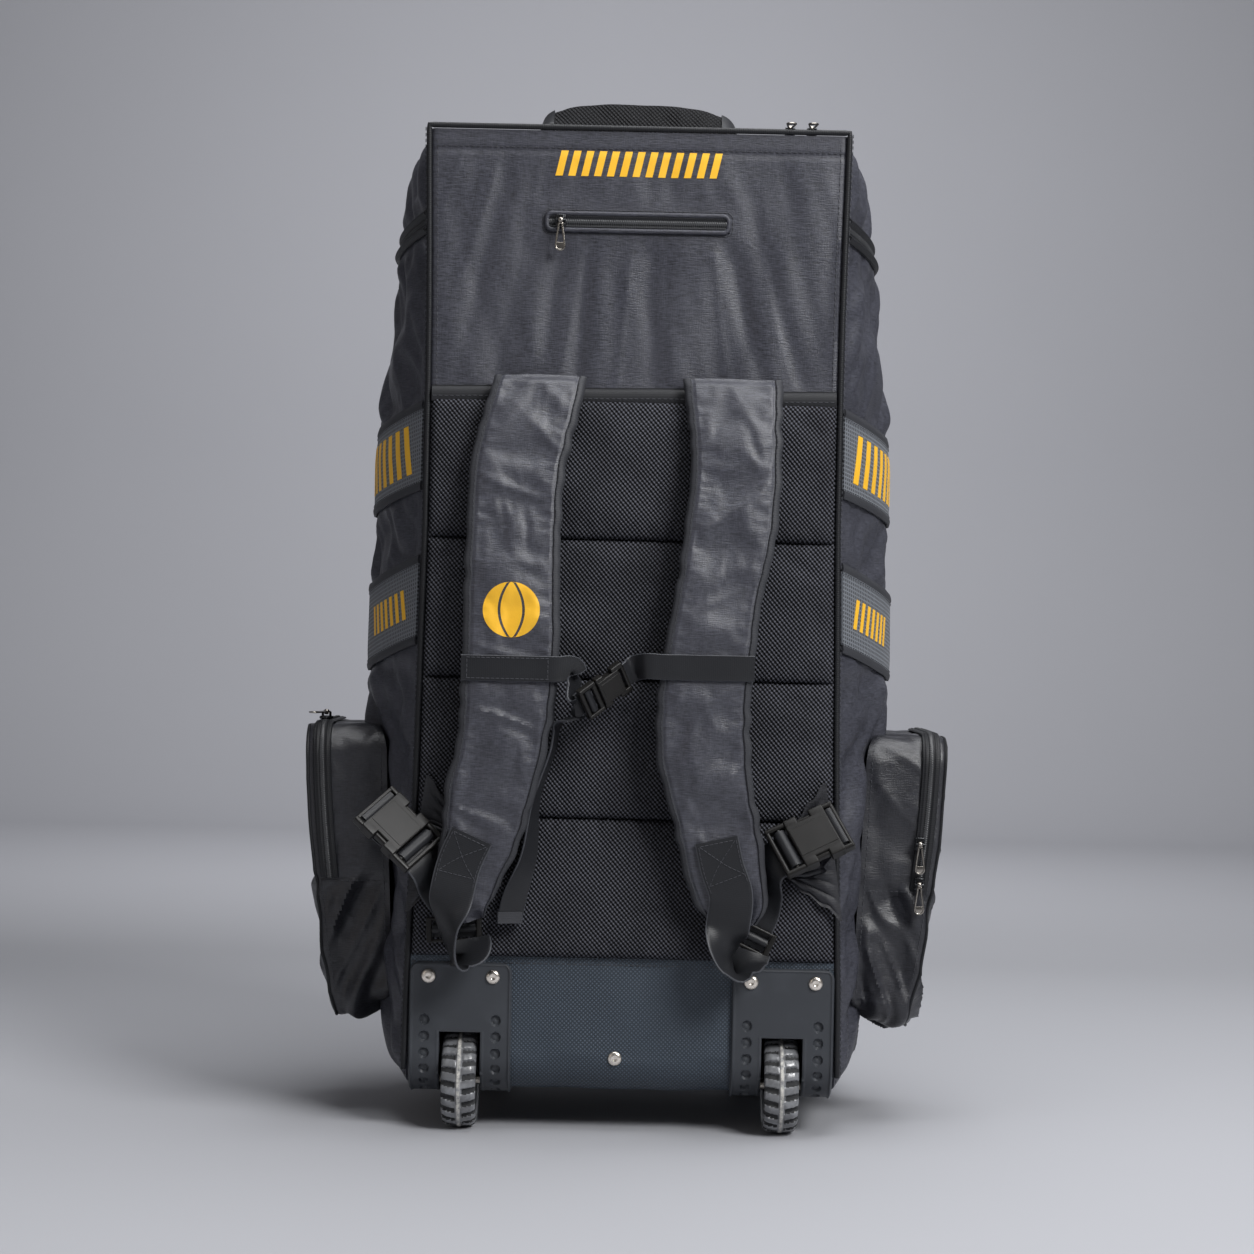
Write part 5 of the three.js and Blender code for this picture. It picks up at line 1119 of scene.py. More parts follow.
class KITBAG_OT_back(bpy.types.Operator):
    """The harness side: upper panel with its folds, quilted pads, binding, coated lower panel and piping"""

    bl_idname = "kitbag.back"
    bl_label = "Harness side"

    def execute(self, context):
        self.upper_panel()
        self.pads()
        self.binding()
        self.lower_panel()
        self.piping()
        return {"FINISHED"}

    def upper_panel(self):
        across = np.linspace(-1, 1, 150)[None, :]
        up = np.linspace(0, 1, 100)[:, None]
        outer = upper_surface(across, up)
        inner = upper_surface(across, up, -WALL + 0.1)
        parts = [shell(outer, inner)]
        u = np.linspace(-0.985, 0.985, 200)
        for height in (0.936, 0.012):
            parts.append(stitches(upper_surface(u, np.full(200, height), 0.2), (0, -1, 0), 1))
        v = np.linspace(0.02, 0.97, 120)
        for side in (-0.975, 0.975):
            parts.append(stitches(upper_surface(np.full(120, side), v, 0.2), (0, -1, 0), 1))
        name = "upper_back_panel"
        make(name, parts, finishes("cloth", "thread"), [name])

    def pads(self):
        """Each pad: its edges pulled in along the seams and crowned between them by a high power of the
        share across and up, with a soft swell."""
        height = (PAD_TOP - PAD_BOTTOM) / PAD_COUNT
        swell = sizes().pad_swell / MM
        for i in range(PAD_COUNT):
            low = PAD_BOTTOM + i * height
            across = np.linspace(-1, 1, 130)[None, :]
            up = np.linspace(-1, 1, 60)[:, None]
            z = low + height * (up + 1) / 2 + 0.6 * np.sin(across * 9 + i) * (1 - np.abs(up) ** 2)
            x = across * (back_half(z) - 0.5)
            edge = (1 - np.abs(across) ** 14) ** 0.4 * (1 - np.abs(up) ** 9) ** 0.42
            soft = 0.5 * waves(x, z, 70, 1.2, 30 + i) * (1 - np.abs(up) ** 4)
            pucker = 0.5 * waves(x, z * 0.2, 14, 0, 50 + i, 0.2) * smoothstep(0.72, 0.97, np.abs(up))
            out = PAD_THICKNESS - swell + edge * (swell + soft - pucker)
            front = points_of(x, BACK_Y - SEAM - out, z)
            held = (np.abs(across) > 0.975) | (np.abs(up) > 0.93)
            front[..., 1] -= settled(front, (0, -1, 0), held, 0.012, 1.6, 2, 0.3) * edge
            rear = points_of(x, BACK_Y - SEAM, z)
            name = f"back_pad_{i + 1}"
            pad = make(name, [shell(front, rear)], finishes("net"), [name])

    def binding(self):
        """A flat tape over the pads' top edge: its section bulges and its lower edge rolls over the foam."""
        half = back_half(PAD_TOP) - EDGE
        x = np.linspace(-half, half, 140)[None, :]
        share = np.linspace(0, 1, 14)[:, None]
        z = PAD_TOP - 2.5 + share * (BINDING_HEIGHT - 1) + 0.5 * np.sin(x / 23)
        out = CLOTH_OUT + 1.2 + 3.4 * (1 - (2 * share - 0.75) ** 2).clip(0) ** 0.5 + 0.35 * np.sin(x / 31)
        front = points_of(x, BACK_Y - out, z)
        rear = points_of(x, np.full_like(out, BACK_Y - CLOTH_OUT - 0.2), z)
        line = front[4] + np.array([0, -0.2, 0])
        parts = [shell(front, rear), stitches(line, (0, -1, 0), 1)]
        # The tape takes the darkened binding, painted shade.
        make("pad_binding", parts, finishes("pad_shade_binding", "thread"), ["pad_binding"])

    def lower_panel(self):
        """The coated panel: down the harness side, round the base's edge and a little under it, left open
        round the wheel wells."""
        rows = np.concatenate([np.linspace(PAD_BOTTOM - SEAM, BASE_Z + BASE_RADIUS, 34), np.zeros(14)])
        turn = np.concatenate([np.zeros(34), np.linspace(0, np.pi / 2, 15)[1:]])[:, None]
        half = float(back_half(PAD_BOTTOM))
        edges = [WHEEL_SPACING - WELL_HALF - 2.6, WHEEL_SPACING + WELL_HALF + 2.6]
        marks = np.array([-half, -edges[1], -edges[0], edges[0], edges[1], half])
        x = np.unique(spaced(*zip(marks, marks[1:], (10, 16, 70, 16, 10))))
        across = x[None, :]
        swell = 0.5 * waves(across, rows[:, None], 80, 0.5, 61) * smoothstep(0, 12, half - np.abs(across))
        z_flat = rows[:, None] * np.ones_like(across)

        def wall(out):
            r = BASE_RADIUS + out
            y = np.where(turn > 0, BACK_Y + BASE_RADIUS - r * np.cos(turn), BACK_Y - out)
            z = np.where(turn > 0, BASE_Z + BASE_RADIUS - r * np.sin(turn), z_flat)
            return points_of(across, y, z)

        outer = wall(CLOTH_OUT + swell)
        middle_x = (x[1:] + x[:-1]) / 2
        in_well = (np.abs(middle_x) > edges[0]) & (np.abs(middle_x) < edges[1])
        low = (outer[1:, 0, 2] + outer[:-1, 0, 2]) / 2 < WELL_TOP + 3
        keep = ~(low[:, None] & in_well[None, :])
        line = np.stack([x, np.full_like(x, BACK_Y - CLOTH_OUT - 0.3), np.full_like(x, PAD_BOTTOM - 6)], -1)
        parts = [shell(outer, wall(SEAM), keep), stitches(line, (0, -1, 0), 1)]
        name = "lower_back_panel"
        make(name, parts, finishes("coated", "thread"), [name])

    def piping(self):
        """A round cord down both edges of the harness side and across its top, stitched along its edges."""
        away = PIPING_RADIUS + SEAM
        z = np.linspace(BASE_Z + 16, TOP_Z + away, 260)
        back, _, _, inset = section(z)
        x = back - EDGE + SEAM + PIPING_RADIUS * 0.9
        y = BACK_Y - away + inset - np.where(inset > 0, SEAM, 0)
        up = np.stack([-x, y, z], -1)
        down = np.stack([x, y, z], -1)[::-1]
        corner = np.linspace(up[-1], down[0], 90)[1:-1]
        path = np.concatenate([up, corner, down])
        cord = tube(path, PIPING_RADIUS, 12)
        parts = [cord]
        for edge, s in ((up, -1), (down, 1)):
            parts.append(stitches(edge + np.array([s * 3.2, 1.2, 0]), (s * 0.6, -0.8, 0), 1))
        make("back_piping", parts, finishes("trim", "thread"), ["back_piping"])


def upper_surface(across, up, lift=0):
    """The upper panel: drawn in by folds that lean out as they fall, flat near its zip, with a sunk strip
    along its top and edges that turn in to the piping. across and up are shares of its half width and
    height."""
    bottom = PAD_TOP + SEAM
    z = bottom + (TOP_Z - bottom) * up
    x = across * back_half(z)
    depth = sizes().fold_depth / MM
    drawn = np.zeros(np.broadcast(across, up).shape)
    for at, lean, deep, wide, low in FOLDS:
        away = (across - at - lean * (0.6 - up)) / wide
        reach = np.exp(-(((up - low) / 0.42) ** 2))
        drawn += deep * np.exp(-(away**2)) * reach
    fade = smoothstep(0, 0.1, up) * smoothstep(0, 0.2, 0.97 - up) * smoothstep(0, 0.06, 1 - np.abs(across))
    swell = 0.9 * waves(x + 60 * (1 - up) * across, z * 0.5, 85, 0, 71, 0.5)
    swell = swell + 0.12 * waves(x, z, 24, 0.1, 72, 0.6)
    strip = 1.1 * np.exp(-(((up - STRIP_AT) * PANEL_TALL / 2.2) ** 2))
    dx = np.abs(x) - PANEL_ZIP_LENGTH / 2
    dz = np.abs(z - LEVEL_ZIP) - ZIP_WIDTH / 2
    from_zip = np.hypot(np.maximum(dx, 0), np.maximum(dz, 0)) + np.minimum(np.maximum(dx, dz), 0)
    flat_near_zip = smoothstep(-4, 22, from_zip)
    edge = 1.6 * (1 - smoothstep(0, 0.012, 1 - np.abs(across)))
    sharp = 0.7 * creases(x - 70 * (1 - up) * across, z * 0.3, 75, 0, 73, 0.4)
    out = CLOTH_OUT - edge - strip + lift + fade * flat_near_zip * (sharp + swell - depth * drawn)
    return points_of(x, BACK_Y - out, z)


def tube(path, radius, sides=12, finish=0):
    """A round cord along a path: rings whose spokes are the path's way out and across."""
    path = np.asarray(path, float)
    along = unit(np.gradient(path, axis=0))
    out = unit(np.array([0, -1, 0]) + along * along[:, 1:2])
    across = np.cross(along, out)
    angle = np.linspace(0, 2 * np.pi, sides, endpoint=False)[None, :, None]
    spokes = out[:, None] * np.cos(angle) + across[:, None] * np.sin(angle)
    return hoop(path[:, None] + radius * spokes, finish)


# Bands and zips


class KITBAG_OT_bands(bpy.types.Operator):
    """Two cinch bands round the body, with bound edges and printed bars"""

    bl_idname = "kitbag.bands"
    bl_label = "Cinch bands"

    def execute(self, context):
        for name, middle, droop, tall in (
            ("band_upper", UPPER_BAND, UPPER_DROOP, 44),
            ("band_lower", LOWER_BAND, LOWER_DROOP, 27),
        ):
            t = spaced((-0.985, -0.3, 150), (-0.295, 0.295, 60), (0.3, 0.985, 150))

            def on_band(t, v, lift=0.0):
                """A place on the band: v is a share from its middle to its edge, where a lip stands up."""
                lip = 1.2 * np.exp(-(((np.abs(v) - 0.9) / 0.075) ** 2))
                height = band_middle(middle, droop, t) + v * BAND_HEIGHT / 2
                return skin(t, height, BAND_CLEAR + BAND_THICKNESS + lip + lift)

            v = np.linspace(-1, 1, 34)
            grid = on_band(t[:, None], v[None, :])
            inner = on_band(t[:, None], v[None, :], -1.8)
            cell = np.abs((v[1:] + v[:-1]) / 2) > 0.8
            number = np.broadcast_to(cell.astype(int), (len(t) - 1, len(v) - 1))
            parts = [shell(grid, inner, finish=number)]
            out = skin_normals(t, np.full(len(t), middle))
            for edge in (-0.79, 0.79):
                parts.append(stitches(on_band(t, np.full(len(t), edge), 0.2), out, 2))
            parts += [bar for side in (-1, 1) for bar in self.bars(on_band, side, tall)]
            make(name, parts, finishes("band", "binding", "thread", "printed"), [name])
        return {"FINISHED"}

    def bars(self, on_band, side, tall):
        """A row of slanted bars in print, from the piping forward."""
        pitch, wide, slant = tall * 0.42, tall * 0.2, tall * 0.22
        per_mm = (1 - FLANK) / BACK_DEPTH / 1.05
        made = []
        for i in range(7):
            up = np.linspace(-1, 1, 16)[:, None]
            over = np.linspace(0, 1, 6)[None, :]
            forward = 26 + i * pitch + over * wide + up * slant / 2
            t = side * (1 - forward * per_mm)
            v = up * tall / BAND_HEIGHT * np.ones_like(over)
            made.append(shell(on_band(t, v, 0.35), on_band(t, v, -0.2), finish=3))
        return made


class KITBAG_OT_zips(bpy.types.Operator):
    """Zips with their coils, sliders and cross bars"""

    bl_idname = "kitbag.zips"
    bl_label = "Zips"

    def execute(self, context):
        self.panel_zip()
        self.top_zip()
        self.wrap_zip()
        return {"FINISHED"}

    def panel_zip(self):
        """The pocket zip: its coil lies in a window between two round cloth lips, sewn down by two rows of
        stitches."""
        half = PANEL_ZIP_LENGTH / 2 - 6
        face = BACK_Y - CLOTH_OUT - SEAM
        x = np.linspace(-half, half, 60)
        path = np.stack([x, np.full_like(x, face), np.full_like(x, LEVEL_ZIP)], -1)
        seat = np.array([SLIDER["length"] * 1.6 - PANEL_ZIP_LENGTH / 2, face - TAPE - TEETH, LEVEL_ZIP])
        lip = rounded_window(half - 1, 7.2, 5, face - 1.2)
        parts = [
            zip_tape(path, (0, 0, 1), (0, -1, 0), 15),
            coil(path, (0, 0, 1), (0, -1, 0)),
            hung("panel_zip_pull", seat, (0, 0, -1), (0, -1, 0)),
            tube(lip, 2.1, 12, 3),
            stitches(rounded_window(half + 2.6, 10.4, 6, face + 0.2), (0, -1, 0), 4, 4),
        ]
        names = finishes("trim", "coil", "black_metal", "cloth", "thread")
        make("panel_zip", parts, names, ["panel_zip"])

    def top_zip(self):
        half = float(section(TOP_Z)[0]) - ZIP_WIDTH
        y = BACK_Y + ZIP_WIDTH
        x = np.linspace(-half, half, 60)
        path = np.stack([x, np.full_like(x, y), np.full_like(x, TOP_Z + SEAM)], -1)
        parts = [zip_tape(path, (0, 1, 0), (0, 0, 1), ZIP_WIDTH), coil(path, (0, 1, 0), (0, 0, 1))]
        for which, share in (("inner", 0.83), ("outer", 0.95)):
            seat = np.array([half * share, y, TOP_Z + SEAM + TAPE + TEETH])
            parts.append(hung(f"top_zip_pull_{which}", seat, (0, -1, 0), (0, 0, 1)))
        make("top_zip", parts, finishes("trim", "coil", "black_metal"), ["top_zip"])

    def wrap_zip(self):
        """The zip round the body: two cloth lips stand over a tape with a coil between them."""
        t = np.linspace(-0.985, 0.985, 420)
        v = np.linspace(-1, 1, 26)[None, :]
        lips = 3.6 * np.exp(-(((np.abs(v) - 0.66) / 0.24) ** 2))
        height = band_middle(LEVEL_ZIP, ZIP_DROOP, t[:, None]) + v * ZIP_WIDTH / 2
        outer = skin(t[:, None], height, BAND_CLEAR + 0.8 + lips)
        inner = skin(t[:, None], height, BAND_CLEAR - 0.6)
        middle = band_middle(LEVEL_ZIP, ZIP_DROOP, t)
        line = skin(t, middle, BAND_CLEAR)
        out = skin_normals(t, middle)
        at = 0.5
        z = float(band_middle(LEVEL_ZIP, ZIP_DROOP, at))
        away = unit(skin_normals(np.array([at]), np.array([z]))[0] * np.array([1, 1, 0]))
        seat = bare_skin(np.array([at]), np.array([z]))[0] + away * (BAND_CLEAR + TAPE + TEETH)
        hanging = hung("wrap_zip_pull", seat, (0, 0, -1), away)
        parts = [shell(outer, inner), coil(line, (0, 0, 1), out, 0.8), hanging]
        make("wrap_zip", parts, finishes("trim", "coil", "black_metal"), ["wrap_zip"])


def rounded_window(half_wide, half_high, corner, y):
    """One turn round a rectangle with quarter-circle corners on the harness side, about the zip's middle."""
    quarter = np.linspace(0, np.pi / 2, 8)
    corners = ((1, 1, 0), (-1, 1, 1), (-1, -1, 2), (1, -1, 3))
    arcs = [
        np.stack(
            [
                sx * (half_wide - corner) + corner * np.cos(quarter + k * np.pi / 2),
                np.full(8, y),
                LEVEL_ZIP + sz * (half_high - corner) + corner * np.sin(quarter + k * np.pi / 2),
            ],
            -1,
        )
        for sx, sz, k in corners
    ]
    line = np.concatenate([*arcs, arcs[0][:1]])
    return resampled(2, line)[1]


def resampled(step, line, *others):
    """A line and what goes with it, sampled afresh every step millimetres."""
    at = distances(line)
    want = np.linspace(0, at[-1], max(2, round(at[-1] / step)))
    rows = [np.broadcast_to(np.asarray(x, float), line.shape) for x in (line, *others)]
    return want, *[sampled(want, at, x) for x in rows]


def zip_tape(path, across, out, width, number=0):
    """A zip's tape: a flat ribbon with a low welt beside its coil and thin edges."""
    _, path, across, out = resampled(5, np.asarray(path, float), across, out)
    v = np.linspace(-1, 1, 25)[None, :]
    reach = np.abs(v) * width / 2
    up = TAPE * 0.75 + 0.7 * np.exp(-((reach - 4.4) ** 2) / 0.8) - 0.9 * smoothstep(0.9, 1, np.abs(v))
    spread = path[:, None] + across[:, None] * (v * width / 2)[..., None]
    return shell(spread + out[:, None] * up[..., None], spread + out[:, None] * 0.1, finish=number)


def coil(path, across, out, lift=TAPE * 0.75, number=1, pitch=1.9):
    """A zip's coil: a low arch along its path. A sine wave of the length swells each half of it in turn, so
    that the teeth of one side stand between those of the other."""
    at, path, across, out = resampled(pitch / 4, np.asarray(path, float), across, out)
    angle = np.linspace(0, 2 * np.pi, 14, endpoint=False)[None, :]
    turn = 2 * np.pi * at[:, None] / pitch + np.where(np.cos(angle) > 0, 0, np.pi)
    swell = 0.85 + 0.15 * np.sin(turn)
    wide = 2.5 * np.cos(angle) * swell
    high = lift + 1.3 * np.maximum(0, np.sin(angle)) * swell - 0.35 * np.exp(-((np.cos(angle) / 0.2) ** 2))
    rings = path[:, None] + across[:, None] * wide[..., None] + out[:, None] * high[..., None]
    return hoop(rings, number)


def slider(seat, hangs, out, number=2):
    """A zip slider: a rounded body with a waist, two ears and the bar that its pull swings on."""
    axes = axes_of(hangs, out)
    length, width, height = SLIDER["length"], SLIDER["width"], SLIDER["height"]
    parts = [moved(block((length, width - 2.4, height), 1.3, number), (0, 0, height / 2))]
    for side in (-1, 1):
        end = block((length * 0.42, width, height * 0.8), 1.2, number)
        parts.append(moved(end, (side * length * 0.27, 0, height / 2)))
    for side in (-1, 1):
        ear = block((3.4, 1.1, PULL_PIVOT - 1.6), 0.5, number)
        parts.append(moved(ear, (0, side * 3.9, PULL_PIVOT / 2 + 1.1)))
    bar = rod(0.9, width - SEAM, number, 12)
    parts.append(moved(bar, (0, 0, PULL_PIVOT), ((0, 1, 0), (1, 0, 0), (0, 0, -1))))
    return moved(joined(parts), seat, axes)


PULL_PLACES = {}


def hung(name, seat, hangs, out):
    """A slider whose pull hangs from its bar. The pull's pivot and axes are kept until the pull is made."""
    axes = axes_of(hangs, out)
    PULL_PLACES[name] = (np.asarray(seat, float) + axes[2] * PULL_PIVOT, axes)
    return slider(seat, hangs, out)


def pull_loop():
    """A pull, X the way that it hangs: a round eye on the bar, and a wire loop that widens from a narrow
    neck to a round foot, with a thin plate between its sides at the foot."""
    half = PULL["width"] / 2 - PULL["wire"]
    foot = PULL["length"] - half - PULL["wire"]
    turn = np.linspace(-np.pi / 2, np.pi / 2, 13)
    x = np.concatenate([[2.6, 2.6, 6, 11, 17], foot + half * np.cos(turn), [17, 11, 6, 2.6, 2.6]])
    y = np.concatenate([[0, -1.5, -1.7, -2.5, -3.3], half * np.sin(turn), [3.3, 2.5, 1.7, 1.5, 0]])
    loop = resampled(0.7, np.stack([x, y, np.zeros_like(x)], -1))[1]
    along = unit(np.gradient(loop, axis=0))
    side = np.stack([-along[:, 1], along[:, 0], 0 * along[:, 0]], -1)
    angle = np.linspace(0, 2 * np.pi, 10, endpoint=False)[None, :, None]
    flat = np.array([0, 0, PULL["wire"] * 0.85])
    rings = loop[:, None] + side[:, None] * PULL["wire"] * np.cos(angle) + flat * np.sin(angle)
    eye = np.linspace(0, 2 * np.pi, 25)
    eye_line = np.stack([1.95 * np.cos(eye), 0 * eye, 1.95 * np.sin(eye)], -1)
    wide = np.linspace(0, 2 * np.pi, 8, endpoint=False)[None, :, None]
    spoke = eye_line / 1.95
    eye_rings = eye_line[:, None] + spoke[:, None] * 0.6 * np.cos(wide)
    eye_rings = eye_rings + np.array([0, 1.9, 0]) * np.sin(wide)
    plate = moved(block((6, 2 * half, 1.1), 0.4), (foot, 0, 0))
    return joined([hoop(rings, 0, cap=False), hoop(eye_rings, 0, cap=False), plate])


# Side pockets


def pocket_ring(inset, count=300):
    """One turn round a pocket in depth and height: a rectangle with quarter-circle corners, drawn in by
    inset, sampled evenly from the low near corner up, over and down."""
    near, far = BACK_Y + POCKET_BACK + inset, BACK_Y + POCKET_BACK + POCKET_DEPTH - inset
    low, high = POCKET_BOTTOM + inset, POCKET_TOP - inset
    r = max(0.0, min(POCKET_CORNER - inset / 2, (far - near) / 2, (high - low) / 2))
    quarter = np.linspace(0, np.pi / 2, 16)
    corners = (
        (near + r, low + r, np.pi * 1.5),
        (near + r, high - r, np.pi),
        (far - r, high - r, np.pi / 2),
        (far - r, low + r, 0),
    )
    bends = []
    for y, z, turn in corners:
        bends.append(np.stack([y + r * np.cos(turn - quarter), z + r * np.sin(turn - quarter)], -1))
    line = np.concatenate([*bends, bends[0][:1]])
    at = distances(line) + 1e-9 * np.arange(len(line))
    return sampled(np.linspace(0, at[-1], count), at, line)


def pocket_face(z):
    """How far the pocket's outer face stands from the middle of the bag: it draws in towards its bottom."""
    down = np.clip((POCKET_TOP - z) / (POCKET_TOP - POCKET_BOTTOM), 0, 1)
    return POCKET_REACH - POCKET_TAPER * down**1.7


def body_side(y, z):
    """How far the bag's side stands from its middle at a depth and a height."""
    back, side, front, inset = section(z)
    s = np.clip((y - BACK_Y - inset) / (BACK_DEPTH - inset), 0, 1)
    flank = back + (side - back) * (1 - (1 - s) ** FLANK_POWER)
    round_x = side * (1 - np.clip((y - WIDEST_Y) / front, 0, 0.999) ** FRONT_POWER) ** (1 / FRONT_POWER)
    return np.where(y < WIDEST_Y, flank, round_x)


class KITBAG_OT_pockets(bpy.types.Operator):
    """A pouch on each side, crumpled below its seam, with its zip"""

    bl_idname = "kitbag.pockets"
    bl_label = "Side pockets"

    def execute(self, context):
        for label, side in (("left", -1), ("right", 1)):
            pouch, seam_lines = self.pouch(side)
            name = f"side_pocket_{label}"
            parts = [pouch, *seam_lines]
            # The pouch takes the darkened panel cloth, painted shade.
            make(name, parts, finishes("pocket_shade_cloth", "thread", "trim"), [name])
            self.zip(label, side)
        return {"FINISHED"}

    def surface(self, side, ring, reach, blend):
        """Rows of the pouch: from the body (blend 0) out to the face (blend 1)."""
        y, z = ring[:, 0], ring[:, 1]
        root = body_side(y, z) + 1
        x = root + (reach - root) * blend
        sag = 16 * (1 - blend) ** 1.5 * (1 - smoothstep(0, 40, z - POCKET_BOTTOM))
        return np.stack([side * x, y, z + sag], -1)

    def pouch(self, side):
        rows = []
        for blend in np.linspace(0, 1, 26):
            ring = pocket_ring(0)
            rows.append(self.surface(side, ring, pocket_face(ring[:, 1]) - POCKET_ROUND, blend))
        for turn in np.linspace(0, np.pi / 2, 7)[1:]:
            ring = pocket_ring(POCKET_ROUND * (1 - math.cos(turn)))
            reach = pocket_face(ring[:, 1]) - POCKET_ROUND * (1 - math.sin(turn))
            rows.append(self.surface(side, ring, reach, 1))
        for inset in np.linspace(POCKET_ROUND, POCKET_DEPTH / 2, 26)[1:]:
            ring = pocket_ring(inset)
            rows.append(self.surface(side, ring, pocket_face(ring[:, 1]), 1))
        grid = np.stack(rows)
        out = normals_of(grid)
        out[:, -1] = out[:, 0]
        out *= np.sign((out * (grid - np.array(POCKET_INSIDE) * (side, 1, 1))).sum(-1).mean())
        y, z = grid[..., 1], grid[..., 2]
        x = np.abs(grid[..., 0])
        swell = sizes().pocket_swell / MM
        low = 1 - smoothstep(-6, 10, z - POCKET_CRUMPLE_TOP)
        seed = 80 if side < 0 else 90
        leaning = x + y * 0.6 + (z - POCKET_CRUMPLE_TOP) * 0.25
        folds = waves(leaning, z * 0.4, 34, 0.1, seed, 0.6)
        folds = folds + creases(leaning, z * 0.42, 46, 0.2, seed + 1, 0.5)
        folds = low * (0.95 * folds - 0.45)
        soft = 0.3 * waves(x + y, z, 60, 0.4, seed + 2)
        soft = soft + 0.35 * creases(x + y, z, 70, 0.6, seed + 3)
        soft = (1 - low) * (soft - 0.1)
        blend = np.linspace(0, 1, 26)
        at_root = np.ones(len(rows))
        at_root[:26] = smoothstep(0, 0.25, blend) * (1 - 0.6 * smoothstep(0.8, 1, blend))
        at_root[26:32] = 0.4
        last = smoothstep(0, 8, len(rows) - 1 - np.arange(len(rows)))
        seam = -1.3 * np.exp(-(((z - POCKET_SEAM) / 1.6) ** 2))
        height = (swell * (folds + soft) + seam) * (at_root * last)[:, None]
        height[:, -1] = height[:, 0]
        number = np.arange(len(rows))[:, None]
        column = np.arange(grid.shape[1])[None, :]
        held = np.isin(number, (0, 1, *range(25, 34), len(rows) - 1)) | (np.abs(z - POCKET_SEAM) < 3)
        held = held | (column < 3) | (column > grid.shape[1] - 4)
        rise = settled(grid + out * height[..., None], out, held, 0.055, 8, 2)
        rise = np.where(number > 31, np.minimum(rise, 2.5), rise)
        height = height + rise * (0.3 + 0.25 * low)
        height[:, -1] = height[:, 0]
        outer = grid + out * height[..., None]
        inner = grid + out * (np.minimum(height, 0) - WALL)[..., None]
        inner[-1] = inner[-2]
        lines = []
        for row in (2, 25):
            line = outer[row, 16:220] + out[row, 16:220] * 0.2
            lines.append(stitches(line, out[row, 16:220], 1))
        near = np.arange(3, 24)
        k = int(np.argmin(np.abs(grid[12, :120, 2] - POCKET_SIDE_SEAM)))
        lines.append(stitches(outer[near, k] + out[near, k] * 0.2, out[near, k], 1))
        edge = tube(outer[28] + out[28] * 0.3, 1.5, 8, 2)
        return shell(outer, inner, loop=True), [*lines, edge]

    def zip(self, label, side):
        """The pocket's zip: up its near edge and over its top, on the outer edge."""
        ring = pocket_ring(-SEAM, 900)
        start = int(np.argmax(ring[:, 1] > POCKET_TOP - POCKET_ZIP_DOWN))
        stop = int(np.argmax(ring[:, 0] > BACK_Y + POCKET_BACK + POCKET_DEPTH - POCKET_CORNER))
        ring = ring[start:stop]
        along = unit(np.gradient(ring, axis=0))
        out = np.stack([np.zeros(len(ring)), -along[:, 1], along[:, 0]], -1)
        x = side * (pocket_face(ring[:, 1]) - POCKET_ROUND - POCKET_ZIP / 2 - SEAM)
        path = np.stack([x, ring[:, 0], ring[:, 1]], -1) + out * 1.2
        parts = [zip_tape(path, (side, 0, 0), out, POCKET_ZIP), coil(path, (side, 0, 0), out)]
        if side > 0:
            low, high = SLIDER["length"] / 2, SLIDER["length"] * 1.25 + PULL["length"]
            y = BACK_Y + POCKET_BACK - SEAM - TAPE - TEETH
            for which, lift in (("low", low), ("high", high)):
                seat = (x[0], y, POCKET_TOP - POCKET_ZIP_DOWN + lift)
                parts.append(hung(f"pocket_zip_pull_right_{which}", seat, (0, 0, -1), (0, -1, 0)))
        else:
            y = BACK_Y + POCKET_BACK + POCKET_CORNER + SLIDER["width"]
            seat = (x[-1], y, POCKET_TOP + SEAM + TAPE + TEETH)
            parts.append(hung("pocket_zip_pull_left", seat, (side * 0.45, -1, 0), (0, 0, 1)))
        name = f"side_pocket_zip_{label}"
        make(name, parts, finishes("trim", "coil", "black_metal"), [name])


# Straps and webbing


def strap_rows(side):
    """A strap's middle line: place and half width at each station."""
    table = by_column(STRAP_COLUMNS, STRAP_STATIONS)
    place, wide = ("left", "wide_left") if side < 0 else ("right", "wide_right")
    x = side * table[place] * STRAP_SPACING
    y = BACK_Y - table["out"] * STRAP_STANDOFF
    z = STRAP_TOP - table["down"] * STRAP_DROP
    return np.stack([x, y, z, table[wide] * STRAP_WIDTH / 2], -1)


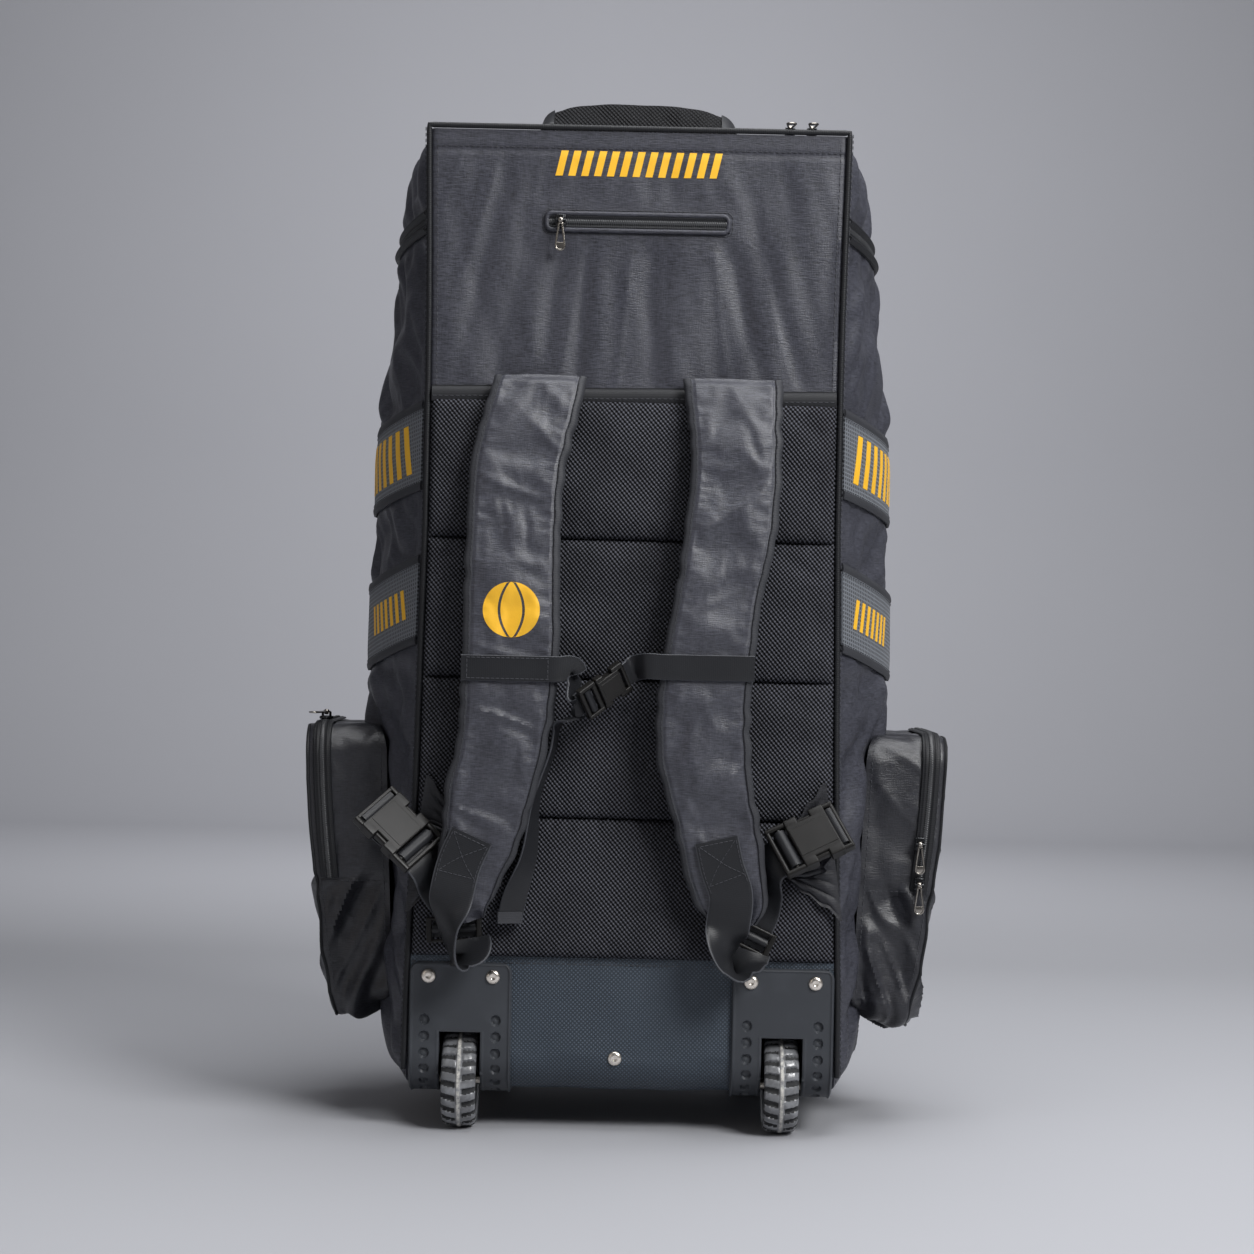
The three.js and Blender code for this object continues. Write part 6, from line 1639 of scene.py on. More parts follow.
class Strap:
    """A padded strap as a surface: along is a share of its length, across a share of its half width."""

    def __init__(self, side):
        self.side = side
        self.rows = curve(strap_rows(side), 2.4)
        self.along = unit(np.gradient(self.rows[:, :3], axis=0))
        square = unit(np.array([1.0, 0, 0]) - self.along * self.along[:, :1])
        level = 1 - smoothstep(0, 0.07, np.linspace(0, 1, len(self.rows)))[:, None]
        self.across = unit(square * (1 - level) + np.array([1.0, 0, 0]) * level)
        self.out = unit(np.cross(self.along, self.across))
        steps = np.linalg.norm(np.diff(self.rows[:, :3], axis=0), axis=1)
        self.length = steps.sum()
        self.dents = np.zeros((2, 2))
        share, w = np.linspace(0, 1, 150)[:, None], np.linspace(-1, 1, 41)[None, :]
        z = self.sample(self.rows, share)[..., 2]
        held = (np.abs(w) > 0.76) | (share < 0.02) | (share > 0.97) | (self.held_down(z) > 0.5)
        grid, out = self.face(share, w), self.sample(self.out, share + 0 * w)
        self.dents = settled(grid, out, held, 0.03, 3.0, 1)

    def sample(self, values, share):
        return sampled(share, np.linspace(0, 1, len(self.rows)), values)

    def held_down(self, z):
        """How firmly the cloth is held at a height: by the sternum webbing and by the tab."""
        webbing_over = np.exp(-(((z - STERNUM_ON_LEFT * PAD_TOP) / 14) ** 2))
        return np.clip(webbing_over + smoothstep(40, 0, np.abs(z - TAB_MIDDLE)), 0, 1)

    def dent(self, share, w):
        """The settled cloth's height, linear between its rows and columns."""
        last_i, last_j = self.dents.shape[0] - 1, self.dents.shape[1] - 1
        a, b = np.broadcast_arrays(np.clip(share, 0, 1) * last_i, (np.clip(w, -1, 1) + 1) / 2 * last_j)
        i, j = np.minimum(a.astype(int), last_i - 1), np.minimum(b.astype(int), last_j - 1)
        p, q = a - i, b - j
        near = self.dents[i, j] * (1 - q) + self.dents[i, j + 1] * q
        return near * (1 - p) + (self.dents[i + 1, j] * (1 - q) + self.dents[i + 1, j + 1] * q) * p

    def swell(self, share, w):
        """Soft dents and sharp creases on the face, deeper towards its lower end. They stop at the binding,
        where the seam puckers the cloth, and under the webbing that is sewn across it."""
        s = share * self.length
        seed = 100 if self.side < 0 else 110
        z = self.sample(self.rows, share)[..., 2]
        inside = smoothstep(0, 0.3, 0.8 - np.abs(w))
        x = w * STRAP_WIDTH / 2
        calm = 1 - 0.85 * self.held_down(z)
        low = 0.55 + 0.75 * smoothstep(0.35, 0.75, share)
        soft = waves(x * 0.8, s, 62, 1.1 * self.side, seed, 0.6) * 0.9
        sharp = creases(x * 0.7, s, 95, 1.0 * self.side, seed + 1, 0.5) * 1.5 - 0.5
        near_seam = smoothstep(0.4, 0.75, np.abs(w)) * smoothstep(0, 0.08, 0.8 - np.abs(w))
        pucker = 0.16 * waves(s, x * 0.2, 11, 0, seed + 2, 0.2) * near_seam
        relief_here = sizes().strap_swell / MM * (inside * low * (soft + sharp) + pucker)
        return (relief_here + self.dent(share, w)) * calm

    def face(self, share, w, lift=0.0, back=False):
        """A place on the front or back face: the half thickness falls off by a high power near the edge,
        with a tape along it that stands up a little and a sunk seam inside it."""
        share, w = np.broadcast_arrays(share, w)
        rows, across, out = (self.sample(values, share) for values in (self.rows, self.across, self.out))
        bound = 1 - 2 * (sizes().binding / MM) / STRAP_WIDTH
        thick = STRAP_THICKNESS / 2 * (0.3 + 0.7 * (1 - np.abs(w) ** 6).clip(0) ** 0.5)
        seam = 1.1 * np.exp(-(((np.abs(w) - bound + 0.015) / 0.022) ** 2))
        tape = 0.8 * smoothstep(bound - 0.005, bound + 0.03, np.abs(w))
        tape = tape * (1 - smoothstep(0.95, 1, np.abs(w)))
        ripple = 0.45 * waves(share * self.length, w * 30, 26, 0, 120) * smoothstep(0.7, 1, np.abs(w))
        end = smoothstep(0, 0.02, share) * smoothstep(0, 0.02, 1 - share) * 0.6 + 0.4
        height = thick * end - seam + tape + (0 if back else self.swell(share, w)) + lift
        height = -thick * end if back else height
        reach = rows[..., 3] * w + ripple * np.sign(w)
        return rows[..., :3] + across * reach[..., None] + out * height[..., None]


STRAPS = {}


def strap_on(side):
    """The strap of a side, worked out when it is first asked for."""
    if side not in STRAPS:
        STRAPS[side] = Strap(side)
    return STRAPS[side]


class KITBAG_OT_straps(bpy.types.Operator):
    """Padded shoulder straps with bound edges, stitches and a printed ball on the left one"""

    bl_idname = "kitbag.straps"
    bl_label = "Shoulder straps"

    def execute(self, context):
        for label, side in (("left", -1), ("right", 1)):
            strap = strap_on(side)
            share = np.linspace(0, 1, 200)[:, None]
            w = spaced((-1, -0.78, 9), (-0.76, 0.76, 44), (0.78, 1, 9))[None, :]
            front = strap.face(share, w)
            rear = strap.face(share, w, back=True)
            bound = 1 - 2 * (sizes().binding / MM) / STRAP_WIDTH
            number = (np.abs((w[:, 1:] + w[:, :-1]) / 2) > bound).astype(int)
            parts = [shell(front, rear, finish=number)]
            line = np.linspace(0.015, 0.93, 220)
            out = strap.sample(strap.out, line)
            for edge in (-bound - 0.035, bound + 0.035):
                parts.append(stitches(strap.face(line, np.full(220, edge), 0.15), out, 2))
            if side < 0:
                parts += self.ball(strap)
            name = f"shoulder_strap_{label}"
            names = finishes("strap_cloth", "binding", "thread", "printed")
            piece = make(name, parts, names, [name])
        return {"FINISHED"}

    def ball(self, strap):
        """A plain cricket ball in print: a disc in three spans, with two curved seams left bare."""
        radius, bare = BALL["radius"], BALL["bare"]
        centre = (STRAP_TOP - BALL["z"]) / STRAP_DROP
        v = np.linspace(-1, 1, 60)[:, None]
        reach = np.sqrt(np.clip(1 - v**2, 0, 1)) * radius
        seam = 0.34 * radius * (1 - v**2) + bare
        spans = (
            (-reach, np.maximum(-reach, -seam - 2.2 * bare)),
            (np.maximum(-reach, -seam), np.minimum(reach, seam)),
            (np.minimum(reach, seam + 2.2 * bare), reach),
        )
        parts = []
        for low, high in spans:
            x = low + (high - low) * np.linspace(0, 1, 16)[None, :]
            w = x / (STRAP_WIDTH / 2)
            share = centre - v * radius / strap.length
            parts.append(shell(strap.face(share, w, 0.3), strap.face(share, w, -0.3), finish=3))
        return parts


def turned_across(turn, tilt):
    """The way across webbing that is turned about the vertical and tilted, in degrees."""
    a, b = math.radians(turn), math.radians(tilt)
    return np.array([math.cos(a) * math.cos(b), math.sin(a), math.cos(a) * math.sin(b)])


def free_row(row, half):
    """A row of a table of free webbing as a place, the way across and half the width."""
    x, z, out, turn, tilt = row
    at = (x * STRAP_SPACING, BACK_Y - out * STRAP_STANDOFF, z * PAD_TOP)
    return np.concatenate([at, turned_across(turn, tilt), [half]])


def web_surface(rows, step=2.0):
    """Middle line, ways across and out, and half width of webbing along rows of place, way across and half
    width."""
    line = curve(rows, step)
    along = unit(np.gradient(line[:, :3], axis=0))
    across = unit(line[:, 3:6] - along * (line[:, 3:6] * along).sum(-1, keepdims=True))
    return line[:, :3], across, np.cross(along, across), line[:, 6]


def webbing(rows, number=0, step=2.0, thickness=WEB_THICKNESS, edge_number=3):
    """Flat webbing: a thin section, thickest at its woven edges, carried along its line. Its two edge
    columns take the finish edge_number, which in the harness is a painted highlight.
    """
    at, across, out, half = web_surface(rows, step)
    w = np.concatenate([[-1], np.linspace(-0.95, 0.95, 15), [1]])[None, :]
    edge = 0.25 * np.exp(-(((np.abs(w) - 0.9) / 0.07) ** 2)) - 0.5 * smoothstep(0.95, 1, np.abs(w))
    lift = (thickness / 2 + edge)[..., None]
    spread = at[:, None] + across[:, None] * (w * half[:, None])[..., None]
    cells = np.full((len(at) - 1, w.shape[1] - 1), number)
    # The edge cells take edge_number: in the harness this is the painted edge highlight.
    cells[:, [0, -1]] = edge_number
    return shell(spread + out[:, None] * lift, spread - out[:, None] * lift, finish=cells)


def web_stitches(rows, places, number=1, lift=1.1):
    """Straight stitch rows on webbing, between places given as (millimetres along, share across)."""
    at, across, out, half = web_surface(rows, 1.0)
    s = distances(at)
    made = []
    for (a0, w0), (a1, w1) in places:
        want = np.linspace(a0, a1, 40)
        aside = np.linspace(w0, w1, 40) * np.interp(want, s, half)
        middle, over, up = (sampled(want, s, values) for values in (at, across, out))
        made.append(stitches(middle + over * aside[:, None] + up * lift, up, number, 4.2))
    return made


def on_strap(strap, z, share, lift):
    """A place on a strap's face at a height."""
    k = int(np.argmin(np.abs(strap.rows[:, 2] - z)))
    row = strap.rows[k]
    return row[:3] + np.array([share * row[3], 0, 0]) + strap.out[k] * (STRAP_THICKNESS / 2 + lift)


FACE_LIFT = SEAM * 1.5 + WEB_THICKNESS / 2 + 0.6
UP = np.array([0, 0, 1.0])

# Stitch rows that hold webbing down, each from one (millimetres along, share across) to another
BOX_X = (
    ((3, -0.82), (3, 0.82)),
    ((36, -0.82), (36, 0.82)),
    ((3, -0.82), (36, 0.82)),
    ((3, 0.82), (36, -0.82)),
    ((3, -0.86), (44, -0.86)),
    ((3, 0.86), (44, 0.86)),
)
LONG_BOX = (
    ((4, -0.8), (76, -0.8)),
    ((4, 0.8), (76, 0.8)),
    ((74, -0.8), (74, 0.8)),
    ((5, -0.8), (5, 0.8)),
)


class KITBAG_OT_harness(bpy.types.Operator):
    """Tabs, locks, buckles, wings and the sternum strap"""

    bl_idname = "kitbag.harness"
    bl_label = "Harness hardware"

    def execute(self, context):
        self.straps = {-1: strap_on(-1), 1: strap_on(1)}
        self.tabs()
        self.locks_and_buckles()
        self.sternum()
        return {"FINISHED"}

    def web(self, name, rows, extra=()):
        # The fourth finish is the painted highlight along the webbing's edges.
        names = finishes("webbing", "thread", "binding", "selvedge")
        make(name, [webbing(rows), *extra], names, [name])

    def moulded(self, name, part, at, axes):
        names = finishes("moulded", "webbing")
        make(name, [moved(part, at, axes)], names, [name], moulded=True)

    def tabs(self):
        half = WEBBING / 2
        top = STRAP_TOP - STRAP_DROP * TAB_TOP_DOWN
        end = top - WEBBING * 1.25
        middle = (top + end) / 2

        def row(strap, z, share, lift, tilt):
            at = on_strap(strap, z, share, FACE_LIFT + lift)
            return np.concatenate([at, turned_across(0, tilt), [half]])

        left = ((top, -0.22, 1, -18), (middle, -0.35, 2, -16), (end, -0.5, 6, -8))
        right = ((top, -0.08, 0, 11), (middle, -0.05, 0, 12), (end, 0, 1, 12))
        for label, side, sewn, free, wide in (
            ("left", -1, left, LEFT_TAB, half * 0.98),
            ("right", 1, right, RIGHT_TAB, half),
        ):
            rows = [row(self.straps[side], *r) for r in sewn] + [free_row(r, wide) for r in free]
            self.web(f"strap_web_{label}", rows, web_stitches(rows, BOX_X))

    def locks_and_buckles(self):
        half = WEBBING / 2
        for label, side, lock, tilt, buckle, along, out in (
            ("left", -1, LEFT_LOCK, -0.05, LEFT_BUCKLE, (-0.73, 0.1, 0.68), (0.35, -0.78, 0.5)),
            ("right", 1, RIGHT_LOCK, 0.45, RIGHT_BUCKLE, (0.88, 0.1, 0.42), (-0.15, -0.8, 0.55)),
        ):
            lock_at = np.array([lock[0] * STRAP_SPACING, BACK_Y - LOCK_OUT, lock[1] * PAD_TOP])
            lock_axes = axes_of((math.sin(tilt), 0, math.cos(tilt)), (0, -1, 0))
            self.moulded(f"ladder_lock_{label}", ladder_lock(), lock_at, lock_axes)
            at = np.array([buckle[0] * STRAP_SPACING, BACK_Y - BUCKLE_OUT, buckle[1] * PAD_TOP])
            axes = axes_of(along, out)
            self.moulded(f"side_buckle_{label}", side_buckle(), at, axes)

            def in_buckle(x, z):
                return at + np.array([x, 0, z]) @ axes

            def in_lock(x, z):
                return lock_at + np.array([x, 0, z]) @ lock_axes

            behind = -(BUCKLE["thickness"] + WEB_THICKNESS) / 2 - SEAM
            under_lock = -(LOCK["thickness"] + WEB_THICKNESS) / 2 - SEAM
            end = in_buckle(-BUCKLE["length"] / 2 - 4, behind - 2)
            start = in_lock(LOCK["length"] / 2 + 6, under_lock - SEAM)
            halfway = unit(axes[1] + lock_axes[1])
            rows = [
                (in_lock(-LOCK["length"] / 2 + 4, under_lock), lock_axes[1]),
                (start, lock_axes[1]),
                ((start + end) / 2 + np.array([0, 2, 0]), halfway),
                (end, axes[1]),
                (in_buckle(-BUCKLE["length"] / 2 + 13, behind), axes[1]),
            ]
            self.web(f"lower_web_{label}", [np.concatenate([p, a, [half]]) for p, a in rows])
            self.wing(label, side, in_buckle, axes, behind, half)

    def wing(self, label, side, in_buckle, axes, behind, half):
        """A wing of doubled cloth from the piping to the buckle's fixed end, with a few gathers."""
        middle = (WING["low"] + WING["high"]) / 2 * PAD_TOP
        root_half = (WING["high"] - WING["low"]) / 2 * PAD_TOP
        tip = WING["tip"] * STRAP_SPACING
        flat = PAD_OUT + SEAM + WEB_THICKNESS / 2 + 0.6
        across = axes[1] * math.copysign(1, axes[1][2])

        def place(x, out, z):
            return np.array([side * x, BACK_Y - out, z])

        rows = [
            (place(float(back_half(middle)) - SEAM, flat, middle), UP, root_half),
            (place(tip, flat, middle - 5), UP, half * 1.2),
            (place(tip - 4, flat + 2, middle - 5), UP, half),
            (place(tip + 2, flat + 4, middle - 5), UP, half),
            (place(tip + 22, flat + 4, middle), UP, half),
            (in_buckle(BUCKLE["length"] / 2 - 20, behind - 3), across, half),
            (in_buckle(BUCKLE["length"] / 2 - 6, behind), across, half),
        ]
        rows = [np.concatenate([p, a, [h]]) for p, a, h in rows]
        at, out_across, out, wide = web_surface(rows, 1.6)
        w = np.linspace(-1, 1, 90)[None, :]
        share = np.linspace(0, 1, len(at))[:, None]
        gathered = smoothstep(0, 0.12, share) * (1 - smoothstep(0.45, 0.75, share))
        fold = 2.2 * gathered * np.abs(np.sin(4.5 * np.pi * w + 0.6)) ** 0.6
        scallop = 1 + 0.035 * np.sin(share * 46) * smoothstep(0.7, 1, np.abs(w)) * (share < 0.6)
        spread = at[:, None] + out_across[:, None] * (w * wide[:, None] * scallop)[..., None]
        sign = -np.sign(out[:, None, 1:2])
        cloth = spread + out[:, None] * sign * fold[..., None]
        name = f"wing_{label}"
        half_cloth = out[:, None] * sign * 0.9
        part = shell(cloth + half_cloth, cloth - half_cloth)
        # The wing takes the darkened panel cloth, painted shade.
        make(name, [part], finishes("lining"), [name])

    def sternum(self):
        half = STERNUM_WEBBING / 2
        axes = axes_of((0.74, 0.37, 0.56), (0.5, -0.79, -0.25))
        at = np.array([STERNUM[0] * STRAP_SPACING, BACK_Y - STRAP_STANDOFF - 8, STERNUM[1] * PAD_TOP])
        female, male = STERNUM_BUCKLE["female"], STERNUM_BUCKLE["male"]

        def place(x, z=0.0):
            return at + np.array([x, 0, z]) @ axes

        self.moulded("sternum_buckle_male", sternum_male(), place(-female / 2 - SEAM), axes)
        self.moulded("sternum_buckle_female", sternum_female(), place(male / 2), axes)

        up = axes[1] * math.copysign(1, axes[1][2])
        behind = -STERNUM_BUCKLE["thickness"] / 2 - WEB_THICKNESS - SEAM
        outer = (female + male) / 2
        entry = place(-outer - 5, behind - SEAM * 4)

        def left(share, lift):
            return on_strap(self.straps[-1], STERNUM_ON_LEFT * PAD_TOP, share, lift)

        def right(share, lift):
            return on_strap(self.straps[1], STERNUM_ON_RIGHT * PAD_TOP, share, lift)

        def lean(share):
            return unit(up * (1 - share) + UP * share)

        dip = left(1.3, FACE_LIFT - 4)
        rows = [
            (left(-1, FACE_LIFT - 1), UP),
            (left(-0.5, FACE_LIFT), UP),
            (left(0.5, FACE_LIFT), UP),
            (left(0.98, FACE_LIFT), UP),
            (dip, unit(np.array([0.1, 0, 1]))),
            (dip * 0.45 + entry * 0.55 + np.array([0, 3, 3]), lean(0.4)),
            (entry, up),
            (place(-outer + 8, behind), up),
        ]
        rows = [np.concatenate([p, a, [half]]) for p, a in rows]
        self.web("sternum_web_left", rows, web_stitches(rows, LONG_BOX))
        rows = [
            (right(1, FACE_LIFT - 1), UP),
            (right(0.5, FACE_LIFT), UP),
            (right(-0.5, FACE_LIFT), UP),
            (right(-0.98, FACE_LIFT), UP),
            (right(-1.3, FACE_LIFT - 1) + np.array([0, 0, 0.5]), UP),
            (place(outer + 8), lean(0.5)),
            (place(outer + 0.6), up),
        ]
        rows = [np.concatenate([p, a, [half]]) for p, a in rows]
        self.web("sternum_web_right", rows, web_stitches(rows, LONG_BOX))
        top = place(-outer - 1, behind - 3) + np.array([0, 0, -half * 1.2])
        rows = [np.concatenate([top, (0.3, 0.95, 0.1), [half]])] + [free_row(r, half) for r in TAIL]
        end = np.stack([rows[-1], rows[-1]])
        end[0, 2] += 9
        end[1, 2] -= 1
        end[:, 1] -= 0.4
        fold = webbing([end[0], end.mean(0), end[1]], 2, 1.0, WEB_THICKNESS * 2.2)
        self.web("sternum_tail", rows, [fold])


# Moulded hardware, each in its own frame: X along the webbing, Y across it and Z out of the face


def ladder_lock():
    """Two rails and three bars, with the webbing's turn round the middle one."""
    length, width, thick = LOCK["length"], LOCK["width"], LOCK["thickness"]
    parts = [moved(block((length, 5, thick), 1.2), (0, s * (width / 2 - 2.5), 0)) for s in (-1, 1)]
    for x, wide in ((-9.5, 3), (0, 4), (9.5, 3)):
        parts.append(moved(block((wide, width - 4, thick * 0.85), 1.2), (x, 0, 0)))
    parts.append(webbing_roll(0.5, 3.1, WEBBING - 1))
    return joined(parts)


def webbing_roll(x, radius, width):
    """Webbing wound round a bar: a soft cylinder with a flat lap."""
    angle = np.linspace(0, 2 * np.pi, 28, endpoint=False)
    r = radius * (1 + 0.1 * np.cos(angle * 2) + 0.05 * np.cos(angle * 3 + 1))
    y = np.linspace(-width / 2, width / 2, 12)[:, None]
    return hoop(points_of(x + r * np.cos(angle) * 1.15, y, r * np.sin(angle)), 1)


def side_buckle():
    """A fastened side release buckle: a flat hollow body with cheeks beyond its side notches, the prongs in
    those notches, and a ladder at one end and a fixed bar at the other, both wound with webbing."""
    length, width, thick = BUCKLE["length"], BUCKLE["width"], BUCKLE["thickness"]
    edge = width / 2
    end = length / 2
    parts = [moved(block((37, width - 13, thick - 0.5), 1.1), (4.5, 0, 0))]
    parts.append(moved(block((35, width - 22, 1.2), 0.5), (4.5, 0, thick / 2 - 0.5)))
    for s in (-1, 1):
        parts.append(moved(block((13.5, 9, thick - 0.6), 1.3), (16.5, s * (edge - 4.5), 0)))
        parts.append(moved(block((12, 9, thick - 0.6), 1.3), (-8, s * (edge - 4.5), 0)))
        parts.append(moved(block((14, 4.4, thick - 4.5), 1.6), (3.5, s * (edge - 5.2), 0)))
        parts.append(moved(block((22, 4.6, thick - 3), 1.4), (11 - end, s * (edge - 2.3), 0)))
        parts.append(moved(block((13, 4.6, thick - 3), 1.4), (end - 6.5, s * (edge - 2.3), 0)))
    low_bar = (11.5 - end, 3.6, thick - 5.5)
    for x, wide, tall in ((2 - end, 4, thick - 3.5), low_bar, (end - 2, 4, thick - 3.5)):
        parts.append(moved(block((wide, width - 6, tall), 1.5), (x, 0, 0)))
    parts.append(webbing_roll(11.5 - end, 4.3, WEBBING - 1))
    parts.append(webbing_roll(end - 5.6, 4.4, WEBBING - 1))
    return joined(parts)


def sternum_male():
    """The ladder half: two rails, two bars and the webbing's turn."""
    length, width = STERNUM_BUCKLE["male"], STERNUM_BUCKLE["width"]
    thick = STERNUM_BUCKLE["thickness"] - 1
    parts = [moved(block((length, 3.8, thick), 1.1), (0, s * (width / 2 - 1.9), 0)) for s in (-1, 1)]
    for x, wide in ((1.7 - length / 2, 3.4), (length / 2 - 2, 4)):
        parts.append(moved(block((wide, width - 3, thick - 1), 1.1), (x, 0, 0)))
    parts.append(webbing_roll(-0.5, 2.7, STERNUM_WEBBING - 1))
    return joined(parts)


def sternum_female():
    """The hollow half: a flat body with side notches and its webbing bar."""
    length, width = STERNUM_BUCKLE["female"], STERNUM_BUCKLE["width"]
    thick = STERNUM_BUCKLE["thickness"]
    parts = [moved(block((length - 7, width - 7, thick), 1), (-2.5, 0, 0))]
    parts.append(moved(block((length - 12, width - 14, 1), 0.4), (-2.5, 0, thick / 2 - 0.3)))
    for s in (-1, 1):
        parts.append(moved(block((8, 5, thick - 0.6), 1.1), (4.5 - length / 2, s * (width / 2 - 2.5), 0)))
        parts.append(moved(block((12, 5, thick - 0.6), 1.1), (length / 2 - 6.5, s * (width / 2 - 2.5), 0)))
    parts.append(moved(block((3, width - 3, thick - 2), 1), (length / 2 - 1.6, 0, 0)))
    return joined(parts)


# Handle, corner plates, wheels and rivets


class KITBAG_OT_handle(bpy.types.Operator):
    """Grab handle: a padded mesh arch with a webbing tab at either foot"""

    bl_idname = "kitbag.handle"
    bl_label = "Grab handle"

    def execute(self, context):
        y = BACK_Y + HANDLE_BACK
        foot = TOP_Z + SEAM
        table = np.array(HANDLE_STATIONS, float)
        lean = math.radians(HANDLE_LEAN)
        above = (math.sin(lean) * HANDLE_WIDTH + math.cos(lean) * HANDLE_THICKNESS) / 2
        rise = foot + table[:, 1] * (HANDLE_RISE - above)
        x = table[:, 0] * HANDLE_SPAN / 2
        rows = np.stack([x, np.full(len(table), y), rise, table[:, 2] * lean], -1)
        line = curve(rows, 2.0)
        lean_here = line[:, 3]
        line = line[:, :3]
        along = unit(np.gradient(line, axis=0))
        across = np.stack([0 * lean_here, np.cos(lean_here), np.sin(lean_here)], -1)
        across = unit(across - along * (across * along).sum(-1, keepdims=True))
        out = np.cross(along, across)
        w = np.linspace(-1, 1, 25)[None, :]
        share = np.linspace(0, 1, len(line))[:, None]
        soft = 0.5 * waves(share * 200, w * 20, 30, 0.3, 140)
        thick = HANDLE_THICKNESS / 2 * (0.25 + 0.75 * np.sqrt(1 - np.abs(w) ** 4))
        thick = thick + soft * (1 - np.abs(w) ** 2)
        narrow = 1 - 0.12 * smoothstep(0.32, 0.5, np.abs(share - 0.5))
        spread = line[:, None] + across[:, None] * (w * narrow * HANDLE_WIDTH / 2)[..., None]
        pad = shell(spread + out[:, None] * thick[..., None], spread - out[:, None] * thick[..., None] * 0.8)
        edges = [tube(spread[6:-6, k], 1.3, 8, 1) for k in (0, -1)]
        tabs = []
        for s in (slice(0, 14), slice(len(line) - 14, len(line))):
            over = line[s] + out[s] * (HANDLE_THICKNESS / 2 + 0.9)
            rows = np.concatenate([over, across[s], np.full((14, 1), 17)], 1)
            tabs.append(webbing(rows, 2, edge_number=2))
        # The handle's pad takes the darkened mesh, painted shade.
        names = finishes("handle_shade_net", "trim", "webbing")
        piece = make("grab_handle", [pad, *edges, *tabs], names, ["grab_handle"])
        return {"FINISHED"}


def plate_line(count=190):
    """Down a plate's face, round the base's edge and forward under it: depth, height and the way out."""
    straight = PLATE_TOP - BASE_Z - BASE_RADIUS
    r = BASE_RADIUS + PLATE_FAR
    bend = r * np.pi / 2
    s = np.linspace(0, straight + bend + PLATE_UNDER, count)
    angle = np.clip((s - straight) / r, 0, np.pi / 2)
    under = np.maximum(0, s - straight - bend)
    y = np.where(s < straight, BACK_Y - PLATE_FAR, BACK_Y + BASE_RADIUS - r * np.cos(angle) + under)
    z = np.where(s < straight, PLATE_TOP - s, BASE_Z + BASE_RADIUS - r * np.sin(angle))
    return s, np.stack([y, z], -1), np.stack([-np.cos(angle), -np.sin(angle)], -1)


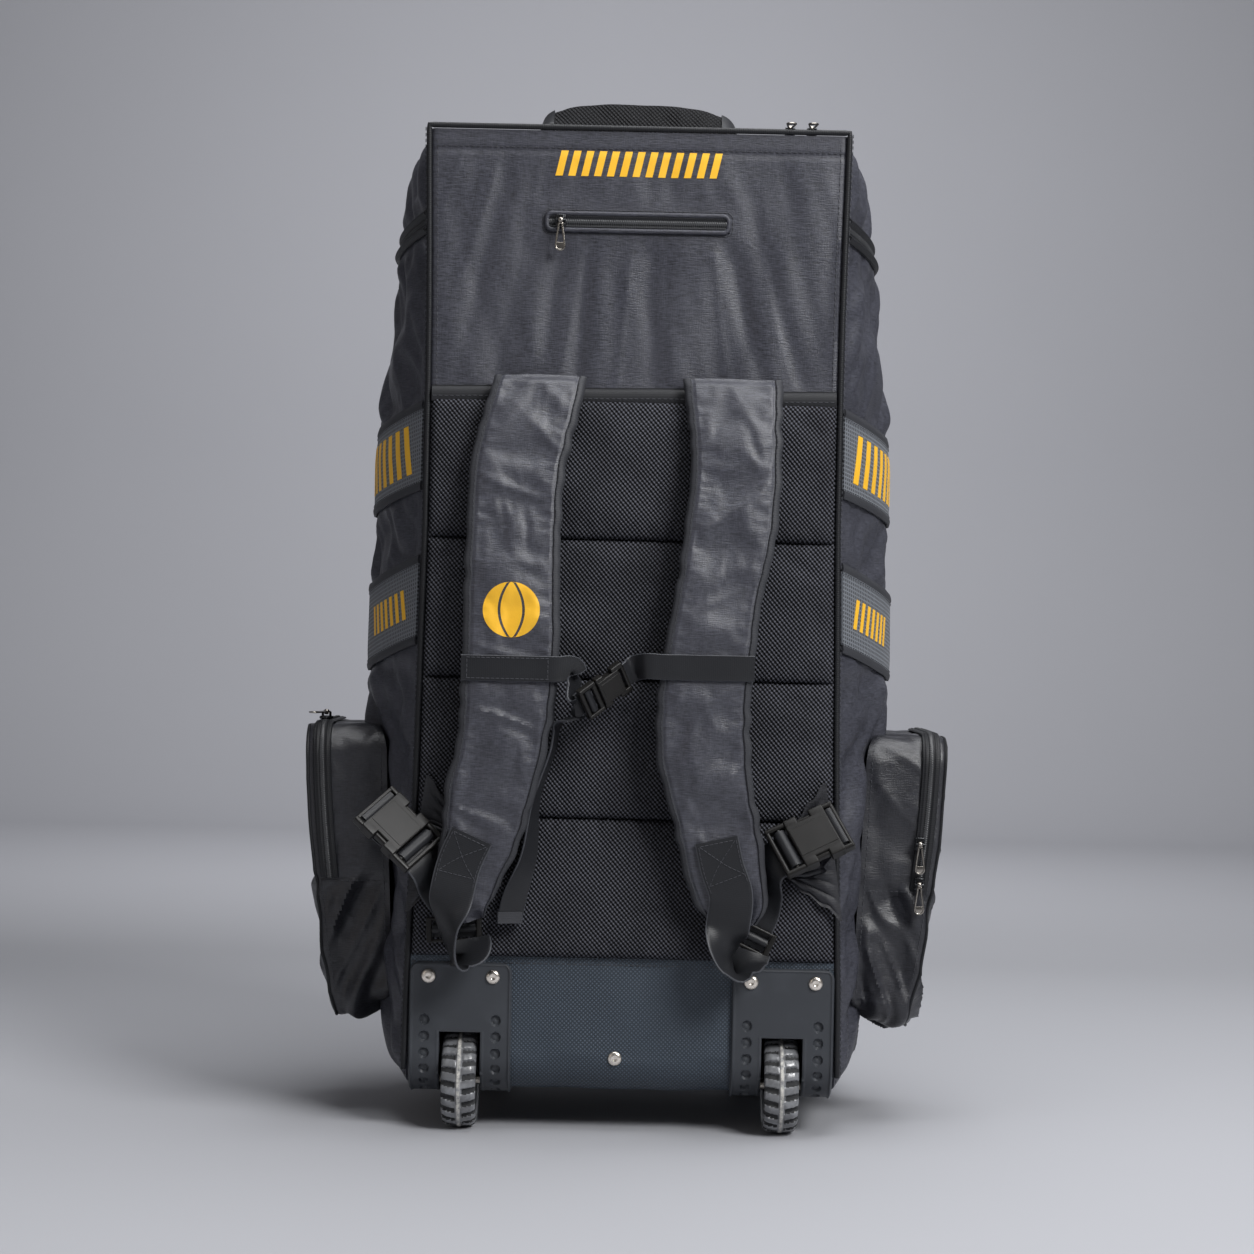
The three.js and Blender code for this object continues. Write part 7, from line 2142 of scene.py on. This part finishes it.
class KITBAG_OT_base(bpy.types.Operator):
    """Corner plates with dimples and wheel wells, wheels, rivets, and finishes of the plain base parts"""

    bl_idname = "kitbag.base"
    bl_label = "Base and wheels"

    def execute(self, context):
        for label, side in (("left", -1), ("right", 1)):
            name = f"wheel_plate_{label}"
            make(name, [self.plate(side), *self.well(side)], finishes("plate"), [name])
            wheel_at = (side * WHEEL_SPACING, BACK_Y + WHEEL_BACK, WHEEL_RADIUS)
            name = f"wheel_{label}"
            names = finishes("tyre", "moulded", "painted_groove_shade")
            make(name, [moved(tyre(), wheel_at)], names, [name], body=name)
            for which, sign in (("outer", 1), ("inner", -1)):
                x = side * (WHEEL_SPACING + sign * RIVET_SIDE)
                self.rivet(f"rivet_{label}_{which}", (x, BACK_Y - PLATE_FAR - SEAM, RIVET_HEIGHT))
            self.keep(f"axle_{label}", "nickel", "nickel")
            self.keep(f"foot_{label}", "plate", "buckle_plastic", bevel=3)
        self.rivet("rivet_centre", (CENTRE_RIVET["x"], BACK_Y - CLOTH_OUT - SEAM, CENTRE_RIVET["z"]))
        self.keep("base_panel", "coated", "coated_cloth")
        return {"FINISHED"}

    def plate(self, side):
        """The plate: its outline narrows by a quarter circle at the top corners, a lip stands up along its
        edge, and round dimples sink into two columns."""
        s, line, out = plate_line()
        corner = np.clip(PLATE_CORNER - s, 0, PLATE_CORNER)
        full_half = PLATE_WIDTH / 2
        half = full_half - PLATE_CORNER + np.sqrt(PLATE_CORNER**2 - corner**2)
        slot_edge = WELL_HALF / full_half
        slot_u = np.linspace(-WELL_HALF + 1.5, WELL_HALF - 1.5, 13) / full_half
        u = np.concatenate([np.linspace(-1, -slot_edge, 40), slot_u, np.linspace(slot_edge, 1, 40)])
        x = u[None, :] * half[:, None]
        distance = np.minimum(half[:, None] - np.abs(x), s[:, None])
        lip = 1.1 * np.exp(-(((distance - 1.8) / 1.0) ** 2)) - 1.2 * (1 - smoothstep(0, 1, distance))
        rim = 0.5 * np.exp(-(((np.abs(x) - WELL_HALF - 1.6) / 0.8) ** 2)) * (line[:, 1:] < WELL_TOP)
        height = lip + rim
        first = PLATE_TOP - DIMPLE_TOP
        for i in range(DIMPLE_ROWS):
            for sign in (-1, 1):
                dx = x - sign * DIMPLE_SIDE
                ds = s[:, None] - first - i * DIMPLE_PITCH
                edge = smoothstep(DIMPLE_RADIUS - 0.8, DIMPLE_RADIUS, np.hypot(dx, ds))
                pip = 0.9 * np.exp(-((np.hypot(dx + 0.8, ds - 0.8) / 2.2) ** 2))
                height = height - DIMPLE_DEPTH * (1 - edge) + pip
        place = x + side * WHEEL_SPACING
        outer = points_of(place, line[:, :1] + out[:, :1] * height, line[:, 1:] + out[:, 1:] * height)
        inner = line - out * PLATE_THICKNESS
        back = points_of(place, inner[:, :1], inner[:, 1:])
        middle = (line[1:] + line[:-1]) / 2
        low = (middle[:, 1] < WELL_TOP) & (middle[:, 0] < WELL_FRONT)
        narrow = np.abs((u[1:] + u[:-1]) / 2) < slot_edge
        return shell(outer, back, ~(low[:, None] & narrow[None, :]))

    def well(self, side):
        """The wheel's well: two side walls that follow the plate's edge, a roof and a far wall."""
        low_y, high_y = BACK_Y - PLATE_NEAR, WELL_FRONT
        bottom = BASE_Z - PLATE_NEAR
        middle = side * WHEEL_SPACING
        span = WELL_HALF + WELL_WALL
        far_y, roof = high_y + WELL_WALL, WELL_TOP + WELL_WALL
        turn_y = BACK_Y + 14
        blocks = [
            (-span, -WELL_HALF, turn_y, far_y, bottom, roof),
            (WELL_HALF, span, turn_y, far_y, bottom, roof),
            (-span, -WELL_HALF, low_y, turn_y, BASE_Z + 12, roof),
            (WELL_HALF, span, low_y, turn_y, BASE_Z + 12, roof),
            (-span, span, low_y, far_y, WELL_TOP, roof),
            (-span, span, high_y, far_y, bottom, roof),
        ]
        return [slab(middle + a, middle + b, c, d, e, f) for a, b, c, d, e, f in blocks]

    def rivet(self, name, at):
        """A rivet's head: a domed flange with a dimple in its middle."""
        r = RIVET_RADIUS
        radii = np.array([0, 0.12, 0.24, 0.3, 0.36, 0.46, 0.6, 0.74, 0.88, 0.97, 1, 1, 0]) * r
        heights = (1.95, 1.98, 2.1, 2.35, 2.5, 2.52, 2.4, 2.1, 1.5, 0.9, 0.5, 0, 0)
        axes = ((1, 0, 0), (0, 0, 1), (0, -1, 0))
        make(name, [moved(revolve(radii, heights), at, axes)], finishes("nickel"), [name])

    def keep(self, name, finish_name, slot, bevel=0.0):
        """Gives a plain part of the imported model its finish, and eases its edges."""
        piece = frame["nodes"][name]
        piece.data.materials.clear()
        piece.data.materials.append(finish(finish_name))
        if bevel:
            piece.modifiers.new("Weld", "WELD").merge_threshold = 1e-5
            eased = piece.modifiers.new("Bevel", "BEVEL")
            eased.width = bevel * MM
            eased.segments = 3
            eased.limit_method = "ANGLE"


def slab(x0, x1, y0, y1, z0, z1, number=0):
    """A plain wall between two corners."""
    x, y = np.array([(x0, y0), (x1, y0), (x1, y1), (x0, y1)], float).T
    return hoop(points_of(x, y, np.array([[z0], [z1]], float)), number)


def tyre_profile_length():
    """How far it is across the tyre's whole profile, in millimetres."""
    table = np.array(TYRE_PROFILE, float)
    half = np.stack([table[:, 0] * WHEEL_WIDTH / 2, table[:, 1] * WHEEL_RADIUS], -1)
    return 2 * np.linalg.norm(np.diff(half, axis=0), axis=1).sum()


def tyre():
    """A tyre on its hub: a profile turned about X, cut by grooves across each shoulder. A groove is where a
    cosine of the angle falls below a threshold, and the two sides are half a block apart."""
    table = np.array(TYRE_PROFILE, float)
    whole = np.concatenate([table[::-1] * (-1, 1, 1), table[1:]])
    fine = np.linspace(0, len(whole) - 1, 4 * (len(whole) - 1) + 1)
    out, radius, tread = (np.interp(fine, range(len(whole)), whole[:, k]) for k in range(3))
    angle = np.linspace(0, 2 * np.pi, 361)[:, None]
    phase = np.where(out < 0, 0, np.pi)[None, :]
    lean = 0.07 * np.abs(out)[None, :]
    groove = smoothstep(0.15, 0.5, -np.cos(TREAD_BLOCKS * (angle + lean) + phase))
    bulge = 0.006 * np.cos(TREAD_BLOCKS * (angle + lean) + phase) * (tread > 0.02)
    r = (radius - tread * groove + bulge) * WHEEL_RADIUS
    r = np.minimum(r, WHEEL_RADIUS)
    grid = points_of(out * WHEEL_WIDTH / 2, r * np.cos(angle), r * np.sin(angle))
    grid = np.concatenate([grid, grid[:, :1]], 1)
    near_hub = np.interp(fine, range(len(whole)), whole[:, 1]) < 0.6
    hub = np.append(near_hub[1:] & near_hub[:-1], True).astype(int)
    # Cells deep in a groove take finish 2, the painted shade of the grooves.
    sunk = (groove * (tread > 0.02))[:-1]
    sunk = np.concatenate([(sunk[:, 1:] + sunk[:, :-1]) / 2, 0 * sunk[:, :1]], 1)
    return tile(grid, np.where(sunk > 0.6, 2, hub))


# The row of bars: its ends and heights, how many, the share of the pitch that is ink, and the slant
PANEL_BARS = {"left": -70, "right": 75, "low": 832, "high": 854, "count": 13, "wide": 0.56, "slant": 5}


class KITBAG_OT_prints(bpy.types.Operator):
    """Plain slanted bars printed on the upper panel"""

    bl_idname = "kitbag.prints"
    bl_label = "Printed bars"

    def execute(self, context):
        bars = PANEL_BARS
        bottom = PAD_TOP + SEAM
        pitch = (bars["right"] - bars["left"]) / bars["count"]
        up = np.linspace(0, 1, 10)[:, None]
        over = np.linspace(0, 1, 6)[None, :]
        z = bars["low"] + (bars["high"] - bars["low"]) * up + 0 * over
        parts = []
        for i in range(bars["count"]):
            x = bars["left"] + i * pitch + over * pitch * bars["wide"] + (up - 0.5) * bars["slant"]
            across = x / back_half(z)
            share = (z - bottom) / (TOP_Z - bottom)
            parts.append(shell(upper_surface(across, share, 0.35), upper_surface(across, share, -0.3)))
        make("panel_print", parts, finishes("printed"))
        return {"FINISHED"}


class KITBAG_OT_pulls(bpy.types.Operator):
    """Zip pulls, each an open loop on the bar of its slider"""

    bl_idname = "kitbag.pulls"
    bl_label = "Zip pulls"

    def execute(self, context):
        for name, (pivot, axes) in PULL_PLACES.items():
            part = moved(pull_loop(), pivot, axes)
            make(name, [part], finishes("pull"), [name], body=name)
        return {"FINISHED"}


# Stage


CAMERA = {"x": -2.1, "away": 2400, "z": 441, "lens": 79.2, "sensor": 36, "roll": 1.2}
FLOOR_HALF = 9000
BACKDROP_FAR = 3300
BACKDROP_ROUND = 900
BACKDROP_TOP = 6500
AIR = {"colour": "#CBCBCF", "strength": 0.17}

# Lamps, as (name, place, what it faces, width and height, watts, tint)
LAMPS = (
    ("key", (1700, -2100, 2300), (60, 0, 450), (1300, 1100), 92, "#FFFFFF"),
    ("fill", (-2300, -2100, 1300), (0, 0, 400), (1800, 1800), 5, "#FFF6EE"),
    ("overhead", (300, -200, 2700), (150, -150, 300), (2200, 1600), 60, "#FCFDFF"),
    ("wall", (-60, 1800, 1800), (-60, 4200, 900), (1100, 500), 32, "#FCFCFF"),
)


class KITBAG_OT_stage(bpy.types.Operator):
    """Pale floor and backdrop in one sweep, soft studio lights and the camera"""

    bl_idname = "kitbag.stage"
    bl_label = "Studio"

    def execute(self, context):
        self.backdrop()
        self.lights()
        self.camera(context)
        return {"FINISHED"}

    def backdrop(self):
        """A floor that turns up in a quarter circle into a wall."""
        angle = np.linspace(0, np.pi / 2, 24)
        far = BACKDROP_FAR + BACKDROP_ROUND
        y = np.concatenate([[-FLOOR_HALF], BACKDROP_FAR + BACKDROP_ROUND * np.sin(angle), [far]])
        z = np.concatenate([[0], BACKDROP_ROUND * (1 - np.cos(angle)), [BACKDROP_TOP]])
        x = np.array([-FLOOR_HALF, FLOOR_HALF], float)
        grid = points_of(x[None, :], y[:, None], z[:, None])
        material, tree, shader = new_finish("Painted studio floor", 0.75)
        dust = noise(tree, object_point(tree), 1.2, 4)
        base = mixed(tree, dust, shade(colours().floor, 0.97), shade(colours().floor, 1.03))
        tree.links.new(base, shader.inputs["Base Color"])
        piece = make("studio_sweep", [tile(grid)], [material], body=None)

    def lights(self):
        for name, at, to, size, energy, tint in LAMPS:
            data = bpy.data.lights.new(name, "AREA")
            data.shape = "RECTANGLE"
            data.size, data.size_y = size[0] * MM, size[1] * MM
            data.energy = energy
            data.color = to_linear(tint)
            lamp = bpy.data.objects.new(name, data)
            lamp.location = Vector(at) * MM
            lamp.rotation_euler = (Vector(to) - Vector(at)).to_track_quat("-Z", "Y").to_euler()
            bpy.context.scene.collection.objects.link(lamp)
        world = bpy.data.worlds.new("Studio air")
        world.use_nodes = True
        air = world.node_tree.nodes["Background"]
        air.inputs["Color"].default_value = (*to_linear(AIR["colour"]), 1)
        air.inputs["Strength"].default_value = AIR["strength"]
        bpy.context.scene.world = world
        bpy.context.scene.view_settings.view_transform = "Standard"

    def camera(self, context):
        data = bpy.data.cameras.new("photo_camera")
        data.lens, data.sensor_width = CAMERA["lens"], CAMERA["sensor"]
        data.clip_end = 60
        camera = bpy.data.objects.new("photo_camera", data)
        c, s = math.cos(math.radians(CAMERA["roll"])), math.sin(math.radians(CAMERA["roll"]))
        at = Vector((CAMERA["x"], BACK_Y - CAMERA["away"], CAMERA["z"])) * MM
        turn = Matrix(((c, -s, 0, at.x), (0, 0, -1, at.y), (s, c, 0, at.z), (0, 0, 0, 1)))
        camera.matrix_world = turn
        context.scene.collection.objects.link(camera)
        context.scene.camera = camera


class KITBAG_PT_panel(bpy.types.Panel):
    bl_label = "Kit bag"
    bl_idname = "KITBAG_PT_panel"
    bl_space_type = "VIEW_3D"
    bl_region_type = "UI"
    bl_category = "Kit bag"

    def draw(self, context):
        for operator in OPERATORS:
            self.layout.operator(operator.bl_idname)
        for group in (sizes(), colours()):
            box = self.layout.box()
            for name in group.__annotations__:
                box.prop(group, name)


OPERATORS = (
    KITBAG_OT_stage,
    KITBAG_OT_body,
    KITBAG_OT_back,
    KITBAG_OT_bands,
    KITBAG_OT_zips,
    KITBAG_OT_pockets,
    KITBAG_OT_straps,
    KITBAG_OT_harness,
    KITBAG_OT_handle,
    KITBAG_OT_base,
    KITBAG_OT_prints,
    KITBAG_OT_pulls,
)
CLASSES = (KitBagSizes, KitBagColours, *OPERATORS, KITBAG_PT_panel)


def register():
    for cls in CLASSES:
        bpy.utils.register_class(cls)
    bpy.types.Scene.kit_bag_sizes = PointerProperty(type=KitBagSizes)
    bpy.types.Scene.kit_bag_colours = PointerProperty(type=KitBagColours)


def unregister():
    del bpy.types.Scene.kit_bag_colours
    del bpy.types.Scene.kit_bag_sizes
    for cls in reversed(CLASSES):
        bpy.utils.unregister_class(cls)


def main():
    register()
    for operator in OPERATORS:
        group, name = operator.bl_idname.split(".")
        result = getattr(getattr(bpy.ops, group), name)()
        if result != {"FINISHED"}:
            raise RuntimeError(f"{operator.bl_label} did not finish")


if __name__ == "__main__":
    main()
